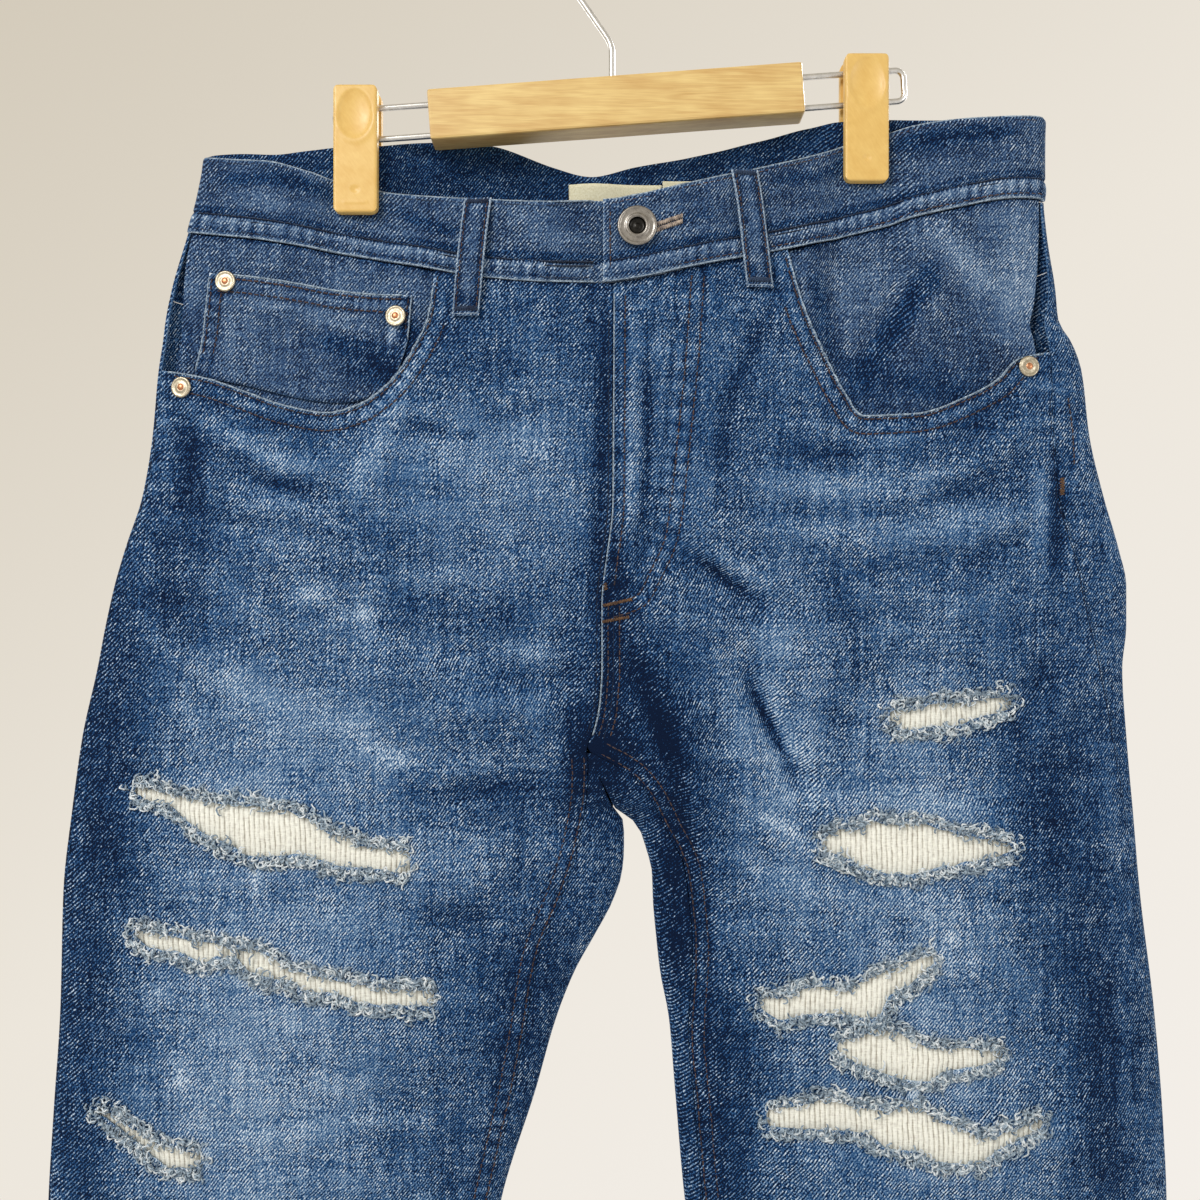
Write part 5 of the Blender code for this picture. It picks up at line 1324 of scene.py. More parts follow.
def weave_group() -> bpy.types.NodeTree:
    """Slub denim: steep right-hand twill lines, thick and thin warp and weft yarns, and loose flecks."""
    nodes, given, wanted = shader_group(
        "slub_twill", {"Slub": 1.0}, {"Thread": "NodeSocketFloat", "Height": "NodeSocketFloat"}
    )
    place = nodes.object_millimetres()
    parted = nodes.add("SeparateXYZ")
    nodes.feed(parted.inputs[0], place)
    across = nodes.math("ADD", parted.outputs["X"], parted.outputs["Y"])
    drift = nodes.noise(nodes.mapped(place, (0.13, 0.13, 0.09)), detail=1.0)
    phase = nodes.math("MULTIPLY_ADD", across, math.tau / WALE_ACROSS, nodes.math("MULTIPLY", drift, 5.0))
    phase = nodes.math("MULTIPLY_ADD", parted.outputs["Z"], -math.tau / WALE_UP, phase)
    tick = nodes.noise(nodes.mapped(place, (0.75, 0.6, 0.6)), detail=0.0)
    reach = nodes.math("MULTIPLY_ADD", tick, 3.6, -0.75)
    wale = nodes.math("MULTIPLY", nodes.math("SINE", phase), reach)
    fleck = nodes.yarns(place, (1.6, 1.2, 1.35), 0.0)
    warp = nodes.yarns(place, (0.8, 0.6, 0.04), 1.0)
    weft = nodes.yarns(place, (0.045, 0.3, 0.8), 1.0)
    lines = nodes.math("MULTIPLY_ADD", wale, 0.85, nodes.math("MULTIPLY", fleck, 3.6))
    slubs = nodes.math("MULTIPLY_ADD", warp, 1.3, nodes.math("MULTIPLY", weft, 1.1))
    slubs = nodes.math("MULTIPLY", slubs, given["Slub"])
    thread = nodes.math("ADD", lines, slubs)
    thread = nodes.math("MULTIPLY_ADD", nodes.math("MULTIPLY", thread, thread), 0.14, thread)
    thread = nodes.math("SUBTRACT", thread, 0.24)
    nodes.feed(wanted["Thread"], thread)
    nodes.feed(wanted["Height"], nodes.math("MULTIPLY_ADD", thread, 0.25, 0.5))
    return nodes.tree


INDIGO_STOPS = (
    (0.04, (0.001, 0.007, 0.028)),
    (0.144, (0.003, 0.020, 0.070)),
    (0.207, (0.005, 0.038, 0.122)),
    (0.267, (0.013, 0.063, 0.172)),
    (0.338, (0.034, 0.102, 0.228)),
    (0.424, (0.078, 0.161, 0.296)),
    (0.525, (0.153, 0.251, 0.382)),
    (0.647, (0.291, 0.396, 0.516)),
    (0.778, (0.480, 0.592, 0.704)),
    (0.92, (0.76, 0.82, 0.87)),
)


def indigo_group() -> bpy.types.NodeTree:
    """Washed indigo: the dye's level, its yarns and its white scuffs make one colour."""
    nodes, given, wanted = shader_group(
        "washed_indigo",
        {"Dye": 0.34, "Thread": 0.0, "Contrast": 0.2, "Scuff": 0.0},
        {"Color": "NodeSocketColor"},
    )
    place = nodes.object_millimetres()
    bands = nodes.yarns(place, (0.09, 0.05, 0.014), 2.0)
    streaks = nodes.yarns(place, (0.018, 0.03, 0.10), 2.0)
    level = nodes.math("MULTIPLY_ADD", bands, 0.13, given["Dye"])
    level = nodes.math("MULTIPLY_ADD", streaks, 0.15, level)
    rough = nodes.noise(nodes.mapped(place, (0.05, 0.05, 0.045)), detail=2.0)
    depth = nodes.math("MULTIPLY", given["Contrast"], nodes.math("MULTIPLY_ADD", rough, 1.1, 0.45))
    level = nodes.math("MULTIPLY_ADD", given["Thread"], depth, level)
    nap = nodes.noise(nodes.mapped(place, (1.6, 1.0, 0.8)), detail=1.5)
    bare = nodes.math("MULTIPLY_ADD", given["Scuff"], 0.26, nap)
    bare = nodes.math("MULTIPLY", nodes.math("SUBTRACT", bare, 0.66), 5.0, clamp=True)
    level = nodes.math("MULTIPLY_ADD", bare, 0.36, level)
    nodes.feed(wanted["Color"], nodes.ramp(level, INDIGO_STOPS))
    return nodes.tree


def grain_group() -> bpy.types.NodeTree:
    """Long wavy wood grain with fine pores along X."""
    outputs = {"Grain": "NodeSocketFloat", "Height": "NodeSocketFloat"}
    nodes, _, wanted = shader_group("wood_grain", {}, outputs)
    place = nodes.object_millimetres()
    figure = nodes.noise(nodes.mapped(place, (0.012, 0.16, 0.2)), detail=3.0)
    rings = nodes.math("SINE", nodes.math("MULTIPLY", figure, 34.0))
    pores = nodes.noise(nodes.mapped(place, (0.09, 1.9, 2.2)), detail=2.0)
    blotch = nodes.yarns(place, (0.045, 0.09, 0.09), 2.0)
    grain = nodes.math("MULTIPLY", rings, 0.16)
    grain = nodes.math("MULTIPLY_ADD", nodes.math("SUBTRACT", pores, 0.5), 0.9, grain)
    grain = nodes.math("MULTIPLY_ADD", blotch, 1.1, grain)
    nodes.feed(wanted["Grain"], nodes.math("ADD", grain, 0.5, clamp=True))
    nodes.feed(wanted["Height"], pores)
    return nodes.tree


def patina_group() -> bpy.types.NodeTree:
    """Uneven tarnish, fine scratches and dust, for metal and plastic."""
    nodes, given, wanted = shader_group(
        "patina", {"Size": 1.0, "Scratches": 1.0}, {"Mask": "NodeSocketFloat", "Height": "NodeSocketFloat"}
    )
    place = nodes.object_millimetres()
    scaled = nodes.add("VectorMath", operation="SCALE")
    nodes.feed(scaled.inputs[0], place)
    nodes.feed(scaled.inputs["Scale"], given["Size"])
    broad = nodes.noise(nodes.mapped(scaled.outputs[0], (0.3, 0.3, 0.3)), detail=4.0)
    fine = nodes.noise(nodes.mapped(scaled.outputs[0], (2.4, 2.4, 0.5), 0.6), detail=2.0)
    fine = nodes.math("MULTIPLY", nodes.math("SUBTRACT", fine, 0.5), given["Scratches"])
    nodes.feed(wanted["Mask"], nodes.math("ADD", broad, fine, clamp=True))
    nodes.feed(wanted["Height"], nodes.math("ADD", nodes.math("MULTIPLY", broad, 0.3), fine))
    return nodes.tree


class Effects:
    """The shader groups, each built once."""

    built: ClassVar[dict[str, bpy.types.NodeTree]] = {}
    makers: ClassVar[dict[str, Callable[[], bpy.types.NodeTree]]] = {
        "weave": weave_group,
        "indigo": indigo_group,
        "grain": grain_group,
        "patina": patina_group,
    }

    @classmethod
    def place(cls, nodes: Nodes, name: str, **values: object) -> dict[str, bpy.types.NodeSocket]:
        """Places a group in a material with its own values.

        Args:
            nodes: The material's tree.
            name: The group's short name.
            **values: A constant or a socket for each input, by its name in lower case.

        Returns:
            The group's output sockets by name.
        """
        if name not in cls.built:
            cls.built[name] = cls.makers[name]()
        node = nodes.add("Group", node_tree=cls.built[name])
        for label, value in values.items():
            nodes.feed(node.inputs[label.capitalize()], value)
        return {socket.name: socket for socket in node.outputs}


# ---------------------------------------------------------------- finishes
def blank_material(name: str) -> tuple[bpy.types.Material, Nodes, bpy.types.Node]:
    """A new material, its tree and its Principled shader."""
    made = bpy.data.materials.new(name)
    made.use_nodes = True
    return made, Nodes(made.node_tree), made.node_tree.nodes["Principled BSDF"]


@dataclass(frozen=True)
class DenimFinish:
    """Washed slub denim, read from the cloth's own dye and scuff values; the dye values also carry painted
    shade and light.
    """

    name: str
    contrast: float = 0.25
    lift: float = 0.0
    slub: float = 1.0
    saturation: float = 1.0
    value: float = 1.0
    sheen: float = 0.05
    sheen_tint: tuple[float, ...] = (0.35, 0.55, 0.9, 1)
    roughness: float = 0.88
    specular: float = 0.12
    darkest: float = 0.17
    washed: float = 0.26
    bump: float = 0.00022

    def make(self) -> bpy.types.Material:
        """Builds the material."""
        made, nodes, shader = blank_material(self.name)
        dye = nodes.add("Attribute", attribute_name="dye").outputs["Fac"]
        scuff = nodes.add("Attribute", attribute_name="scuff").outputs["Fac"]
        weave = Effects.place(nodes, "weave", slub=self.slub)
        level = nodes.math("ADD", dye, self.lift)
        indigo = Effects.place(
            nodes, "indigo", dye=level, thread=weave["Thread"], contrast=self.contrast, scuff=scuff
        )
        worn = nodes.add("HueSaturation")
        share = nodes.add("MapRange")
        share.inputs["From Min"].default_value = self.darkest
        share.inputs["From Max"].default_value = self.washed
        nodes.feed(share.inputs["Value"], dye)
        nodes.feed(worn.inputs["Fac"], share.outputs["Result"])
        worn.inputs["Saturation"].default_value = self.saturation
        worn.inputs["Value"].default_value = self.value
        nodes.feed(worn.inputs["Color"], indigo["Color"])
        nodes.feed(shader.inputs["Base Color"], worn.outputs["Color"])
        shader.inputs["Roughness"].default_value = self.roughness
        shader.inputs["Specular IOR Level"].default_value = self.specular
        shader.inputs["Sheen Weight"].default_value = self.sheen
        shader.inputs["Sheen Roughness"].default_value = 0.5
        shader.inputs["Sheen Tint"].default_value = self.sheen_tint
        nodes.relief(shader, weave["Height"], 0.75, self.bump)
        return made


@dataclass(frozen=True)
class YarnFinish:
    """Spun yarn or thread, with lighter and darker lengths."""

    name: str
    dark: Colour
    light: Colour
    fleck: float = 0.8
    roughness: float = 0.8

    def make(self) -> bpy.types.Material:
        """Builds the material."""
        made, nodes, shader = blank_material(self.name)
        place = nodes.object_millimetres()
        tone = nodes.yarns(place, (self.fleck, self.fleck, self.fleck), 2.0)
        tone = nodes.math("MULTIPLY_ADD", tone, 2.4, 0.5, clamp=True)
        nodes.feed(shader.inputs["Base Color"], nodes.mix(tone, (*self.dark, 1), (*self.light, 1)))
        shader.inputs["Roughness"].default_value = self.roughness
        shader.inputs["Specular IOR Level"].default_value = 0.3
        shader.inputs["Sheen Weight"].default_value = 0.1
        return made


@dataclass(frozen=True)
class RibFinish:
    """Ivory ribbed backing cloth: fine weft lines across the ribs and painted shade in the gaps between them.
    """

    name: str
    colour: Colour = (1.0, 0.97, 0.84)
    shade: Colour = (0.40, 0.35, 0.27)

    def make(self) -> bpy.types.Material:
        """Builds the material."""
        made, nodes, shader = blank_material(self.name)
        # gap paints shade into the gaps between the ribs.
        gap = nodes.add("Attribute", attribute_name="gap").outputs["Fac"]
        place = nodes.object_millimetres()
        weft = nodes.math("MULTIPLY", nodes.yarns(place, (0.3, 0.5, 1.5), 2.0), 0.8)
        lines = nodes.math("ADD", weft, nodes.yarns(place, (1.6, 0.5, 0.3), 2.0))
        tone = nodes.math("MULTIPLY_ADD", lines, 1.2, gap)
        tone = nodes.math("ADD", tone, 0.05, clamp=True)
        nodes.feed(shader.inputs["Base Color"], nodes.mix(tone, (*self.colour, 1), (*self.shade, 1)))
        shader.inputs["Roughness"].default_value = 0.9
        shader.inputs["Sheen Weight"].default_value = 0.1
        nodes.relief(shader, nodes.math("MULTIPLY", lines, -1.0), 0.6, 0.0003)
        return made


@dataclass(frozen=True)
class WoodFinish:
    """Clear-lacquered pale wood with long grain and fine pores."""

    name: str
    pale: Colour = (0.86, 0.62, 0.24)
    deep: Colour = (0.62, 0.36, 0.11)

    def make(self) -> bpy.types.Material:
        """Builds the material."""
        made, nodes, shader = blank_material(self.name)
        grain = Effects.place(nodes, "grain")
        colour = nodes.mix(grain["Grain"], (*self.deep, 1), (*self.pale, 1))
        nodes.feed(shader.inputs["Base Color"], colour)
        shader.inputs["Roughness"].default_value = 0.42
        shader.inputs["Coat Weight"].default_value = 0.25
        shader.inputs["Coat Roughness"].default_value = 0.25
        nodes.relief(shader, grain["Height"], 0.35, 0.0001)
        return made


@dataclass(frozen=True)
class HardFinish:
    """Metal or moulded plastic with an uneven, lightly scratched surface."""

    name: str
    clean: Colour
    worn: Colour
    metallic: float
    roughness: tuple[float, float]
    size: float = 1.0
    scratches: float = 0.6
    bump: float = 0.00005

    def make(self) -> bpy.types.Material:
        """Builds the material."""
        made, nodes, shader = blank_material(self.name)
        patina = Effects.place(nodes, "patina", size=self.size, scratches=self.scratches)
        mask = nodes.math("MULTIPLY_ADD", nodes.math("SUBTRACT", patina["Mask"], 0.5), 2.0, 0.5, clamp=True)
        nodes.feed(shader.inputs["Base Color"], nodes.mix(mask, (*self.clean, 1), (*self.worn, 1)))
        low, high = self.roughness
        nodes.feed(shader.inputs["Roughness"], nodes.math("MULTIPLY_ADD", mask, high - low, low))
        shader.inputs["Metallic"].default_value = self.metallic
        nodes.relief(shader, patina["Height"], 0.4, self.bump)
        return made


class Finish(Enum):
    """Every finish of the garment and its hanger."""

    DENIM = DenimFinish("washed_denim")
    DENIM_BAND = DenimFinish("washed_band_denim", contrast=0.21, slub=0.7, saturation=0.88, value=0.90)
    DENIM_SMALL = DenimFinish("washed_pocket_denim", contrast=0.21, saturation=0.88, value=0.93)
    RAW_EDGE = DenimFinish("denim_worn_edge", contrast=0.14, lift=0.12)
    RIBBED = RibFinish("ivory_rib")
    FRAY = YarnFinish("frayed_weft", (0.03, 0.07, 0.12), (0.52, 0.62, 0.69), fleck=0.55)
    FRAY_WHITE = YarnFinish("frayed_white", (0.42, 0.50, 0.54), (0.98, 0.99, 0.97), fleck=0.5)
    WORN_FOLD = YarnFinish("worn_fold", (0.025, 0.065, 0.13), (0.56, 0.67, 0.75), fleck=1.0)
    # Near-black yarn laid along seams and grooves as painted shade.
    PAINTED_CREVICE_SHADE = YarnFinish("painted_crevice_shade_yarn", (0.001, 0.004, 0.013), (0.006, 0.016, 0.045), fleck=0.5)
    RUST_THREAD = YarnFinish("rust_thread", (0.028, 0.02, 0.024), (0.118, 0.064, 0.046), fleck=0.12)
    HOLE_THREAD = YarnFinish("buttonhole_thread", (0.16, 0.13, 0.12), (0.66, 0.52, 0.40), fleck=0.5)
    ORANGE_THREAD = YarnFinish("orange_thread", (0.055, 0.03, 0.02), (0.22, 0.11, 0.045), fleck=0.3)
    NAVY_THREAD = YarnFinish("navy_thread", (0.008, 0.016, 0.045), (0.04, 0.07, 0.13), fleck=0.2)
    TAPE = YarnFinish("woven_tape", (0.72, 0.66, 0.43), (0.88, 0.83, 0.61), fleck=1.4)
    PEWTER = HardFinish("button_pewter", (0.34, 0.32, 0.29), (0.15, 0.135, 0.12), 1.0, (0.28, 0.5), size=2.2)
    NICKEL = HardFinish("rivet_nickel", (0.50, 0.45, 0.35), (0.27, 0.23, 0.16), 1.0, (0.34, 0.52), size=2.5)
    COPPER = HardFinish("rivet_copper", (0.60, 0.27, 0.13), (0.38, 0.18, 0.10), 1.0, (0.3, 0.5), size=2.0)
    SOCKET = HardFinish("dark_socket", (0.035, 0.033, 0.03), (0.01, 0.01, 0.01), 1.0, (0.2, 0.45), size=2.0)
    CHROME = HardFinish("wire_chrome", (0.74, 0.73, 0.71), (0.52, 0.51, 0.49), 1.0, (0.26, 0.4), size=1.2)
    PLASTIC = HardFinish("clip_plastic", (0.84, 0.55, 0.17), (0.76, 0.46, 0.12), 0.0, (0.34, 0.48), size=0.5)
    MAPLE = WoodFinish("bar_maple")

    def material(self) -> bpy.types.Material:
        """The finish's material, made once."""
        return bpy.data.materials.get(self.value.name) or self.value.make()


# ---------------------------------------------------------------- meshes
def add_object(name: str, data: bpy.types.ID, *finishes: Finish) -> bpy.types.Object:
    """A scene object for a mesh, lamp or camera, with its finishes."""
    made = bpy.data.objects.new(name, data)
    bpy.context.scene.collection.objects.link(made)
    for finish in finishes:
        data.materials.append(finish.material())
    return made


def new_mesh(
    name: str, points: Array, faces: Sequence[Sequence[int]], sharp: float | None = None
) -> bpy.types.Mesh:
    """A smooth mesh.

    Args:
        name: The mesh's name.
        points: The corners in millimetres.
        faces: The corner numbers of each face.
        sharp: Edges steeper than this many degrees stay sharp; without it none do.

    Returns:
        The mesh, in metres.
    """
    mesh = bpy.data.meshes.new(name)
    mesh.from_pydata((points * MM).tolist(), [], faces)
    mesh.shade_smooth()
    if sharp is not None:
        mesh.set_sharp_from_angle(angle=math.radians(sharp))
    return mesh


def grid_quads(index: Array) -> Array:
    """The faces between neighbours of a grid of point numbers."""
    return joined(index[:-1, :-1], index[1:, :-1], index[1:, 1:], index[:-1, 1:]).reshape(-1, 4)


def tube_quads(index: Array) -> Array:
    """The faces round tubes, for point numbers whose last two axes run along and around each tube."""
    around = np.roll(index, -1, axis=-1)
    along, next_along = index[..., :-1, :], index[..., 1:, :]
    return joined(along, around[..., :-1, :], around[..., 1:, :], next_along).reshape(-1, 4)


def set_values(mesh: bpy.types.Mesh, name: str, values: Array) -> None:
    """Writes one value for each point of a mesh."""
    attribute = mesh.attributes.new(name, "FLOAT", "POINT")
    attribute.data.foreach_set("value", np.asarray(values, np.float32))


class Cloth:
    """The middle surface of one sewn piece, made of point grids that are merged where they meet."""

    def __init__(self, names: tuple[str, str] = ("dye", "scuff")) -> None:
        """Starts with nothing.

        Args:
            names: What the two values kept at each point are called.
        """
        self.names = names
        self.points: list[Array] = []
        self.values: list[Array] = []
        self.faces: list[tuple[int, ...]] = []
        self.count = 0

    def add_grid(
        self,
        points: Array,
        dye: Array,
        scuff: Array | float = 0.0,
        turn: bool = False,
        hole: Array | None = None,
    ) -> None:
        """Adds a grid of points, wound so that its faces look out of the garment.

        Args:
            points: Rows by columns by three, in millimetres.
            dye: How light each point is.
            scuff: How scuffed each point is.
            turn: Whether the grid is wound the other way.
            hole: Above zero inside a hole; the grid is cut along its zero line.
        """
        rows, columns = points.shape[:2]
        values = joined(dye, scuff).reshape(-1, 2)
        flat_points = points.reshape(-1, 3)
        quads = grid_quads(np.arange(rows * columns).reshape(rows, columns))
        if turn:
            quads = quads[:, ::-1]
        faces = [tuple(quad) for quad in quads.tolist()]
        if hole is not None:
            flat_points, values, faces = self.cut(flat_points, values, quads, hole.reshape(-1))
        self.faces += [tuple(corner + self.count for corner in face) for face in faces]
        self.points.append(flat_points)
        self.values.append(values)
        self.count += len(flat_points)

    def cut(self, points: Array, values: Array, quads: Array, hole: Array) -> tuple[Array, Array, list]:
        """Cuts holes along the zero line of a field.

        Args:
            points: The grid's points.
            values: Their values.
            quads: The grid's faces.
            hole: The field at each point, above zero inside a hole.

        Returns:
            The points and values with those on the holes' edges, and the faces that are left.
        """
        inside = hole > 0
        count = inside[quads].sum(axis=1)
        faces = [tuple(quad) for quad in quads[count == 0].tolist()]
        made: dict[tuple[int, int], int] = {}
        new_points, new_values = [], []

        def crossing(a: int, b: int) -> int:
            """The point where the hole's edge crosses the grid line from a to b."""
            key = (min(a, b), max(a, b))
            if key not in made:
                t = float(np.clip(hole[key[0]] / (hole[key[0]] - hole[key[1]]), 0.1, 0.9))
                made[key] = len(points) + len(new_points)
                new_points.append(points[key[0]] * (1 - t) + points[key[1]] * t)
                new_values.append(values[key[0]] * (1 - t) + values[key[1]] * t)
            return made[key]

        for quad in quads[(count > 0) & (count < 4)].tolist():
            ring = []
            for a, b in zip(quad, quad[1:] + quad[:1]):
                if not inside[a]:
                    ring.append(a)
                if inside[a] != inside[b]:
                    ring.append(crossing(a, b))
            if len(ring) > 2:
                faces.append(tuple(ring))
        if new_points:
            points, values = np.vstack([points, new_points]), np.vstack([values, new_values])
        return points, values, faces

    def mesh(self, name: str) -> bpy.types.Mesh:
        """The merged middle surface, in metres."""
        points, values = np.vstack(self.points), np.vstack(self.values)
        _, first, inverse = np.unique(np.round(points * 200), axis=0, return_index=True, return_inverse=True)
        inverse = inverse.reshape(-1)
        used = np.zeros(len(first), bool)
        faces = []
        for face in self.faces:
            corners = [int(inverse[corner]) for corner in face]
            ring = [corner for n, corner in enumerate(corners) if corner != corners[n - 1]]
            if len(set(ring)) == len(ring) > 2:
                faces.append(ring)
                used[ring] = True
        order = np.cumsum(used) - 1
        corners = [[int(order[corner]) for corner in face] for face in faces]
        mesh = new_mesh(name, points[first][used], corners)
        for column, label in enumerate(self.names):
            set_values(mesh, label, values[first][used][:, column])
        return mesh

    def build(self, name: str, wall: float, finish: Finish, rim: Finish | None = None) -> bpy.types.Object:
        """The piece as an object: a closed wall, half on each side of the middle surface.

        Args:
            name: The object's name.
            wall: The cloth's thickness in millimetres.
            finish: The faces' finish.
            rim: The cut edges' finish, or None for the same.

        Returns:
            The object.
        """
        mesh = self.mesh(name)
        made = add_object(name, mesh, finish, rim or finish)
        solid = made.modifiers.new("wall", "SOLIDIFY")
        solid.thickness = wall * MM
        solid.offset = 0
        solid.material_offset_rim = 1
        return made


class Strands:
    """Many thin round strands, joined in one mesh."""

    def __init__(self, sides: int = 4) -> None:
        """Starts with nothing."""
        self.sides = sides
        self.points: list[Array] = []
        self.faces: list[Array] = []
        self.caps: list[list[int]] = []
        self.count = 0

    def add(self, paths: Array, radii: Array) -> None:
        """Adds strands of the same number of points.

        Args:
            paths: Strands by points by three, in millimetres.
            radii: Strands by points, or points, in millimetres.
        """
        strands, length = paths.shape[:2]
        if not strands:
            return
        radii = np.broadcast_to(radii, (strands, length))
        along = np.gradient(paths, axis=1)
        along /= np.linalg.norm(along, axis=-1, keepdims=True) + 1e-9
        side = np.cross(along, np.array([0.13, -0.95, 0.21]))
        side /= np.linalg.norm(side, axis=-1, keepdims=True) + 1e-9
        up = np.cross(side, along)
        angles = math.tau * (np.arange(self.sides) + 0.5) / self.sides
        ring = np.cos(angles)[:, None] * side[..., None, :] + np.sin(angles)[:, None] * up[..., None, :]
        points = paths[..., None, :] + radii[..., None, None] * ring
        index = self.count + np.arange(strands * length * self.sides).reshape(strands, length, self.sides)
        self.faces.append(tube_quads(index))
        self.caps += index[:, 0, ::-1].tolist() + index[:, -1].tolist()
        self.points.append(points.reshape(-1, 3))
        self.count += strands * length * self.sides

    def build(self, name: str, finish: Finish) -> bpy.types.Object:
        """The strands as one object, shaded smooth."""
        faces = np.concatenate(self.faces).tolist() + self.caps
        return add_object(name, new_mesh(name, np.vstack(self.points), faces), finish)


# ---------------------------------------------------------------- sewn pieces
# How much crease ridges lighten and troughs darken the cloth: partly faded denim, partly painted light and
# shade.
CREASE_FADE_AND_SHADE = 0.05
CLOTH_WALL = DENIM - 0.1
PANEL_FOOT = HEM_Z + HEM_HEIGHT + SEAM_GAP
POCKET_ROWS = (1.9, 9.2)
INSEAM_ROWS = (1.8, 7.6)
FLY_ROWS = (0.0, 6.2)
FLY_EDGE_ROW = 5.8
FLY_FOOT_ROWS = (3.4, 9.0)
SEAT_ROWS = (1.8, 7.8)
SEAT_SPLIT = 14  # place of the seat line where the yoke ends
COIN_TOP_ROWS = (2.0, 8.3)
COIN_SIDE_ROWS = (1.6, 7.0)
PATCH_ROWS = (1.7, 7.8)
PATCH_TOP_ROWS = (2.0, 12.0)
FLY_CURVE: Line = (
    (38.7, -178), (35.7, -220.7), (32.8, -251), (28.8, -288),
    (26.4, -304.6), (18.5, -323.3), (12.2, -334.5), (-4, -340.4),
)


class Dye:
    """How light the cloth is before wear at its seams: its fades and painted shade, with crease ridges
    lighter and troughs darker, partly as faded denim and partly as painted light and shade.
    """

    def at(self, side: Array | int, x: Array, z: Array) -> Array:
        """The level of the dye, with its painted shade and light, at each place of the front or the back."""
        behind = np.broadcast_to(side, np.shape(x)) == Side.BACK
        front, back = (BASE_DYE + FADE_AND_SHADE_DEPTH * marks(fades_and_shade, x, z) for fades_and_shade in (FRONT_FADES_AND_SHADE, BACK_FADES))
        creases = np.where(behind, marks(BACK_CREASES, x, z), marks(FRONT_CREASES, x, z))
        wash = 0.028 * wash_lines(x, z) + 0.016 * ripple(x, 0.2 * z, 12, 73)
        return np.where(behind, back, front) + CREASE_FADE_AND_SHADE * creases + wash


DYE_AND_SHADE = Dye()


def dress(made: bpy.types.Object, slot: str, *nodes: str) -> bpy.types.Object:
    """Puts a piece on the garment's body, in place of its solids.

    Args:
        made: The piece.
        slot: The record's material slot.
        *nodes: The solids that it stands for.

    Returns:
        The same piece.
    """
    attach(made, "root")
    if nodes:
        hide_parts(*nodes)
    LOG.info("%s: %d faces, slot %s", made.name, len(getattr(made.data, "polygons", ())), slot)
    return made


class Sewn:
    """What every sewn piece shares: how its cloth becomes a piece with its stitches, and the size of its cut.
    """

    cut: tuple[float, float]

    def stitches(self) -> list[bpy.types.Object]:
        """The stitches and loose yarn that lie on the piece; a plain piece has none."""
        return []

    def sew(
        self,
        cloth: Cloth,
        name: str,
        solid: str,
        rests_on: Sequence[str],
        wall: float = CLOTH_WALL,
        finishes: tuple[Finish, ...] = (Finish.DENIM, Finish.RAW_EDGE),
        slot: str = "denim",
    ) -> bpy.types.Object:
        """Makes the piece from its cloth and sews it.

        Args:
            cloth: The middle surface.
            name: The piece's name.
            solid: The solid that it stands for.
            rests_on: The pieces that hold it; not used.
            wall: The cloth's thickness in millimetres.
            finishes: The faces' finish, and that of the cut edges if it is another.
            slot: The record's material slot.

        Returns:
            The piece.
        """
        made = dress(cloth.build(name, wall, *finishes), slot, solid)
        self.cut
        self.stitches()
        return made


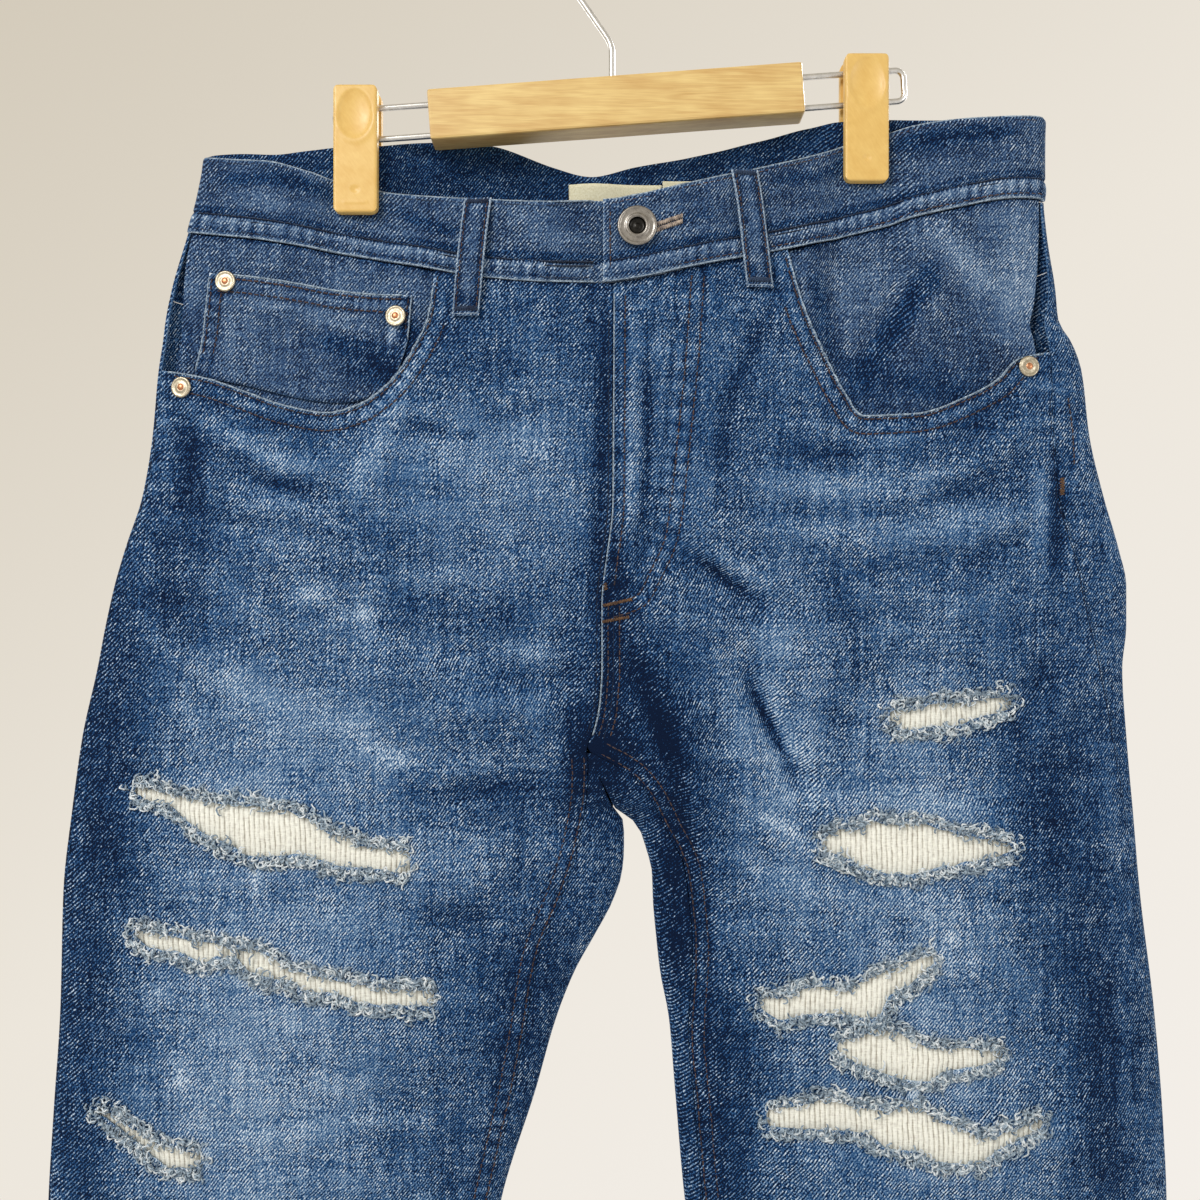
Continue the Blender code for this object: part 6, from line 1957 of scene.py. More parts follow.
@dataclass
class FrontPanel(Sewn):
    """One front panel, from the waistband and the pocket opening down to the hem, with its rips."""

    leg: Leg
    cut: tuple[float, float] = (285.0, 1005.0)
    pocket_share: float = 0.62
    fine_step: float = 2.8
    coarse_z: float = -655.0
    coarse_step: float = 7.0

    def inner_x(self, z: Array) -> Array:
        """x of the inner boundary: the centre seam, then the inseam."""
        z = np.asarray(z, float)
        seam = np.where(z >= CROTCH_Z, FORM.centre(Side.FRONT, z), INSEAM.read(self.leg.value, z))
        return seam - self.leg.inward * SEAM_GAP / 2

    def pocket(self) -> Curves:
        """The pocket opening's edge."""
        return POCKET_LEFT if self.leg is Leg.LEFT else POCKET_RIGHT

    def pocket_line(self) -> Array:
        """Places along the pocket opening, from the side to the waistband."""
        shares = np.linspace(0, 100, 60)
        return joined(self.pocket().read("x", shares), self.pocket().read("z", shares))

    def places(self) -> Array:
        """All rows of (x, z) places."""
        inward = self.leg.inward
        low = self.pocket_share * spaced(195, 2.9, high=False)
        high = self.pocket_share + (1 - self.pocket_share) * spaced(86, 2.3, low=False)
        across = np.concatenate([low, high[1:]])
        share = low / self.pocket_share * 100
        edge = joined(self.pocket().read("x", share), self.pocket().read("z", share))
        beyond = (high[1:] - self.pocket_share) / (1 - self.pocket_share)
        seam_x = edge[-1][0] + beyond * (float(self.inner_x(-180)) - edge[-1][0])
        seam = joined(seam_x, FORM.seam_z(Side.FRONT, seam_x) - SEAM_GAP / 2)
        edge[-1][1] = float(FORM.seam_z(Side.FRONT, edge[-1][0])) - SEAM_GAP / 2
        top = np.concatenate([edge, seam])
        top[0][0] = float(FORM.outseam(self.leg, top[0][1])) + inward * SIDE_GAP
        down = spaced(96, 2.7, high=False)
        outer_z = top[0][1] + down * (HIP_Z - top[0][1])
        inner_z = top[-1][1] + down * (HIP_Z - top[-1][1])
        outer = joined(FORM.outseam(self.leg, outer_z) + inward * SIDE_GAP, outer_z)
        inner = joined(self.inner_x(inner_z), inner_z)
        inner[0] = top[-1]
        hip = joined(outer[-1][0] + across * (inner[-1][0] - outer[-1][0]), HIP_Z)
        upper = coons(top, hip, outer, inner, across, down)
        fine = np.linspace(HIP_Z, self.coarse_z, round((HIP_Z - self.coarse_z) / self.fine_step) + 1)
        rows = round((self.coarse_z - PANEL_FOOT) / self.coarse_step) + 1
        coarse = np.linspace(self.coarse_z, PANEL_FOOT, rows)
        z = np.concatenate([fine[1:], coarse[1:]])[:, None]
        outer_x, inner_x = FORM.outseam(self.leg, z) + inward * SIDE_GAP, self.inner_x(z)
        lower = joined(outer_x + across[None] * (inner_x - outer_x), z)
        return np.concatenate([upper, lower])

    def seams(self) -> tuple[SeamWearAndShade, ...]:
        """The panel's sewn lines with their wear."""
        z_hip = np.linspace(-178, -408, 48)
        centre_line = tuple(zip(FORM.centre(Side.FRONT, z_hip), z_hip))
        z_leg = np.linspace(-414, HEM_Z, 80)
        inseam = tuple(zip(INSEAM.read(self.leg.value, z_leg), z_leg))
        z_side = np.linspace(-225, HEM_Z, 80)
        outseam = tuple(zip(FORM.outseam(self.leg, z_side), z_side))
        waist_x = np.linspace(self.pocket_line()[-1][0], 0, 24)
        waist = tuple(zip(waist_x, FORM.seam_z(Side.FRONT, waist_x)))
        pocket = tuple(map(tuple, self.pocket_line()))
        upper, lower = centre_line[:32], centre_line[30:]
        if self.leg is Leg.RIGHT:
            centre = (
                SeamWearAndShade(upper, (FLY_EDGE_ROW,), 0.42, 1.0, 0.3, 0.4, 9, 0.09, 6, 3),
                SeamWearAndShade(lower, FLY_FOOT_ROWS, 0.40, 1.1, 0.4, 0.4, 8, 0.08, 6, 8),
            )
            fly = (SeamWearAndShade(FLY_CURVE, FLY_ROWS, 0.0, 1.0, 0.3, 0.4, 9.0, 0.08, 6.0, 7),)
        else:
            centre = (
                SeamWearAndShade(upper, (), 0.0, 1.0, 0.3, 0.4, 9, 0.09, 6, 3),
                # The negative edge light paints shade along the lower centre seam.
                SeamWearAndShade(lower, (), -0.1, 1.1, 0.4, 0.4, 8, 0.08, 6, 8),
            )
            fly = ()
        return (
            SeamWearAndShade(pocket, POCKET_ROWS, 0.42, 1.0, 0.4, 0.6, 6.5, 0.13, 6.0, 2),
            *centre,
            SeamWearAndShade(inseam, INSEAM_ROWS, 0.16, 1.0, 0.4, 0.55, 8.0, 0.13, 6.5, 4),
            SeamWearAndShade(outseam, (), 0.12, 1.0, 0.0, 0.5, 11.0, 0.10, 5.0, 5),
            # The negative edge light paints the shadow under the waistband.
            SeamWearAndShade(waist, (), -0.20, 2.4, 0.0, 0.45, 10.0, 0.07, 8.0, 6),
            *fly,
        )

    def rips(self) -> dict[str, Rip]:
        """The panel's own tears."""
        return {name: rip for name, rip in RIPS.items() if name.startswith(self.leg.value)}

    def face(self, x: Array, z: Array, height: Array) -> Array:
        """Points above the panel's outer face."""
        out, _ = seam_effects(self.seams(), x, z)
        return FORM.points(Side.FRONT, self.leg, x, z, out + DENIM / 2 + height)

    def stitches(self) -> list[bpy.types.Object]:
        """Sews the panel's rows and bars, and lays the loose yarn round its rips."""
        inward = self.leg.inward
        pocket, centre, foot, inseam, outseam = (np.array(seam.line) for seam in self.seams()[:5])
        rust, worn, dark = Threads(self.face, 101), Threads(self.face, 131), Threads(self.face, 132)
        rust.row(pocket[2:], -inward * POCKET_ROWS[0])
        rust.row(pocket[3:-4], -inward * POCKET_ROWS[1])
        rust.rows(inseam, INSEAM_ROWS, -inward)
        worn.roll(pocket[1:-1], -inward * 0.3, 0.55, -0.05)
        # Near-black strands of painted shade beside the pocket opening and along the side seam.
        dark.roll(pocket[2:-2], -inward * 1.75, 0.4, -0.32)
        dark.roll(outseam[1:-1], -1.0, 1.0, -0.7)
        made = []
        if self.leg is Leg.RIGHT:
            rust.rows(FLY_CURVE, FLY_ROWS)
            rust.row(centre[2:], FLY_EDGE_ROW)
            rust.rows(foot[3:-1], FLY_FOOT_ROWS)
            worn.roll(centre[2:-1], 0.45, 0.5, 0.1)
            worn.roll(foot[1:-1], 0.45, 0.5, 0.1)
            # A near-black strand of painted shade along the fly's foot.
            dark.roll(foot[3:-1], 6.2, 0.7, -0.5)
            orange = Threads(self.face, 102)
            orange.tack((-4.4, -339.8), (9.6, -336.6), 1.5)
            orange.tack((-5.0, -347.8), (8.4, -345.2), 1.5)
            orange.tack((-3.6, -328.6), (-3.0, -332.2), 1.8)
            made.append(orange.build("fly_bartack", Finish.ORANGE_THREAD))
        else:
            # A near-black strand of painted shade along the centre seam and its foot.
            dark.roll(np.vstack([centre[4:-2], foot[1:-1]]), -1.7, 1.5, -1.1)
        made += build_threads(f"{self.leg.value}_front", stitching=rust, worn_folds=worn, crevices=dark)
        for k, (name, rip) in enumerate(self.rips().items()):
            made += Fray(name, rip, self.leg, 200 + k).build()
        return made

    def build(self) -> bpy.types.Object:
        """Makes the panel."""
        places = self.places()
        x, z = places[..., 0], places[..., 1]
        out, light = seam_effects(self.seams(), x, z)
        dye = DYE_AND_SHADE.at(Side.FRONT, x, z) + light
        scuff = marks(SCUFFS, x, z)
        hole = np.full(x.shape, -99.0)
        for k, rip in enumerate(self.rips().values()):
            opening = rip.opening(x, z) + 0.7 + 0.6 * ripple(x, z, 7, 30 + k)
            hole = np.maximum(hole, opening)
        lip = hill(np.minimum(hole, 0), 0, 5.5)
        out = out + 0.9 * hill(np.minimum(hole, 0), 0, 2.6)
        dye = dye + 0.07 * lip
        scuff = scuff + 0.55 * lip
        cloth = Cloth()
        points = FORM.points(Side.FRONT, self.leg, x, z, out)
        cloth.add_grid(points, dye, scuff, turn=self.leg is Leg.RIGHT, hole=hole)
        leg = self.leg.value
        return self.sew(cloth, f"{leg}_front_panel", f"front_{leg}", ("waistband_strip", f"{leg}_back_panel"))


def seat_gap(z: Array) -> Array:
    """Half the gap at the seat seam, wider where the cloth turns under at the fork."""
    near = hill(z, FORK_Z, 14)
    return np.where(z < FORK_Z - 0.1, 0.0, SEAM_GAP / 2 + 0.75 * near)


@dataclass
class BackPart(Sewn):
    """What the yoke and the back panel share: rows from the seat seam round the side to the outseam."""

    leg: Leg

    def seat_x(self, z: Array) -> Array:
        """x of the edge at the seat seam."""
        return FORM.inner_edge(Side.BACK, self.leg, z) - self.leg.inward * seat_gap(z)

    def yoke_z(self, share: Array) -> Array:
        """z of the yoke seam at a share of the way from the seat seam to the side."""
        end = -224.0 if self.leg is Leg.LEFT else 226.0
        return YOKE_SEAM.read("z", 3 + share * (end - 3))

    def across(self) -> Array:
        """Each column's share from the seat seam to the side."""
        return spaced(245, 3.4)

    def wrap(self) -> Array:
        """Each column's share from the outline to the outseam on the front."""
        count = 5 if self.leg is Leg.LEFT else 10
        return (np.arange(1, count + 1) / count) ** 1.4

    def row(self, z: Array, wrap_z: Array) -> Array:
        """One row of (side, x, z) places.

        Args:
            z: z at each column of the back.
            wrap_z: z at each column of the wrap.

        Returns:
            The places, columns by three.
        """
        share = self.across()
        seat, edge = self.seat_x(z), FORM.outer_edge(self.leg, z)
        side = np.where(share < 1, float(Side.BACK), float(Side.MIDDLE))
        if z[0] <= FORK_Z + 0.01:
            side[0] = Side.MIDDLE
        back = joined(side, seat + share * (edge - seat), z)
        start = FORM.outer_edge(self.leg, wrap_z)
        end = FORM.outseam(self.leg, wrap_z) - self.leg.inward * SIDE_GAP
        front = joined(float(Side.FRONT), start + self.wrap() * (end - start), wrap_z)
        return np.concatenate([back, front])

    def raise_cloth(self, cloth: Cloth, places: Array, seams: Sequence[SeamWearAndShade]) -> None:
        """Adds a grid of (side, x, z) places to a cloth, with its seams' wear on the back."""
        side, x, z = np.moveaxis(places, -1, 0)
        out, light = (np.where(side == Side.BACK, effect, 0) for effect in seam_effects(seams, x, z))
        points = FORM.points(side, self.leg, x, z, out)
        cloth.add_grid(points, DYE_AND_SHADE.at(side, x, z) + light, turn=self.leg is Leg.RIGHT)

    def face(self, x: Array, z: Array, height: Array) -> Array:
        """Points above the back's outer face."""
        return FORM.points(Side.BACK, self.leg, x, z, DENIM / 2 + height)

    def wrap_face(self, x: Array, z: Array, height: Array) -> Array:
        """Points above the outer face where the back comes round to the front."""
        return FORM.points(Side.FRONT, self.leg, x, z, DENIM / 2 + height)

    def seat_line(self) -> Line:
        """Places down the seat seam."""
        z = np.linspace(-158, FORK_Z, 50)
        return tuple(zip(FORM.centre(Side.BACK, z), z))

    def yoke_line(self) -> Line:
        """Places along the yoke seam."""
        share = np.linspace(0, 1, 40)
        z = self.yoke_z(share)
        seat, edge = self.seat_x(z), FORM.outer_edge(self.leg, z)
        return tuple(zip(seat + share * (edge - seat), z))


@dataclass
class BackPanel(BackPart):
    """One back panel: the seat, the leg, and the tongue that comes round the inner thigh."""

    cut: tuple[float, float] = (345.0, 990.0)
    seat_step: float = 4.5
    leg_step: float = 6.2

    def tongue(self, z: Array) -> Array:
        """Rows of (side, x, z) places on the front from the inseam to the leg's inner edge."""
        inward = self.leg.inward
        start = INSEAM.read(self.leg.value, z) + inward * SEAM_GAP / 2
        end = FORM.inner_edge(Side.FRONT, self.leg, z) - inward * seat_gap(z)
        share = np.sin(math.pi / 2 * np.linspace(0, 1, 9))
        x = start[:, None] + (end - start)[:, None] * share[None]
        side = np.full(x.shape, float(Side.FRONT))
        side[z <= FORK_Z + 0.01, -1] = Side.MIDDLE
        return joined(side, x, z[:, None])

    def build(self) -> bpy.types.Object:
        """Makes the panel."""
        share, wrap = self.across(), np.ones(len(self.wrap()))
        top = self.yoke_z(share) - SEAM_GAP / 2
        upper = [
            self.row(top + down * (HIP_Z - top), (top[-1] + down * (HIP_Z - top[-1])) * wrap)
            for down in spaced(75, 3.6, high=False)
        ]
        levels = np.linspace(HIP_Z, FORK_Z, round((HIP_Z - FORK_Z) / self.seat_step) + 1)
        seat = upper + [self.row(np.full(len(share), z), z * wrap) for z in levels[1:]]
        down = np.linspace(FORK_Z, PANEL_FOOT, round((FORK_Z - PANEL_FOOT) / self.leg_step) + 1)
        tongue = self.tongue(down)
        back = (self.row(np.full(len(share), z), z * wrap) for z in down)
        leg = np.stack([np.concatenate([inner[:-1], row]) for inner, row in zip(tongue, back)])
        leg[:, tongue.shape[1] - 1, 0] = Side.MIDDLE
        seams = (
            SeamWearAndShade(self.seat_line(), SEAT_ROWS, 0.16, 1.1, 0.3, 0.4, 9.0, 0.06, 7.0, 11),
            SeamWearAndShade(self.yoke_line(), (), 0.0, 1.2, 0.0, 0.35, 9.0, 0.06, 7.0, 12),
        )
        cloth = Cloth()
        self.raise_cloth(cloth, np.stack(seat), seams)
        self.raise_cloth(cloth, leg, seams)
        self.raise_cloth(cloth, self.tongue(np.linspace(CROTCH_Z - 1.5, FORK_Z, 12)), ())
        leg = self.leg.value
        return self.sew(cloth, f"{leg}_back_panel", f"back_{leg}", (f"{leg}_yoke",))

    def stitches(self) -> list[bpy.types.Object]:
        """Sews the seat seam's double row on the left panel, and the hip row and its bar on the right one."""
        made = []
        if self.leg is Leg.LEFT:
            rust = Threads(self.face, 103)
            rust.rows(self.seat_line()[SEAT_SPLIT:], SEAT_ROWS, -1)
        else:
            rust, orange = Threads(self.wrap_face, 104), Threads(self.wrap_face, 105)
            rust.row(((226.5, -236), (228.5, -252), (229.5, -270)))
            orange.tack((223.2, -276.5), (223.4, -285.0), 2.4)
            made.append(orange.build("hip_bartack", Finish.ORANGE_THREAD))
        return made + build_threads(f"{self.leg.value}_back", stitching=rust)


@dataclass
class Yoke(BackPart):
    """One back yoke, between the waistband and the back panel."""

    cut: tuple[float, float] = (262.0, 92.0)

    def build(self) -> bpy.types.Object:
        """Makes the yoke."""
        share = self.across()
        stations = real_stations(self.leg, share)
        top = FORM.seam_z(Side.BACK, stations) - SEAM_GAP / 2
        bottom = self.yoke_z(share) + SEAM_GAP / 2
        wrap_x = np.full(len(self.wrap()), float(FORM.outer_edge(self.leg, top[-1])))
        wrap_top = np.minimum(top[-1], FORM.seam_z(Side.FRONT, wrap_x) - SEAM_GAP / 2) - 0.3
        rows = [
            self.row(top + down * (bottom - top), wrap_top + down * (bottom[-1] - wrap_top))
            for down in spaced(70, 3.4)
        ]
        seams = (
            SeamWearAndShade(self.yoke_line(), SEAT_ROWS, 0.2, 1.1, 0.3, 0.4, 9.0, 0.07, 7.0, 13),
            SeamWearAndShade(self.seat_line(), SEAT_ROWS, 0.16, 1.1, 0.3, 0.4, 9.0, 0.06, 7.0, 11),
            # The negative edge light paints the shadow under the waistband.
            SeamWearAndShade(tuple(zip(stations, top)), (), -0.08, 1.6, 0.0, 0.3, 10.0, 0.04, 8.0, 14),
        )
        cloth = Cloth()
        self.raise_cloth(cloth, np.stack(rows), seams)
        return self.sew(cloth, f"{self.leg.value}_yoke", f"yoke_{self.leg.value}", ("waistband_strip",))

    def stitches(self) -> list[bpy.types.Object]:
        """Sews the double row along the yoke, and the left one's part of the seat seam."""
        rust = Threads(self.face, 106)
        rust.rows(self.yoke_line(), SEAT_ROWS, -self.leg.inward)
        if self.leg is Leg.LEFT:
            rust.rows(self.seat_line()[:SEAT_SPLIT], SEAT_ROWS, -1)
        return build_threads(f"{self.leg.value}_yoke", stitching=rust)


def real_stations(leg: Leg, share: Array) -> Array:
    """x along the waistband's back seam for shares from the seat seam to the side."""
    edge = float(FORM.outer_edge(leg, -150 if leg is Leg.LEFT else -138))
    return 4.0 + share * (edge - 4.0)


@dataclass
class Facing(Sewn):
    """The hip facing that shows inside a front pocket opening."""

    leg: Leg
    cut: tuple[float, float] = (165.0, 112.0)

    def depth(self, x: Array, z: Array) -> Array:
        """How far the facing lies inside the front panel's surface."""
        down = (FORM.seam_z(Side.FRONT, x) - z) / 82
        inner = (np.abs(x) - 75) / 38
        return 0.4 + 3.0 * np.maximum(ease(1.5 * down), ease(1 - inner))

    def places(self, across: Array, down: Array) -> Array:
        """A grid of (x, z) places from the waistband seam down past the pocket's edge.

        Args:
            across: Each column's share from the middle to the side.
            down: Each row's share from the waistband to the foot.

        Returns:
            The grid.
        """
        left = self.leg is Leg.LEFT
        if left:
            top_x, inner_bend, foot = -76, ((-78, -202),), (-97, -243)
        else:
            top_x, inner_bend, foot = 74, ((80, -200),), (94, -236)
        bend = ((-142, -258), (-190, -247)) if left else ((124, -258), (180, -249))
        inward = self.leg.inward
        top_end = float(FORM.outseam(self.leg, -153 if left else -138)) + inward * 1.1

        def top_at(share: Array) -> Array:
            """Places along the waistband seam."""
            x = top_x + share * (top_end - top_x)
            return joined(x, FORM.seam_z(Side.FRONT, x) - 0.4)

        def outer_at(share: Array) -> Array:
            """Places down the side."""
            start = top_at(np.array([1.0]))[0]
            z = start[1] + share * (-238 - start[1])
            x = FORM.outseam(self.leg, z)
            return joined(np.where(share > 0, x + inward * (0.4 + 1.6 * self.depth(x, z)), start[0]), z)

        across, down = (np.concatenate([[0], shares, [1]]) for shares in (across, down))
        top, outer = top_at(across), outer_at(down)
        inner = line_through(top[0], foot, down, inner_bend)
        bottom = line_through(foot, outer[-1], across, bend)
        return coons(top, bottom, inner, outer, across, down)[1:-1, 1:-1]

    def build(self) -> bpy.types.Object:
        """Makes the facing."""
        places = self.places(spaced(148, 2.8), spaced(95, 2.8))
        x, z = places[..., 0], places[..., 1]
        waist = tuple(zip(x[0], z[0] + 0.4))
        # The negative edge light paints the shadow under the waistband.
        seams = (SeamWearAndShade(waist, (), -0.16, 2.2, 0.0, 0.35, 10.0, 0.05, 9.0, 21),)
        out, light = seam_effects(seams, x, z)
        fades_and_shade = FACING_FADES_AND_SHADE[self.leg]
        dye = 0.288 + light + FADE_AND_SHADE_DEPTH * marks(fades_and_shade, x, z) + 0.025 * ripple(x, z, 20, 23)
        relief = marks(FACING_CREASES[self.leg], x, z)
        cloth = Cloth()
        points = FORM.points(Side.FRONT, self.leg, x, z, out + relief - self.depth(x, z))
        cloth.add_grid(points, dye, turn=self.leg is Leg.LEFT)
        leg, finishes = self.leg.value, (Finish.DENIM_SMALL, Finish.RAW_EDGE)
        holders = ("waistband_strip", f"{leg}_front_panel")
        name, solid = f"{leg}_hip_facing", f"facing_{leg}"
        return self.sew(cloth, name, solid, holders, finishes=finishes, slot="denim_dark")


# Lighter worn patches, with painted shade beside the coin pocket's inner corner, along the right facing's
# fold and along its foot under the front panel's pocket edge.
FACING_FADES_AND_SHADE: dict[Leg, tuple[Stroke | Bloom, ...]] = {
    Leg.LEFT: (
        Bloom(-208, -180, 10, 22, 0.06),
        Bloom(-214, -210, 7, 18, -0.06),
        Stroke(((-90, -196), (-100, -186), (-150, -170)), 8.0, 0.06),
        Bloom(-101, -216, 9, 17, -0.20),
    ),
    Leg.RIGHT: (
        Bloom(125, -180, 18, 22, 0.06),
        Bloom(205, -175, 16, 34, 0.18),
        Stroke(((150, -150), (166, -160), (195, -190)), 8.0, 0.14),
        Stroke(((160, -160), (157, -178), (146, -192), (132, -212), (118, -238)), 6.5, -0.15),
        Bloom(180, -215, 26, 26, -0.03),
        Bloom(150, -232, 40, 14, -0.07),
        Stroke(((98, -168), (104, -190), (112, -222)), 6.0, -0.10),
    ),
}
FACING_CREASES: dict[Leg, tuple[Stroke | Bloom, ...]] = {
    Leg.LEFT: (Stroke(((-214, -176), (-212, -214)), 5.0, -0.7),),
    Leg.RIGHT: (
        Stroke(((156, -168), (141, -190), (128, -212), (118, -234)), 8.0, -1.6),
        Stroke(((170, -160), (158, -188), (146, -214)), 9.0, 1.2),
        Stroke(((110, -172), (122, -196), (124, -216)), 7.0, 0.9),
    ),
}


@dataclass
class CoinPocket(Sewn):
    """The small patch pocket on the left facing; its foot runs under the front panel's edge."""

    facing: Facing
    cut: tuple[float, float] = (112.0, 66.0)
    across: tuple[float, float] = (0.16, 0.89)
    down: tuple[float, float] = (0.22, 0.82)

    def places(self, across: Array, down: Array) -> Array:
        """A grid of (x, z) places on the pocket, by its own shares."""
        low_x, high_x = self.across
        low_z, high_z = self.down
        return self.facing.places(low_x + across * (high_x - low_x), low_z + down * (high_z - low_z))

    def seams(self) -> tuple[SeamWearAndShade, ...]:
        """The pocket's top, outer and inner edges."""
        share = np.linspace(0, 1, 24)
        grid = self.places(share, share)
        top, outer, inner = (tuple(map(tuple, line)) for line in (grid[0], grid[:, -1], grid[:, 0]))
        return (
            SeamWearAndShade(top, COIN_TOP_ROWS, 0.36, 0.9, 0.4, 0.5, 5.5, 0.14, 6.0, 24),
            SeamWearAndShade(outer, COIN_SIDE_ROWS, 0.34, 0.9, 0.35, 0.4, 6.5, 0.11, 6.0, 25),
            SeamWearAndShade(inner, COIN_SIDE_ROWS[:1], 0.26, 1.0, 0.3, 0.4, 6.0, 0.09, 5.0, 26),
        )

    def face(self, x: Array, z: Array, height: Array) -> Array:
        """Points above the pocket's outer face."""
        out, _ = seam_effects(self.seams(), x, z)
        lift = LAYER - self.facing.depth(x, z) + out + DENIM / 2 + height
        return FORM.points(Side.FRONT, Leg.LEFT, x, z, lift)

    def stitches(self) -> list[bpy.types.Object]:
        """Sews the pocket's rows."""
        rust, worn, dark = Threads(self.face, 107), Threads(self.face, 133), Threads(self.face, 134)
        top, outer, inner = (np.array(seam.line) for seam in self.seams())
        rust.rows(top[1:-1], COIN_TOP_ROWS)
        rust.rows(outer[1:20], COIN_SIDE_ROWS)
        rust.row(inner[1:12], -COIN_SIDE_ROWS[0])
        for line in (top, outer, inner[:14]):
            worn.roll(line[1:-1], 0.0, 0.48, -0.05)
        # Near-black strands of painted shade along the top and outer edges' rows.
        dark.roll(top[1:-1], 1.3, 0.35, -0.3)
        dark.roll(top[1:-1], 9.4, 0.6, -0.5)
        dark.roll(outer[1:20], 8.0, 0.5, -0.42)
        return build_threads("coin_pocket", stitching=rust, worn_folds=worn, crevices=dark)

    def build(self) -> bpy.types.Object:
        """Makes the pocket."""
        places = self.places(spaced(104, 2.4), spaced(58, 2.4, high=False))
        x, z = places[..., 0], places[..., 1]
        out, light = seam_effects(self.seams(), x, z)
        dye = 0.308 + light + FADE_AND_SHADE_DEPTH * marks(COIN_FADES_AND_SHADE, x, z) + 0.025 * ripple(x, z, 18, 27)
        scuff = marks((Bloom(-187, -208, 5, 14, 0.25), Bloom(-112, -214, 8, 6, 0.5)), x, z)
        cloth = Cloth()
        lift = LAYER - self.facing.depth(x, z) + out
        cloth.add_grid(FORM.points(Side.FRONT, Leg.LEFT, x, z, lift), dye, scuff, turn=True)
        finishes = (Finish.DENIM_SMALL, Finish.RAW_EDGE)
        return self.sew(cloth, "coin_pocket_patch", "coin_pocket", ("left_hip_facing",), finishes=finishes)


# Lighter wear along the edges and a white wear line at the inner corner, with painted shadow under the
# pocket's folded inner corner.
COIN_FADES_AND_SHADE: tuple[Stroke | Bloom, ...] = (
    Stroke(((-150, -207), (-130, -211), (-108, -222)), 5.5, -0.11),
    Bloom(-112, -215, 9, 7, -0.08),
    Stroke(((-188, -188), (-150, -194), (-114, -204)), 5.0, 0.07),
    Stroke(((-189, -190), (-189, -226)), 4.0, 0.07),
    Bloom(-150, -212, 30, 12, -0.03),
    Bloom(-116, -223, 16, 9, -0.15),
    Stroke(((-105, -197), (-108, -203), (-110, -212)), 1.4, 0.30),
    Stroke(((-101, -200), (-104, -209)), 3.0, -0.14),
)


@dataclass
class BackPocket(Sewn):
    """A five-sided patch pocket on the seat, with a folded top."""

    leg: Leg
    top: tuple[float, float]
    size: tuple[float, float, float] = (142.0, 128.0, 152.0)
    cut: tuple[float, float] = (143.0, 156.0)
    lift: float = LAYER + 0.3

    def outline(self, across: Array, down: Array) -> Array:
        """A grid of (x, z) places on the pocket."""
        x, top_z = self.top
        width, side_height, point_height = self.size
        half, foot = width / 2, width / 2 - 5
        middle = np.abs(2 * across - 1)
        top = joined(x - half + width * across, top_z)
        foot_z = top_z - point_height + middle * (point_height - side_height)
        bottom = joined(x - foot + 2 * foot * across, foot_z)
        low, high = (line_through(top[end], bottom[end], down) for end in (0, -1))
        return coons(top, bottom, low, high, across, down)

    def edge(self) -> Line:
        """Places down one side, round the point and up the other side."""
        share = np.linspace(0, 1, 24)
        grid = self.outline(share, share)
        ring = np.concatenate([grid[:, 0], grid[-1, 1:], grid[::-1, -1][1:]])
        return tuple(map(tuple, ring))

    def build(self) -> bpy.types.Object:
        """Makes the pocket."""
        places = self.outline(spaced(self.size[0], 3.0), spaced(self.size[2], 3.2))
        x, z = places[..., 0], places[..., 1]
        out, light = seam_effects(self.seams(), x, z)
        middle = Bloom(self.top[0], self.top[1] - 70, 50, 50, 0.06)
        dye = DYE_AND_SHADE.at(Side.BACK, x, z) + light + middle.at(x, z)
        cloth = Cloth()
        cloth.add_grid(FORM.points(Side.BACK, self.leg, x, z, self.lift + out), dye, turn=True)
        leg = self.leg.value
        return self.sew(cloth, f"{leg}_back_pocket", f"back_pocket_{leg}", (f"{leg}_back_panel",))

    def seams(self) -> tuple[SeamWearAndShade, ...]:
        """The pocket's sewn edge and its folded top."""
        share = np.linspace(0, 1, 24)
        top = tuple(map(tuple, self.outline(share, share)[0]))
        return (
            SeamWearAndShade(self.edge(), PATCH_ROWS, 0.18, 1.0, 0.3, 0.35, 8.0, 0.06, 6.5, 31),
            SeamWearAndShade(top, PATCH_TOP_ROWS, 0.24, 1.0, 0.35, 0.35, 7.0, 0.08, 7.0, 32),
        )

    def face(self, x: Array, z: Array, height: Array) -> Array:
        """Points above the pocket's outer face."""
        out, _ = seam_effects(self.seams(), x, z)
        return FORM.points(Side.BACK, self.leg, x, z, self.lift + out + DENIM / 2 + height)

    def stitches(self) -> list[bpy.types.Object]:
        """Sews the pocket's rows, and a bar at each top corner."""
        rust = Threads(self.face, 108 + self.leg.inward)
        x, top_z = self.top
        half = self.size[0] / 2
        for inset in PATCH_ROWS:
            foot, low = half - 5 - inset, self.size[1] - 0.8 * inset
            point = self.size[2] - 1.1 * inset
            for sign in (-1, 1):
                rust.row(((x + sign * (half - inset), top_z - 1), (x + sign * foot, top_z - low)))
                rust.row(((x + sign * foot, top_z - low), (x, top_z - point)))
        for down in PATCH_TOP_ROWS:
            rust.row(((x - half + 2, top_z - down), (x + half - 2, top_z - down)))
        for sign in (-1, 1):
            rust.tack((x + sign * (half - 4.6), top_z - 1), (x + sign * (half - 4.8), top_z - 12), 2.4)
        worn = Threads(self.face, 135)
        for seam in self.seams():
            worn.roll(np.array(seam.line)[1:-1], 0.0, 0.48, -0.05)
        return build_threads(f"{self.leg.value}_back_pocket", stitching=rust, worn_folds=worn)


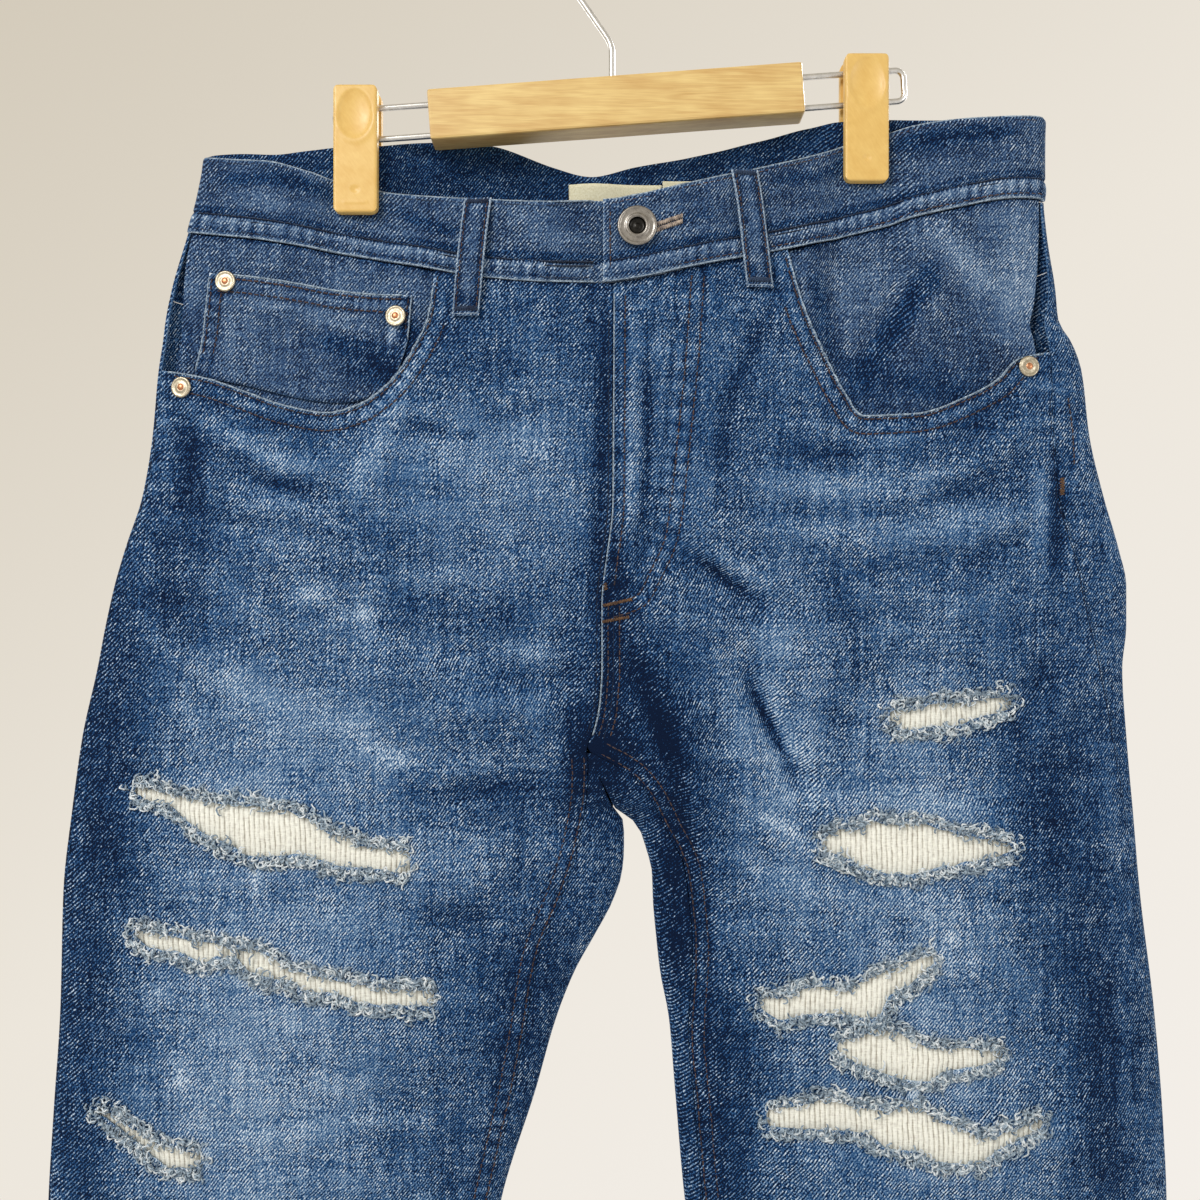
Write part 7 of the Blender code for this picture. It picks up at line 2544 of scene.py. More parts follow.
# Lighter worn patches, with dark strokes of painted shade along the creases at the clips and across the band.
BAND_FADES_AND_SHADE: tuple[Stroke | Bloom, ...] = (
    Bloom(178, -36, 42, 8, 0.06),
    Bloom(212, -12, 14, 12, 0.03),
    Bloom(170, -12, 40, 10, -0.05),
    Bloom(-172, -22, 16, 6, 0.09),
    Bloom(-120, -24, 22, 5, 0.08),
    Bloom(-45, -8, 10, 6, 0.09),
    Bloom(-25, -20, 18, 5, 0.06),
    Bloom(60, -9, 12, 5, 0.10),
    Bloom(20, -12, 8, 5, 0.08),
    Stroke(((-112, -9), (-88, -16), (-70, -18)), 3.2, -0.15),
    Stroke(((-196, -14), (-168, -8), (-140, -6)), 3.0, -0.11),
    Stroke(((24, -22), (40, -17), (52, -19)), 3.0, -0.10),
    Stroke(((76, -6), (100, -11), (130, -8)), 3.4, -0.13),
    Stroke(((150, -10), (176, -9), (205, -7)), 3.0, -0.10),
    Stroke(((-60, -24), (-35, -27), (-14, -25)), 2.6, -0.07),
)


@dataclass
class Waistband:
    """The folded strip all round, with its right end lapped over its left end at the front."""

    step: float = 3.0
    groove_up: float = 10.2
    rolled_down: float = 8.5
    top_row: float = 2.6
    seam_row: float = 2.3
    overlap_start: float = 75.0
    underlap_start: float = -40.0
    lap_run: float = 30.0
    buttonhole: Line = ((20.0, -18.6), (34.0, -17.2))
    # The outer and the inner face's levels; the inner face is darker as painted shade.
    levels: tuple[float, float] = (0.297, 0.145)
    cut: tuple[float, float] = (905.0, 43.0)
    held_by: tuple[str, ...] = (
        "left_clip_front_jaw",
        "left_clip_back_jaw",
        "right_clip_front_jaw",
        "right_clip_back_jaw",
    )

    def height(self, side: Side, x: float | Array) -> Array:
        """From the band's seam up to its top edge."""
        table = band_table(side)
        return table.read("top", x) - table.read("seam", x)

    def path(self) -> list[tuple[Side, float, float]]:
        """Stations round the band: side, the band's own x, and how far it stands off its line."""
        low, high = BAND_ENDS
        turn = (0.0, 0.5, 1.2, 2.2, 3.4, 5.0, 7.0)
        left_turn, right_turn = ([end + sign * t for t in turn] for end, sign in ((low, 1), (high, -1)))
        front_left = np.concatenate([np.arange(UNDERLAP_END, low + 8, -self.step), left_turn[::-1]])
        back = np.concatenate([left_turn[1:], np.arange(low + 9, high - 8, self.step), right_turn[::-1]])
        front_right = np.concatenate([right_turn[1:], np.arange(high - 9, OVERLAP_END, -self.step)])
        below = ease((front_left - self.underlap_start) / self.lap_run)
        stations = [(Side.FRONT, x, -BAND_LAP * float(share)) for x, share in zip(front_left, below)]
        stations += [(Side.BACK, x, 0.0) for x in back]
        above = self.overlap(front_right)
        stations += [(Side.FRONT, x, BAND_LAP * float(share)) for x, share in zip(front_right, above)]
        return stations + [(Side.FRONT, OVERLAP_END, BAND_LAP)]

    def overlap(self, x: Array) -> Array:
        """How far the right end has come over the left one, from 0 to 1."""
        return ease((self.overlap_start - x) / self.lap_run)

    def middle(self, side: Side, x: float, lap: float, depth: Array) -> Array:
        """Points of the band's middle surface at one station.

        Args:
            side: Front or back.
            x: The band's own x.
            lap: How far it stands off its line.
            depth: Millimetres below the top edge.

        Returns:
            The points.
        """
        table = band_table(side)
        top, seam = float(table.read("top", x)), float(table.read("seam", x)) + SEAM_GAP / 2
        share = depth / (top - seam)
        y_top, y_mid, y_seam = (float(table.read(name, x)) for name in ("y_top", "y_mid", "y_seam"))
        upper, lower = y_top + (y_mid - y_top) * 2 * share, y_mid + (y_seam - y_mid) * (2 * share - 1)
        y = np.where(share < 0.5, upper, lower)
        z = top - depth
        y = y + 0.5 * ripple(np.full(z.shape, x), z, 30, 41) * np.clip(np.abs(y) / 6, 0, 1)
        return joined(FORM.real_x(np.full(z.shape, x), z), int(side) * (y + lap), z)

    def section(self, height: float, x: float) -> tuple[Array, Array]:
        """The closed section: depth below the top edge and offset from the middle surface."""
        half, foot, groove = BAND / 2, height, height - self.groove_up
        top = np.array([0.05, 0.35, 0.9, 1.7])
        plain = np.linspace(3.0, groove - 2.6, 11)
        strip = np.array([-1.3, -0.6, 0.0, 0.6, 1.4, 2.8, 4.4, 6.0, 7.4]) + groove
        low = foot - np.array([1.7, 1.0, 0.45, 0.1])
        outer = np.concatenate([top, plain, strip, low])
        end = np.array([0.1, 0.5, 1.4, 3.0])
        inner = np.concatenate([foot - end, np.linspace(foot - 6, 6, 7), [3.0, 1.4, 0.5, 0.05]])

        def round_ends(depth: Array) -> Array:
            """Half the thickness, drawn in round the folded edges."""
            near = np.clip(np.minimum(depth, foot - depth) / half, 0, 1)
            return half * np.sqrt(np.clip(1 - (1 - near) ** 2, 0.02, 1))

        offset = round_ends(outer)
        offset = offset - 0.75 * hill(outer, groove, 0.75)
        offset = offset + (0.3 + 0.22 * self.pucker(x)) * hill(outer - groove, 4.4, 3.0)
        offset = offset - 0.45 * self.roll(x) * hill(outer, self.rolled_down, 2.4)
        offset = offset + 0.5 * self.roll(x) * hill(outer, 4.0, 2.4)
        return np.concatenate([outer, inner]), np.concatenate([offset, -round_ends(inner)])

    def pucker(self, x: float) -> float:
        """The waves of the sewn band, about -1 to 1."""
        return math.sin(math.tau * x / 6.3 + 1.7 * math.sin(x / 17))

    def roll(self, x: float) -> float:
        """How much the top edge rolls beside a clip."""
        return float(hill(x, -150, 40) + hill(x, 165, 34) + 0.4 * hill(x, 0, 70))

    def dye(self, depth: Array, offset: Array, height: float, x: float) -> Array:
        """How light the band is down one section, with painted shade in its grooves, under its rolled top
        edge and on its inner face.
        """
        wave, groove = self.pucker(x), height - self.groove_up
        level = np.where(offset > 0, *self.levels)
        level = level + 0.035 * ripple(np.full(depth.shape, x), depth * 2.5, 22, 43)
        outside = offset > -0.2
        level = level + outside * 0.30 * hill(depth, 0, 0.8)
        level = level + outside * (0.20 + 0.14 * wave) * hill(depth - groove, 2.2, 1.0)
        level = level + outside * (0.05 + 0.17 * wave) * hill(depth - groove, 5.4, 3.2)
        # Painted shade: dark lines in the groove, above it and above the foot, and under the rolled top edge
        # beside the clips.
        level = level - outside * 0.26 * hill(depth, groove, 1.0)
        level = level - outside * 0.17 * hill(depth - groove, -2.4, 0.9)
        level = level - outside * 0.16 * hill(depth - height, -2.6, 0.9)
        level = level + outside * (0.34 + 0.05 * wave) * hill(depth, height, 1.0)
        level = level - outside * 0.14 * self.roll(x) * hill(depth, self.rolled_down, 3.4)
        level = level + outside * marks(BAND_FADES_AND_SHADE, np.full(depth.shape, x), -depth)
        level = level + outside * 0.02 * float(ease((x - 150) / 60)) * hill(depth, 22, 14.0)
        return level

    def build(self) -> bpy.types.Object:
        """Makes the band."""
        stations = self.path()
        rows = []
        for side, x, lap in stations:
            height = float(self.height(side, x)) - SEAM_GAP / 2
            depth, offset = self.section(height, x)
            rows.append((self.middle(side, x, lap, depth), offset, self.dye(depth, offset, height, x)))
        centre, offset, dye = (np.stack(column) for column in zip(*rows))
        along = np.gradient(centre, axis=0)
        along[..., 2] = 0
        normal = unit(np.cross(along, np.array([0.0, 0.0, 1.0])))
        points = centre - offset[..., None] * normal
        end = 0.30 * hill(np.arange(len(stations))[::-1], 0, 0.8)
        dye = dye + end[:, None] * (offset > 0)
        closed = np.concatenate([points, points[:, :1]], axis=1)
        cloth = Cloth()
        cloth.add_grid(closed, np.concatenate([dye, dye[:, :1]], axis=1))
        rings = np.arange(closed.shape[0] * closed.shape[1]).reshape(closed.shape[:2])[:, :-1]
        cloth.faces += [tuple(rings[0].tolist()), tuple(rings[-1][::-1].tolist())]
        made = add_object("waistband_strip", cloth.mesh("waistband_strip"), Finish.DENIM_BAND)
        dress(made, "denim", "waistband")
        self.cut
        self.stitches()
        return made

    def stitches(self) -> list[bpy.types.Object]:
        """Sews the rows along the band, down its lapped end and round its buttonhole."""
        made = []
        low, high = BAND_ENDS
        pieces = (
            ("front_left", Side.FRONT, low, -7.0, 0.0),
            ("front_right", Side.FRONT, -3.0, high, 1.0),
            ("back", Side.BACK, low, high, 0.0),
        )
        for name, side, start, end, lap in pieces:

            def face(x: Array, down: Array, height: Array, side: Side = side, lap: float = lap) -> Array:
                """Points above the band's outer face, by its own x and millimetres below its top edge."""
                z = band_table(side).read("top", x) + down
                stand = lap * BAND_LAP * self.overlap(x)
                return FORM.points(side, Leg.RIGHT, FORM.real_x(x, z), z, stand + BAND / 2 + height)

            overlap = name == "front_right"
            rust, navy, worn, dark = (Threads(face, seed) for seed in (120, 121, 136, 137))
            trim = rust if overlap else navy
            x = np.linspace(start + 3, end - 2, 60)
            height = self.height(side, x)
            navy.row(joined(x, -(height - self.groove_up)), width=0.3)
            trim.row(joined(x, -(height - self.seam_row)), width=0.34)
            trim.row(joined(x, -self.top_row), width=0.28)
            worn.roll(joined(x, -(height - 0.5)), 0.0, 0.55, -0.25)
            worn.roll(joined(x, -0.7), 0.0, 0.5, -0.3)
            # Near-black strands of painted shade along the groove and 2 mm below it.
            dark.roll(joined(x, -(height - self.groove_up + 2.2)), 0.0, 0.42, -0.3)
            dark.roll(joined(x, -(height - self.groove_up + 0.2)), 0.0, 0.5, -0.75)
            made += build_threads(f"waistband_{name}", worn_folds=worn, crevices=dark)
            if overlap:
                rust.row(((OVERLAP_END + 3.4, -3.0), (OVERLAP_END + 3.4, -36.0)))
                hole = Threads(face, 122)
                for across in (-1.3, 1.3):
                    hole.tack(*((at, down + across) for at, down in self.buttonhole), 2.2, 0.5)
                made.append(hole.build("buttonhole", Finish.HOLE_THREAD))
                made += build_threads(f"waistband_{name}", stitching=rust)
            made += build_threads(f"waistband_{name}", groove_thread=navy)
        return made


@dataclass
class BeltLoop(Sewn):
    """A folded strap over the waistband, close to it at both ends and standing off between them."""

    name: str
    side: Side
    top: tuple[float, float]
    foot: tuple[float, float]
    cut: tuple[float, float] = (14.0, 75.0)

    def stand_off(self) -> Curves:
        """How far the strap's middle lies from the band's middle, by its share down."""
        rest = (BAND + LOOP_WALL) / 2 + 0.6
        lifts = (0.4, 1.8, 2.3, 2.1, 1.2, 0.2, -0.6)
        return Curves("down out", *((k / 6, rest + lift) for k, lift in enumerate(lifts)))

    def surface(self, across: Array, down: Array, lift: float = 0.0) -> Array:
        """Points on the strap by shares from -1 to 1 across and 0 to 1 down."""
        x = self.top[0] + down * (self.foot[0] - self.top[0]) + across * LOOP_WIDTH / 2
        z = self.top[1] + down * (self.foot[1] - self.top[1])
        leg = Leg.LEFT if self.top[0] < 0 else Leg.RIGHT
        crown = 0.35 * (1 - np.abs(across) ** 4) - 0.2
        furrow = 0.22 * hill(np.abs(across), 0.76, 0.1)
        return FORM.points(self.side, leg, x, z, self.stand_off().read("out", down) + crown - furrow + lift)

    def build(self) -> bpy.types.Object:
        """Makes the strap."""
        across, down = np.meshgrid(2 * spaced(LOOP_WIDTH, 1.1) - 1, spaced(58, 1.7))
        points = self.surface(across, down)
        edge = 0.34 * hill(1, np.abs(across), 0.12)
        ends = 0.16 * hill(np.minimum(down, 1 - down), 0, 0.02)
        dye = 0.26 + edge + ends + 0.05 * ripple(across * 8, down * 60, 9, 51)
        # Painted shade in the furrows inside the edges and in a band just above the foot's bar.
        dye = dye - 0.13 * hill(np.abs(across), 0.74, 0.14)
        dye = dye + 0.07 * hill(across, 0, 0.35) - 0.12 * hill(down, 0.87, 0.05)
        cloth = Cloth()
        cloth.add_grid(points, dye, 0.25 * edge, turn=self.side == Side.BACK)
        name, solid = f"{self.name}_belt_loop", f"belt_loop_{self.name}"
        finishes = (Finish.DENIM_BAND, Finish.RAW_EDGE)
        return self.sew(cloth, name, solid, ("waistband_strip",), LOOP_WALL - 0.2, finishes)

    def stitches(self) -> list[bpy.types.Object]:
        """Sews both rows down the strap and a bar across each end."""

        def face(across: Array, down: Array, height: Array) -> Array:
            """Points above the strap's outer face, by millimetres across and down it."""
            return self.surface(across / (LOOP_WIDTH / 2), np.clip(-down / 58, 0, 1), LOOP_WALL / 2 + height)

        rust, bars, worn, dark = (Threads(face, seed) for seed in (110, 111, 138, 139))
        for across in (-4.9, 4.9):
            rust.row(((across, -2.0), (across, -56.5)), pitch=2.9)
        for down in (1.6, 54.6):
            bars.tack((-5.4, -down), (5.4, -down), 2.2)
        # The dark rolls are near-black strands of painted shade inside the stitch rows.
        for sign in (-1, 1):
            worn.roll(((6.1 * sign, -1.0), (6.1 * sign, -56.5)), 0.0, 0.45, -0.2)
            dark.roll(((3.9 * sign, -2.0), (3.9 * sign, -52.5)), 0.0, 0.4, -0.32)
        worn.roll(((-6.0, -57.0), (6.0, -57.0)), 0.0, 0.42, -0.2)
        name = f"{self.name}_belt_loop"
        return build_threads(name, worn_folds=worn, crevices=dark, stitching=rust, bars=bars)


@dataclass
class Hem(Sewn):
    """The turned-up hem, a closed band round the leg's foot with the pulled look of a washed hem."""

    leg: Leg
    cut: tuple[float, float] = (395.0, 15.0)

    def ends(self, z: float) -> list[float]:
        """x of the leg's left and right edges."""
        return sorted((float(INNER_EDGE.read(self.leg.value, z)), float(FORM.outer_edge(self.leg, z))))

    def ring(self, z: float, count: int = 90) -> Array:
        """Rows of (side, x, z) places once round the leg."""
        left, right = self.ends(z)
        share = (1 - np.cos(np.linspace(0, math.pi, count))) / 2
        front = joined(float(Side.FRONT), left + share * (right - left), z)
        back = joined(float(Side.BACK), right - share * (right - left), z)
        front[[0, -1], 0] = Side.MIDDLE
        back[-1, 0] = Side.MIDDLE
        return np.concatenate([front, back[1:]])

    def build(self) -> bpy.types.Object:
        """Makes the hem."""
        top = HEM_Z + HEM_HEIGHT
        z = top + spaced(HEM_HEIGHT, 1.8) * (HEM_Z - top)
        places = np.stack([self.ring(value) for value in z])
        side, x, z = np.moveaxis(places, -1, 0)
        down = (top - z) / HEM_HEIGHT
        slant = x * np.where(side == Side.BACK, -1, 1) - 9 * down
        wave = np.sin(math.tau * slant / 8.5 + 1.4 * np.sin(slant / 19))
        out = 0.28 * wave * np.sin(math.pi * down) - 0.3 * hill(down, 0.13, 0.06)
        dye = 0.36 + 0.09 * wave + 0.28 * hill(1, down, 0.09) + 0.1 * hill(down, 0, 0.06)
        cloth = Cloth()
        cloth.add_grid(FORM.points(side, self.leg, x, z, out), dye, 0.1)
        leg = self.leg.value
        holders = (f"{leg}_front_panel", f"{leg}_back_panel")
        return self.sew(cloth, f"{leg}_hem", f"hem_{leg}", holders, HEM_WALL - 0.2)

    def stitches(self) -> list[bpy.types.Object]:
        """Sews the row round the top of the hem."""
        made = []
        left, right = self.ends(HEM_Z)
        row_z, fold_z = HEM_Z + HEM_HEIGHT - 2.0, HEM_Z + 0.7
        for side in (Side.FRONT, Side.BACK):

            def face(x: Array, z: Array, height: Array, side: Side = side) -> Array:
                """Points above the hem's outer face."""
                return FORM.points(side, self.leg, x, z, HEM_WALL / 2 - 0.25 + height)

            rust, worn = Threads(face, 112), Threads(face, 140)
            rust.row(((left + 3, row_z), (right - 3, row_z)))
            worn.roll(((left + 1, fold_z), (right - 1, fold_z)), 0.0, 0.62, -0.3)
            made += build_threads(f"{self.leg.value}_hem_{side.name.lower()}", worn_fold=worn, stitching=rust)
        return made


@dataclass
class RipPatch(Sewn):
    """The ribbed backing cloth behind a rip or a group of them."""

    name: str
    left: float
    right: float
    foot: float
    top: float
    pitch: float = 2.5
    row_step: float = 5.5

    @property
    def cut(self) -> tuple[float, float]:
        """The cut, with the cloth that the ribs and the bulge take up."""
        return (self.right - self.left) * 1.08, (self.top - self.foot) * 1.03

    def build(self) -> bpy.types.Object:
        """Makes the backing with its raised ribs."""
        leg = Leg(self.name.split("_")[0])
        z = np.linspace(self.top, self.foot, round((self.top - self.foot) / self.row_step) + 1)
        x = np.arange(self.left, self.right, self.pitch / 4)
        phase = np.arange(len(x)) % 4
        grid_x, grid_z = np.meshgrid(x, z)
        side = FORM.outseam(leg, grid_z) + leg.inward * 3
        grid_x = np.maximum(grid_x, side) if leg is Leg.LEFT else np.minimum(grid_x, side)
        swing = 0.35 * ripple(0.3 * grid_x, grid_z, 26, 61) + 0.22 * ripple(grid_x, grid_z, 13, 62)
        relief = np.array([-0.45, 0.1, 0.22, 0.1])[phase][None] * (1 + 0.2 * ripple(grid_x, grid_z, 9, 63))
        uneven = np.random.default_rng(64).uniform(0.35, 1.15, (len(z), len(x) // 4 + 1))
        # Painted shade in the gaps between the ribs, uneven from row to row.
        gap = np.array([1.0, 0.08, 0.0, 0.08])[phase][None] * uneven[:, np.arange(len(x)) // 4]
        tears = [rip.opening(grid_x, grid_z) for name, rip in RIPS.items() if name.startswith(leg.value)]
        bulge = 0.9 * ease((np.max(tears, axis=0) + 2) / 6)
        points = FORM.points(Side.FRONT, leg, grid_x + swing, grid_z, relief + bulge - LAYER)
        cloth = Cloth(("gap", "dust"))
        cloth.add_grid(points, gap)
        name, solid, holder = f"{self.name}_backing", f"rip_patch_{self.name}", f"{leg.value}_front_panel"
        return self.sew(cloth, name, solid, (holder,), PATCH_WALL - 0.2, (Finish.RIBBED,), "ribbed_backing")


# ---------------------------------------------------------------- stitches and loose yarn
Surface = Callable[[Array, Array, Array], Array]
STITCH_THINNING = np.array([0.7, 1, 1, 1, 0.7])


class Threads:
    """Stitches of one thread on one sewn piece."""

    def __init__(self, surface: Surface, seed: int = 1) -> None:
        """Keeps what they lie on.

        Args:
            surface: Gives points for places x and z at a height above the piece's outer face.
            seed: Picks the stitches' small differences.
        """
        self.surface = surface
        self.random = np.random.default_rng(seed)
        self.strands = Strands(3)

    def rows(self, line: Line | Array, offsets: Sequence[float], sign: int = 1) -> None:
        """Sews a row of stitches at each offset.

        Args:
            line: The places that the rows follow.
            offsets: How far from the line each row lies.
            sign: 1 for rows on the line's left and -1 for rows on its right.
        """
        for offset in offsets:
            self.row(line, sign * offset)

    def row(self, line: Line | Array, offset: float = 0.0, pitch: float = 3.1, width: float = 0.42) -> None:
        """Sews a straight row of stitches.

        Args:
            line: The places that it follows.
            offset: How far to the line's left it lies.
            pitch: From one stitch to the next.
            width: Half the thread's width.
        """
        path = beside(sampled(line, 1.0), offset)
        lengths = run_lengths(path)
        count = int(lengths[-1] / pitch)
        if count < 1:
            return
        start = (np.arange(count) + 0.12) * pitch + self.random.normal(0, 0.05, count)
        share = np.array([0.0, 0.13, 0.37, 0.63, 0.82]) * pitch
        at = start[:, None] + share[None]
        x, z = np.interp(at, lengths, path[:, 0]), np.interp(at, lengths, path[:, 1])
        drift = self.random.normal(0, 0.08, (2, count, 1))
        height = np.array([-0.3, 0.14, 0.24, 0.14, -0.3])[None] * np.ones((count, 1))
        self.strands.add(self.surface(x + drift[0], z + drift[1], height), width * STITCH_THINNING)

    def roll(self, line: Line | Array, offset: float = 0.0, width: float = 0.7, height: float = 0.0) -> None:
        """Lays one unbroken uneven yarn, folded edge or near-black strand of painted shade along a line.

        Args:
            line: The places that it follows.
            offset: How far to the line's left it lies.
            width: Half its width.
            height: How far its middle is above the outer face.
        """
        path = beside(sampled(line, 2.0), offset)
        along = 2.0 * np.arange(len(path))
        size = width * (1 + 0.2 * ripple(along, path[:, 1], 5, 77))
        self.strands.add(self.surface(path[:, 0], path[:, 1], np.full(len(path), height))[None], size[None])

    def tack(
        self, start: tuple[float, float], end: tuple[float, float], width: float, pitch: float = 0.62
    ) -> None:
        """Sews a dense zigzag bar.

        Args:
            start: The middle of one end.
            end: The middle of the other end.
            width: How wide the bar is.
            pitch: From one crossing thread to the next.
        """
        first, last = np.array(start), np.array(end)
        length = float(np.hypot(*(last - first)))
        along = (last - first) / length
        across = np.array([-along[1], along[0]])
        count = max(3, int(length / pitch))
        base = first + (np.arange(count)[:, None] + 0.5) * length / count * along
        share = np.array([-0.5, -0.3, 0.0, 0.3, 0.5])
        lean = 0.3 * pitch * np.where(np.arange(count) % 2, 1, -1)
        crossing = share[None, :, None] * width * across
        places = base[:, None] + crossing + (share * 2)[None, :, None] * lean[:, None, None] * along
        places += self.random.normal(0, 0.07, places.shape)
        height = np.array([-0.2, 0.35, 0.5, 0.35, -0.2])[None] * np.ones((count, 1))
        self.strands.add(self.surface(places[..., 0], places[..., 1], height), 0.36 * STITCH_THINNING)

    def build(self, name: str, finish: Finish) -> bpy.types.Object:
        """The stitches as one piece."""
        return dress(self.strands.build(name, finish), "denim")


THREAD_FINISHES = {
    "stitching": Finish.RUST_THREAD,
    "groove_thread": Finish.NAVY_THREAD,
    "bars": Finish.NAVY_THREAD,
    "worn_fold": Finish.WORN_FOLD,
    "worn_folds": Finish.WORN_FOLD,
    # Near-black strands along seams paint shade.
    "crevices": Finish.PAINTED_CREVICE_SHADE,
}


def build_threads(piece: str, **threads: Threads) -> list[bpy.types.Object]:
    """Builds the threads of a sewn piece.

    Args:
        piece: The sewn piece's name, which each thread's name starts with.
        **threads: The threads, each by its kind, which gives the rest of its name and its finish.

    Returns:
        The threads' pieces.
    """
    return [each.build(f"{piece}_{kind}", THREAD_FINISHES[kind]) for kind, each in threads.items()]


@dataclass
class Fray:
    """The curled yarn ends round one rip, lying back on the cloth and a little over the opening."""

    name: str
    rip: Rip
    leg: Leg
    seed: int
    per_mm: float = 2.7
    reach: float = 4.3
    white_share: float = 0.38
    radius: float = 0.54

    def roots(self, random: np.random.Generator) -> tuple[Array, Array]:
        """Places on both lips where yarn ends start, and the angle out of the opening at each."""
        places, angles = [], []
        for line, out in ((self.rip.upper, 1), (self.rip.lower, -1)):
            path = sampled(line, 0.5)
            lean = np.gradient(path, axis=0)
            pick = random.integers(0, len(path), int(len(path) * 0.5 * self.per_mm))
            away = out * joined(-lean[:, 1], lean[:, 0])
            places.append(path[pick])
            angles.append(np.arctan2(away[pick, 1], away[pick, 0]))
        for end, turn in ((0, math.pi), (-1, 0.0)):
            middle = (np.array(self.rip.upper[end]) + np.array(self.rip.lower[end])) / 2
            count = int(3 * self.per_mm)
            places.append(middle + random.normal(0, 1.0, (count, 2)))
            angles.append(turn + random.normal(0, 0.9, count))
        return np.vstack(places), np.concatenate(angles)

    def curls(self, random: np.random.Generator, roots: Array, angles: Array) -> Array:
        """Curly paths from the roots.

        Args:
            random: Where chance comes from.
            roots: One place for each strand.
            angles: The way out of the opening at each.

        Returns:
            Strands by points by three, in millimetres.
        """
        count, steps = len(roots), 8
        step = random.uniform(0.5, 1.1, (count, 1)) * self.reach / 5
        bend = random.choice([-1, 1], (count, 1)) * random.uniform(0.2, 0.7, (count, 1))
        place = np.arange(steps)[None]
        heading = angles[:, None] + random.normal(0, 1.0, (count, 1)) + bend * place
        swing, phase = random.uniform(0.2, 0.8, (count, 1)), random.uniform(0, 6, (count, 1))
        heading = heading + swing * np.sin(1.7 * place + phase)
        start = roots + joined(np.cos(angles), np.sin(angles)) * random.normal(2.5, 1.25, (count, 1))
        x = start[:, :1] + np.cumsum(step * np.cos(heading), axis=1)
        z = start[:, 1:] + np.cumsum(step * np.sin(heading), axis=1)
        rise = random.uniform(0.3, 1.5, (count, 1)) * np.sin(math.pi * (place + 0.6) / steps)
        rise = rise + random.uniform(0, 0.5, (count, 1))
        return FORM.points(Side.FRONT, self.leg, x, z, DENIM / 2 + 0.4 + rise)

    def build(self) -> list[bpy.types.Object]:
        """Makes the yarn ends in two shades."""
        random = np.random.default_rng(self.seed)
        roots, angles = self.roots(random)
        paths = self.curls(random, roots, angles)
        white = random.random(len(paths)) < self.white_share
        made = []
        for shade, pick, finish in (("blue", ~white, Finish.FRAY), ("white", white, Finish.FRAY_WHITE)):
            strands = Strands(3)
            strands.add(paths[pick], self.radius * np.array([0.9, 1, 1, 1, 1, 0.9, 0.75, 0.5]))
            made.append(dress(strands.build(f"{self.name}_fray_{shade}", finish), "denim"))
        return made


# ---------------------------------------------------------------- labels and metal parts
@dataclass
class WovenLabel(Sewn):
    """A bare woven tape on the inside of the waistband's back."""

    name: str
    left: float
    right: float
    top: float
    height: float

    @property
    def cut(self) -> tuple[float, float]:
        """The cut, with the turn of its ends."""
        return self.right - self.left + 0.5, self.height + 0.5

    def build(self) -> bpy.types.Object:
        """Makes the tape with folded ends and a soft wave."""
        across, down = np.linspace(0, 1, 42), np.linspace(0, 1, 16)
        x, z = np.meshgrid(self.left + (self.right - self.left) * across, self.top - self.height * down)
        wave = 0.25 * ripple(x, z, 16, 71) * np.sin(math.pi * down)[:, None]
        fold = 0.25 * (hill(x, self.left, 1.5) + hill(self.right, x, 1.5))
        points = FORM.points(Side.BACK, Leg.RIGHT, x, z, wave - fold - (BAND + LABEL_WALL) / 2 - 0.9)
        cloth = Cloth(("tone", "dust"))
        cloth.add_grid(points, np.zeros(x.shape), turn=True)
        name, holders = f"woven_{self.name}", ("waistband_strip",)
        return self.sew(cloth, name, self.name, holders, LABEL_WALL, (Finish.TAPE,), "cream_tape")


def resting_place(leg: Leg, x: float, z: float, lift: float) -> Matrix:
    """A frame on the front cloth whose Z points out of the garment.

    Args:
        leg: Which half.
        x: Where, across.
        z: Where, down.
        lift: How far out of the cloth's middle.

    Returns:
        The frame, in millimetres.
    """
    around = np.array([[0, 4, -4, 0, 0], [0, 0, 0, 4, -4]])
    spots = FORM.points(Side.FRONT, leg, x + around[0], z + around[1], lift)
    across, up = Vector(spots[1] - spots[2]).normalized(), Vector(spots[3] - spots[4]).normalized()
    out = across.cross(up).normalized()
    up = out.cross(across)
    frame_here = Matrix((across, up, out)).transposed().to_4x4()
    frame_here.translation = Vector(spots[0])
    return frame_here


def turned(
    name: str, profile: Line, place: Matrix, finishes: Sequence[Finish], shade: Sequence[int], sides: int
) -> bpy.types.Object:
    """A turned part.

    Args:
        name: The object's name.
        profile: Radius and height of each ring, from the back round to the front's middle.
        place: Where it sits, in millimetres.
        finishes: Its finishes.
        shade: Which finish each band between two rings has.
        sides: How many flats it is turned with.

    Returns:
        The object.
    """
    angles = math.tau * np.arange(sides) / sides
    rings = np.array([[(r * math.cos(a), r * math.sin(a), h) for a in angles] for r, h in profile])
    flat = rings.reshape(-1, 3) @ np.array(place.to_3x3()).T + np.array(place.translation)
    faces, bands = [], []
    for k in range(len(profile) - 1):
        for n in range(sides):
            a, b = k * sides + n, k * sides + (n + 1) % sides
            faces.append((a, b, b + sides, a + sides))
            bands.append(shade[k])
    faces += [tuple(range(sides))[::-1], tuple(range(len(flat) - sides, len(flat)))]
    bands += [shade[0], shade[-1]]
    mesh = new_mesh(name, flat, faces, 50)
    mesh.polygons.foreach_set("material_index", bands)
    return add_object(name, mesh, *finishes)


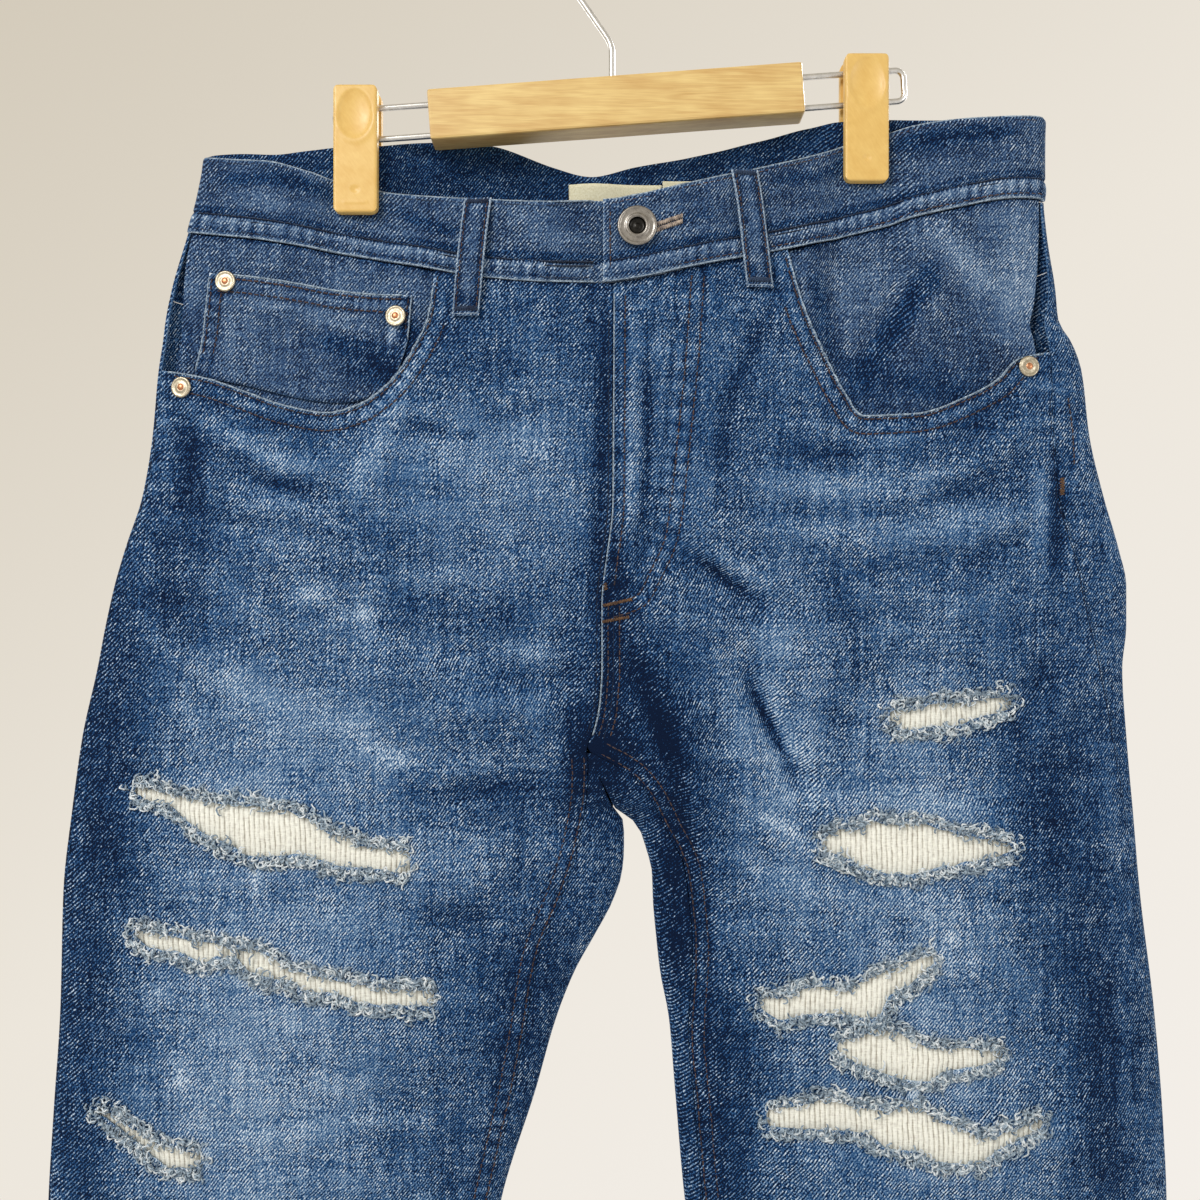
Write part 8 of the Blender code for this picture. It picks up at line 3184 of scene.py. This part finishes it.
@dataclass
class Button:
    """The shank button: a broad ring with two raised rims round a dark sunk middle, left bare."""

    x: float = 12.0
    z: float = -156.0
    radius: float = BUTTON_RADIUS

    def build(self) -> bpy.types.Object:
        """Makes the button."""
        r = self.radius
        profile = (
            (0.3 * r, -1.2), (0.45 * r, 0), (0.5 * r, 1.2), (0.92 * r, 1.6), (0.985 * r, 1.9),
            (r, 2.25), (r, 2.65), (0.985 * r, 2.9), (0.95 * r, 3.1), (0.9 * r, 3.16), (0.86 * r, 3.06),
            (0.84 * r, 2.9), (0.8 * r, 2.86), (0.66 * r, 2.9), (0.62 * r, 2.96), (0.6 * r, 3.14),
            (0.56 * r, 3.32), (0.5 * r, 3.34), (0.45 * r, 3.2), (0.42 * r, 2.9), (0.4 * r, 2.0),
            (0.37 * r, 1.4), (0.3 * r, 1.15), (0.16 * r, 1.1), (0.13 * r, 1.3), (0.08 * r, 1.42),
            (0.02 * r, 1.45),
        )
        shade = [0] * 19 + [1] * 7
        place = resting_place(Leg.RIGHT, self.x, self.z, BAND_LAP + BAND / 2 + 0.3)
        made = turned("waist_button", profile, place, (Finish.PEWTER, Finish.SOCKET), shade, 64)
        return dress(made, "pewter", "button")


@dataclass
class Rivet:
    """A two-part rivet: a washer with a rolled rim and a copper pip, left bare."""

    name: str
    x: float
    z: float
    lift: float
    radius: float = RIVET_RADIUS

    def build(self) -> bpy.types.Object:
        """Makes the rivet."""
        r = self.radius
        profile = (
            (0.4 * r, -0.8), (0.9 * r, -0.5), (r, 0.1), (r, 0.45), (0.965 * r, 0.75), (0.9 * r, 0.92),
            (0.82 * r, 0.9), (0.74 * r, 0.72), (0.6 * r, 0.72), (0.46 * r, 0.86), (0.38 * r, 1.02),
            (0.33 * r, 0.92), (0.29 * r, 0.96), (0.25 * r, 1.26), (0.16 * r, 1.42), (0.03 * r, 1.46),
        )
        shade = [0] * 11 + [1] * 4
        leg = Leg.LEFT if self.x < 0 else Leg.RIGHT
        place = resting_place(leg, self.x, self.z, self.lift)
        made = turned(f"{self.name}_rivet", profile, place, (Finish.NICKEL, Finish.COPPER), shade, 40)
        return dress(made, "nickel", f"rivet_{self.name}")


RIVET_STAND = 0.5
PUCKER_STAND = 1.6  # over the coin pocket's puckered inner corner


def rivet_lift(name: str, x: float, z: float, facing: Facing) -> float:
    """How far a rivet's seat lies above the middle of the front's cloth.

    Args:
        name: The rivet's name.
        x: Where it sits across.
        z: Where it sits down.
        facing: The hip facing that carries the coin pocket, for the coin pocket's rivets.

    Returns:
        The height in millimetres.
    """
    if not name.startswith("coin"):
        return DENIM / 2 + RIVET_STAND
    stand = PUCKER_STAND if name == "coin_inner" else RIVET_STAND
    return LAYER - float(facing.depth(np.array(x), np.array(z))) + DENIM / 2 + stand


# ---------------------------------------------------------------- hanger
def rod(
    name: str, places: Sequence[Vector], radius: float, finish: Finish, sides: int = 20
) -> bpy.types.Object:
    """A round wire.

    Args:
        name: The wire's name.
        places: The places along its middle, in millimetres.
        radius: Half its thickness.
        finish: Its finish.
        sides: How many flats it has all round.

    Returns:
        The wire.
    """
    path = np.array([tuple(place) for place in places])
    along = unit(np.gradient(path, axis=0))
    side = np.broadcast_to(np.array([0.0, 1.0, 0.0]), along.shape)
    up = np.cross(side, along)
    angles = math.tau * np.arange(sides) / sides
    ring = np.cos(angles)[None, :, None] * side[:, None] + np.sin(angles)[None, :, None] * up[:, None]
    points = (path[:, None] + radius * ring).reshape(-1, 3)
    index = np.arange(len(points)).reshape(-1, sides)
    faces = tube_quads(index).tolist() + [index[0][::-1].tolist(), index[-1].tolist()]
    return add_object(name, new_mesh(name, points, faces, 60), finish)


@dataclass
class Hanger:
    """The trouser hanger: a wooden bar, a hook, and at each end a wire loop that carries a two-jaw clip.

    On a jaw's face, distances down are from its top edge.
    """

    corner: float = 4.0
    bend: float = 5.0
    tip: float = math.radians(-25)
    clip_width: float = CLIP_SIZE[0]
    clip_height: float = CLIP_SIZE[2]
    jaw_corner: float = 3.5
    jaw_edge: float = 1.3
    scoop_size: tuple[float, float] = (8.6, 12.2)
    scoop_down: float = 14.5
    scoop_depth: float = 1.9
    dimple_down: float = 52.0
    ridge_down: float = 58.5
    hub_height: float = 10.3
    hub_inset: float = 5.0
    wire_room: float = 0.4

    def on_bar(self, along: float, across: float, up: float) -> Vector:
        """A place given in the bar's own directions."""
        tilt = Matrix.Rotation(-BAR_TILT, 4, "Y")
        return Matrix.Translation(Vector(BAR_CENTRE)) @ tilt @ Vector((along, across, up))

    def bar(self) -> None:
        """Gives the bar's solid its wood."""
        kept = bpy.data.objects["hanger_bar"]
        for slot in kept.material_slots:
            slot.link = "OBJECT"
            slot.material = Finish.MAPLE.material()

    def hook(self) -> None:
        """Bends the hook."""
        bowl_z = HOOK_RADIUS - HOOK_BOWL
        lean = math.asin(HOOK_BOWL / (bowl_z - HOOK_BEND_Z))
        places = [(0, 0, BAR_CENTRE[2]), (0, 0, -75), (0, 0, HOOK_BEND_Z - self.bend)]
        for t in np.linspace(0, 1, 10)[1:-1]:
            rise = 2 * self.bend * t - self.bend * t * t * (1 - math.cos(lean))
            places.append((-self.bend * t * t * math.sin(lean), 0, HOOK_BEND_Z - self.bend + rise))
        for angle in np.linspace(math.pi + lean, self.tip, 72):
            places.append((HOOK_BOWL * math.cos(angle), 0, bowl_z + HOOK_BOWL * math.sin(angle)))
        made = rod("hook", places, HOOK_RADIUS, Finish.CHROME, 24)
        dress(made, "chrome", "hanger_hook")

    def wire(self, leg: Leg) -> None:
        """Bends one end's wire loop."""
        sign = -leg.inward
        end = abs(WIRE_ENDS[leg] - BAR_CENTRE[0]) - WIRE_RADIUS
        start, half = BAR_SIZE[0] / 2 - WIRE_DEPTH, WIRE_SPACING / 2
        places = [(at, half) for at in np.linspace(start, end - self.corner, 4)]
        for middle_z, first in ((half - self.corner, 90), (self.corner - half, 0)):
            for angle in np.radians(first - np.linspace(8, 90, 12)):
                out, up = self.corner * math.cos(angle), self.corner * math.sin(angle)
                places.append((end - self.corner + out, middle_z + up))
        places += [(at, -half) for at in np.linspace(end - self.corner, start, 4)]
        along = [self.on_bar(sign * at, 0, up) for at, up in places]
        made = rod(f"{leg.value}_wire", along, WIRE_RADIUS, Finish.CHROME)
        dress(made, "chrome", f"hanger_wire_{leg.value}")

    def face_height(self, across: Array, down: Array) -> Array:
        """How far a front jaw's face stands out of its flat, for millimetres across and below its top."""
        width, height = self.clip_width / 2, self.clip_height
        scoop_width, scoop_height = self.scoop_size
        scoop = (across / scoop_width) ** 2 + ((down - self.scoop_down) / scoop_height) ** 2
        cup = -self.scoop_depth * np.clip(1 - scoop, 0, 1) ** 0.75
        lip = 0.35 * hill(np.sqrt(scoop), 1.12, 0.14) * (down > 14)
        from_dimple = np.hypot(across, down - self.dimple_down)
        dimple = -0.7 * hill(from_dimple, 0, 1.5)
        ring = 0.2 * hill(from_dimple, 2.3, 0.5)
        ridge = 0.28 * hill(down, self.ridge_down, 0.5) * (np.abs(across) < 6)
        edge = np.minimum(np.minimum(width - np.abs(across), down), height - down)
        near = 1 - np.clip(edge / self.jaw_edge, 0, 1)
        rounded = -1.1 * (1 - np.sqrt(np.clip(1 - near**2, 0, 1)))
        return cup + lip + dimple + ring + ridge + rounded

    def jaw(self, leg: Leg, side: Side) -> None:
        """Moulds one jaw, with its hub over the wires; the front one has a thumb scoop."""
        x, top = CLIP_TOPS[leg]
        half, corner, height = self.clip_width / 2, self.jaw_corner, self.clip_height
        end = np.linspace(0, 4, 9)
        down = np.concatenate([end, np.linspace(4.6, height - 4.6, 74), height - end[::-1]])
        inset = np.minimum(down, height - down)
        room = half - corner + np.sqrt(np.clip(corner**2 - np.clip(corner - inset, 0, None) ** 2, 0, None))
        share = np.sin(np.linspace(-math.pi / 2, math.pi / 2, 34))
        across = room[:, None] * share[None]
        depth = np.broadcast_to(down[:, None], across.shape)
        relief = self.face_height(across, depth)
        if side == Side.BACK:
            relief = np.minimum(relief, 0) * 0.6
        reach = np.clip(CLIP_FACE + relief, CLIP_GRIP + 1.5, CLIP_FACE + 0.4)
        taper = 0.6 * ease((depth - height + 6) / 6)
        outer, inner = (joined(x + across, int(side) * y, top - depth) for y in (reach, CLIP_GRIP + taper))
        count = across.size
        index = np.arange(count).reshape(across.shape)
        quads = grid_quads(index)
        rim = np.concatenate([index[:-1, 0], index[-1, :-1], index[::-1, -1][:-1], index[0, ::-1][:-1]])
        after = np.roll(rim, -1)
        sides = joined(rim, rim + count, after + count, after)
        faces = quads.tolist() + (quads[:, ::-1] + count).tolist() + sides.tolist()
        built = bmesh.new()
        places = np.vstack([outer.reshape(-1, 3), inner.reshape(-1, 3)])
        corners = [built.verts.new(Vector(place) * MM) for place in places]
        for face in faces:
            built.faces.new([corners[k] for k in face])
        self.hub(built, x, side)
        bmesh.ops.recalc_face_normals(built, faces=built.faces)
        name = f"{leg.value}_clip_{side.name.lower()}_jaw"
        mesh = bpy.data.meshes.new(name)
        built.to_mesh(mesh)
        built.free()
        mesh.shade_smooth()
        mesh.set_sharp_from_angle(angle=math.radians(40))
        made = add_object(name, mesh, Finish.PLASTIC)
        dress(made, "moulded_plastic", f"clip_{leg.value}_{side.name.lower()}")

    def hub(self, built: bmesh.types.BMesh, x: float, side: Side) -> None:
        """Adds the block that half encloses both wires, cut round them, to a jaw."""
        wire_z = self.on_bar(x - BAR_CENTRE[0], 0, 0).z
        half_width, gap = self.clip_width / 2 - self.hub_inset, WIRE_RADIUS + self.wire_room
        lean, top = math.tan(BAR_TILT), self.hub_height
        outline = [(-top, CLIP_GRIP + 0.6), (top, CLIP_GRIP + 0.6), (top, 0.2)]
        for middle in (WIRE_SPACING / 2, -WIRE_SPACING / 2):
            for angle in np.radians(np.linspace(4, 176, 12)):
                outline.append((middle + gap * math.cos(angle), max(0.2, gap * math.sin(angle))))
        outline.append((-top, 0.2))
        ends = [
            [
                built.verts.new(Vector((x + end, int(side) * y, wire_z + up + lean * end)) * MM)
                for up, y in outline
            ]
            for end in (-half_width, half_width)
        ]
        built.faces.new(ends[0])
        built.faces.new(ends[1][::-1])
        for k in range(len(outline)):
            n = (k + 1) % len(outline)
            built.faces.new((ends[0][k], ends[0][n], ends[1][n], ends[1][k]))

    def build(self) -> None:
        """Makes the whole hanger."""
        self.bar()
        self.hook()
        for leg in Leg:
            self.wire(leg)
            for side in (Side.FRONT, Side.BACK):
                self.jaw(leg, side)


# ---------------------------------------------------------------- studio
@dataclass
class Studio:
    """A pale floor, a pale surround seen by the camera and in gloss, and large soft lamps on every side."""

    floor_z: float = -1.25
    floor_radius: float = 1.15
    light_level: float = 0.4
    lamp_level: float = 0.6
    lamp_size: float = 0.9
    fill_share: float = 0.35
    target: tuple[float, float, float] = (0, 0, -0.45)
    camera_place: tuple[float, float, float] = (-0.006, -0.65, -0.337)
    sensor: float = 36
    lens: float = 38.94
    light_colour: tuple[float, ...] = (0.97, 0.985, 1.0, 1)
    paints: tuple[tuple[float, ...], ...] = ((0.80, 0.77, 0.72, 1), (0.86, 0.83, 0.78, 1))
    shades: tuple[Colour, ...] = ((0.66, 0.60, 0.50), (0.84, 0.79, 0.71), (0.90, 0.86, 0.81))

    def floor(self) -> bpy.types.Object:
        """Makes the floor, a plain matt disc."""
        mesh = bpy.data.meshes.new("studio_floor")
        made = bmesh.new()
        bmesh.ops.create_circle(made, cap_ends=True, segments=96, radius=self.floor_radius)
        made.to_mesh(mesh)
        made.free()
        material, nodes, shader = blank_material("studio_floor")
        place = nodes.add("TexCoord").outputs["Object"]
        cloud = nodes.noise(nodes.mapped(place, (2.0, 2.0, 2.0)), detail=2.0)
        nodes.feed(shader.inputs["Base Color"], nodes.mix(cloud, *self.paints))
        shader.inputs["Roughness"].default_value = 0.95
        mesh.materials.append(material)
        placed = add_object("studio_floor", mesh)
        placed.location = (0, 0, self.floor_z)
        return placed

    def surround(self) -> None:
        """Sets the world: an even light, and a pale warm shade for what sees it directly."""
        world = bpy.data.worlds.new("studio")
        bpy.context.scene.world = world
        world.use_nodes = True
        nodes = Nodes(world.node_tree)
        world.node_tree.nodes.clear()
        direction = nodes.add("TexCoord").outputs["Generated"]
        parted = nodes.add("SeparateXYZ")
        nodes.feed(parted.inputs[0], direction)
        slope = nodes.math("MULTIPLY_ADD", parted.outputs["Z"], -0.75, 0.5)
        slope = nodes.math("MULTIPLY_ADD", parted.outputs["X"], 0.55, slope, clamp=True)
        low, middle, high = self.shades
        shade = nodes.ramp(slope, ((0.0, low), (0.5, middle), (1.0, high)))
        seen, light = nodes.add("Background"), nodes.add("Background")
        nodes.feed(seen.inputs["Color"], shade)
        seen.inputs["Strength"].default_value = 1.0
        light.inputs["Color"].default_value = self.light_colour
        light.inputs["Strength"].default_value = self.light_level
        path = nodes.add("LightPath")
        direct = nodes.math("MAXIMUM", path.outputs["Is Camera Ray"], path.outputs["Is Glossy Ray"])
        direct = nodes.math("MAXIMUM", direct, path.outputs["Is Transmission Ray"])
        both = nodes.add("MixShader")
        nodes.feed(both.inputs[0], direct)
        nodes.feed(both.inputs[1], light.outputs[0])
        nodes.feed(both.inputs[2], seen.outputs[0])
        end = nodes.add("OutputWorld")
        nodes.feed(end.inputs["Surface"], both.outputs[0])

    def lamp(self, name: str, place: Sequence[float], level: float) -> None:
        """Hangs a square soft lamp that looks at the middle of the garment.

        Args:
            name: The lamp's name.
            place: Where it hangs, in metres.
            level: How bright a white surface that faces it is lit by it alone.
        """
        away = Vector(place) - Vector(self.target)
        data = bpy.data.lights.new(name, "AREA")
        data.shape = "SQUARE"
        data.size = self.lamp_size
        data.energy = level * math.pi**2 * away.length_squared
        made = add_object(name, data)
        made.location = place
        made.rotation_euler = away.to_track_quat("Z", "Y").to_euler()

    def camera(self) -> None:
        """Places the camera straight before the front."""
        data = bpy.data.cameras.new("camera")
        data.sensor_width = self.sensor
        data.lens = self.lens
        data.clip_start = 0.01
        made = add_object("camera", data)
        made.location = self.camera_place
        made.rotation_euler = (math.radians(90), 0, 0)
        bpy.context.scene.camera = made

    def build(self) -> None:
        """Sets up the whole studio."""
        self.floor()
        self.surround()
        self.lamp("key", (-1.1, -1.7, 0.75), self.lamp_level)
        self.lamp("fill", (1.7, -1.3, -0.1), self.fill_share * self.lamp_level)
        self.lamp("rim", (1.2, 1.7, 0.75), self.lamp_level)
        self.lamp("back_fill", (-1.7, 1.3, -0.1), self.fill_share * self.lamp_level)
        self.camera()
        bpy.context.scene.view_settings.view_transform = "Standard"


def main() -> None:
    """Builds every piece in order."""
    logging.basicConfig(level=logging.INFO, format="%(message)s")
    Waistband().build()
    facings = {leg: Facing(leg) for leg in Leg}
    CoinPocket(facings[Leg.LEFT]).build()
    for leg in Leg:
        facings[leg].build()
        FrontPanel(leg).build()
        BackPanel(leg).build()
        Yoke(leg).build()
        BackPocket(leg, BACK_POCKETS[leg]).build()
        Hem(leg).build()
    for name, (side, top_x, top_z, foot_x, foot_z) in LOOPS.items():
        BeltLoop(name, side, (top_x, top_z), (foot_x, foot_z)).build()
    for name, (left, right, foot, top) in PATCHES.items():
        RipPatch(name, left, right, foot, top).build()
    WovenLabel("label", -21, 25.5, -124.5, 24).build()
    WovenLabel("size_tab", 26, 41, -122.5, 12).build()
    Button().build()
    for name, (x, z) in RIVETS.items():
        Rivet(name, x, z, rivet_lift(name, x, z, facings[Leg.LEFT])).build()
    Hanger().build()
    Studio().build()


if __name__ == "__main__":
    main()
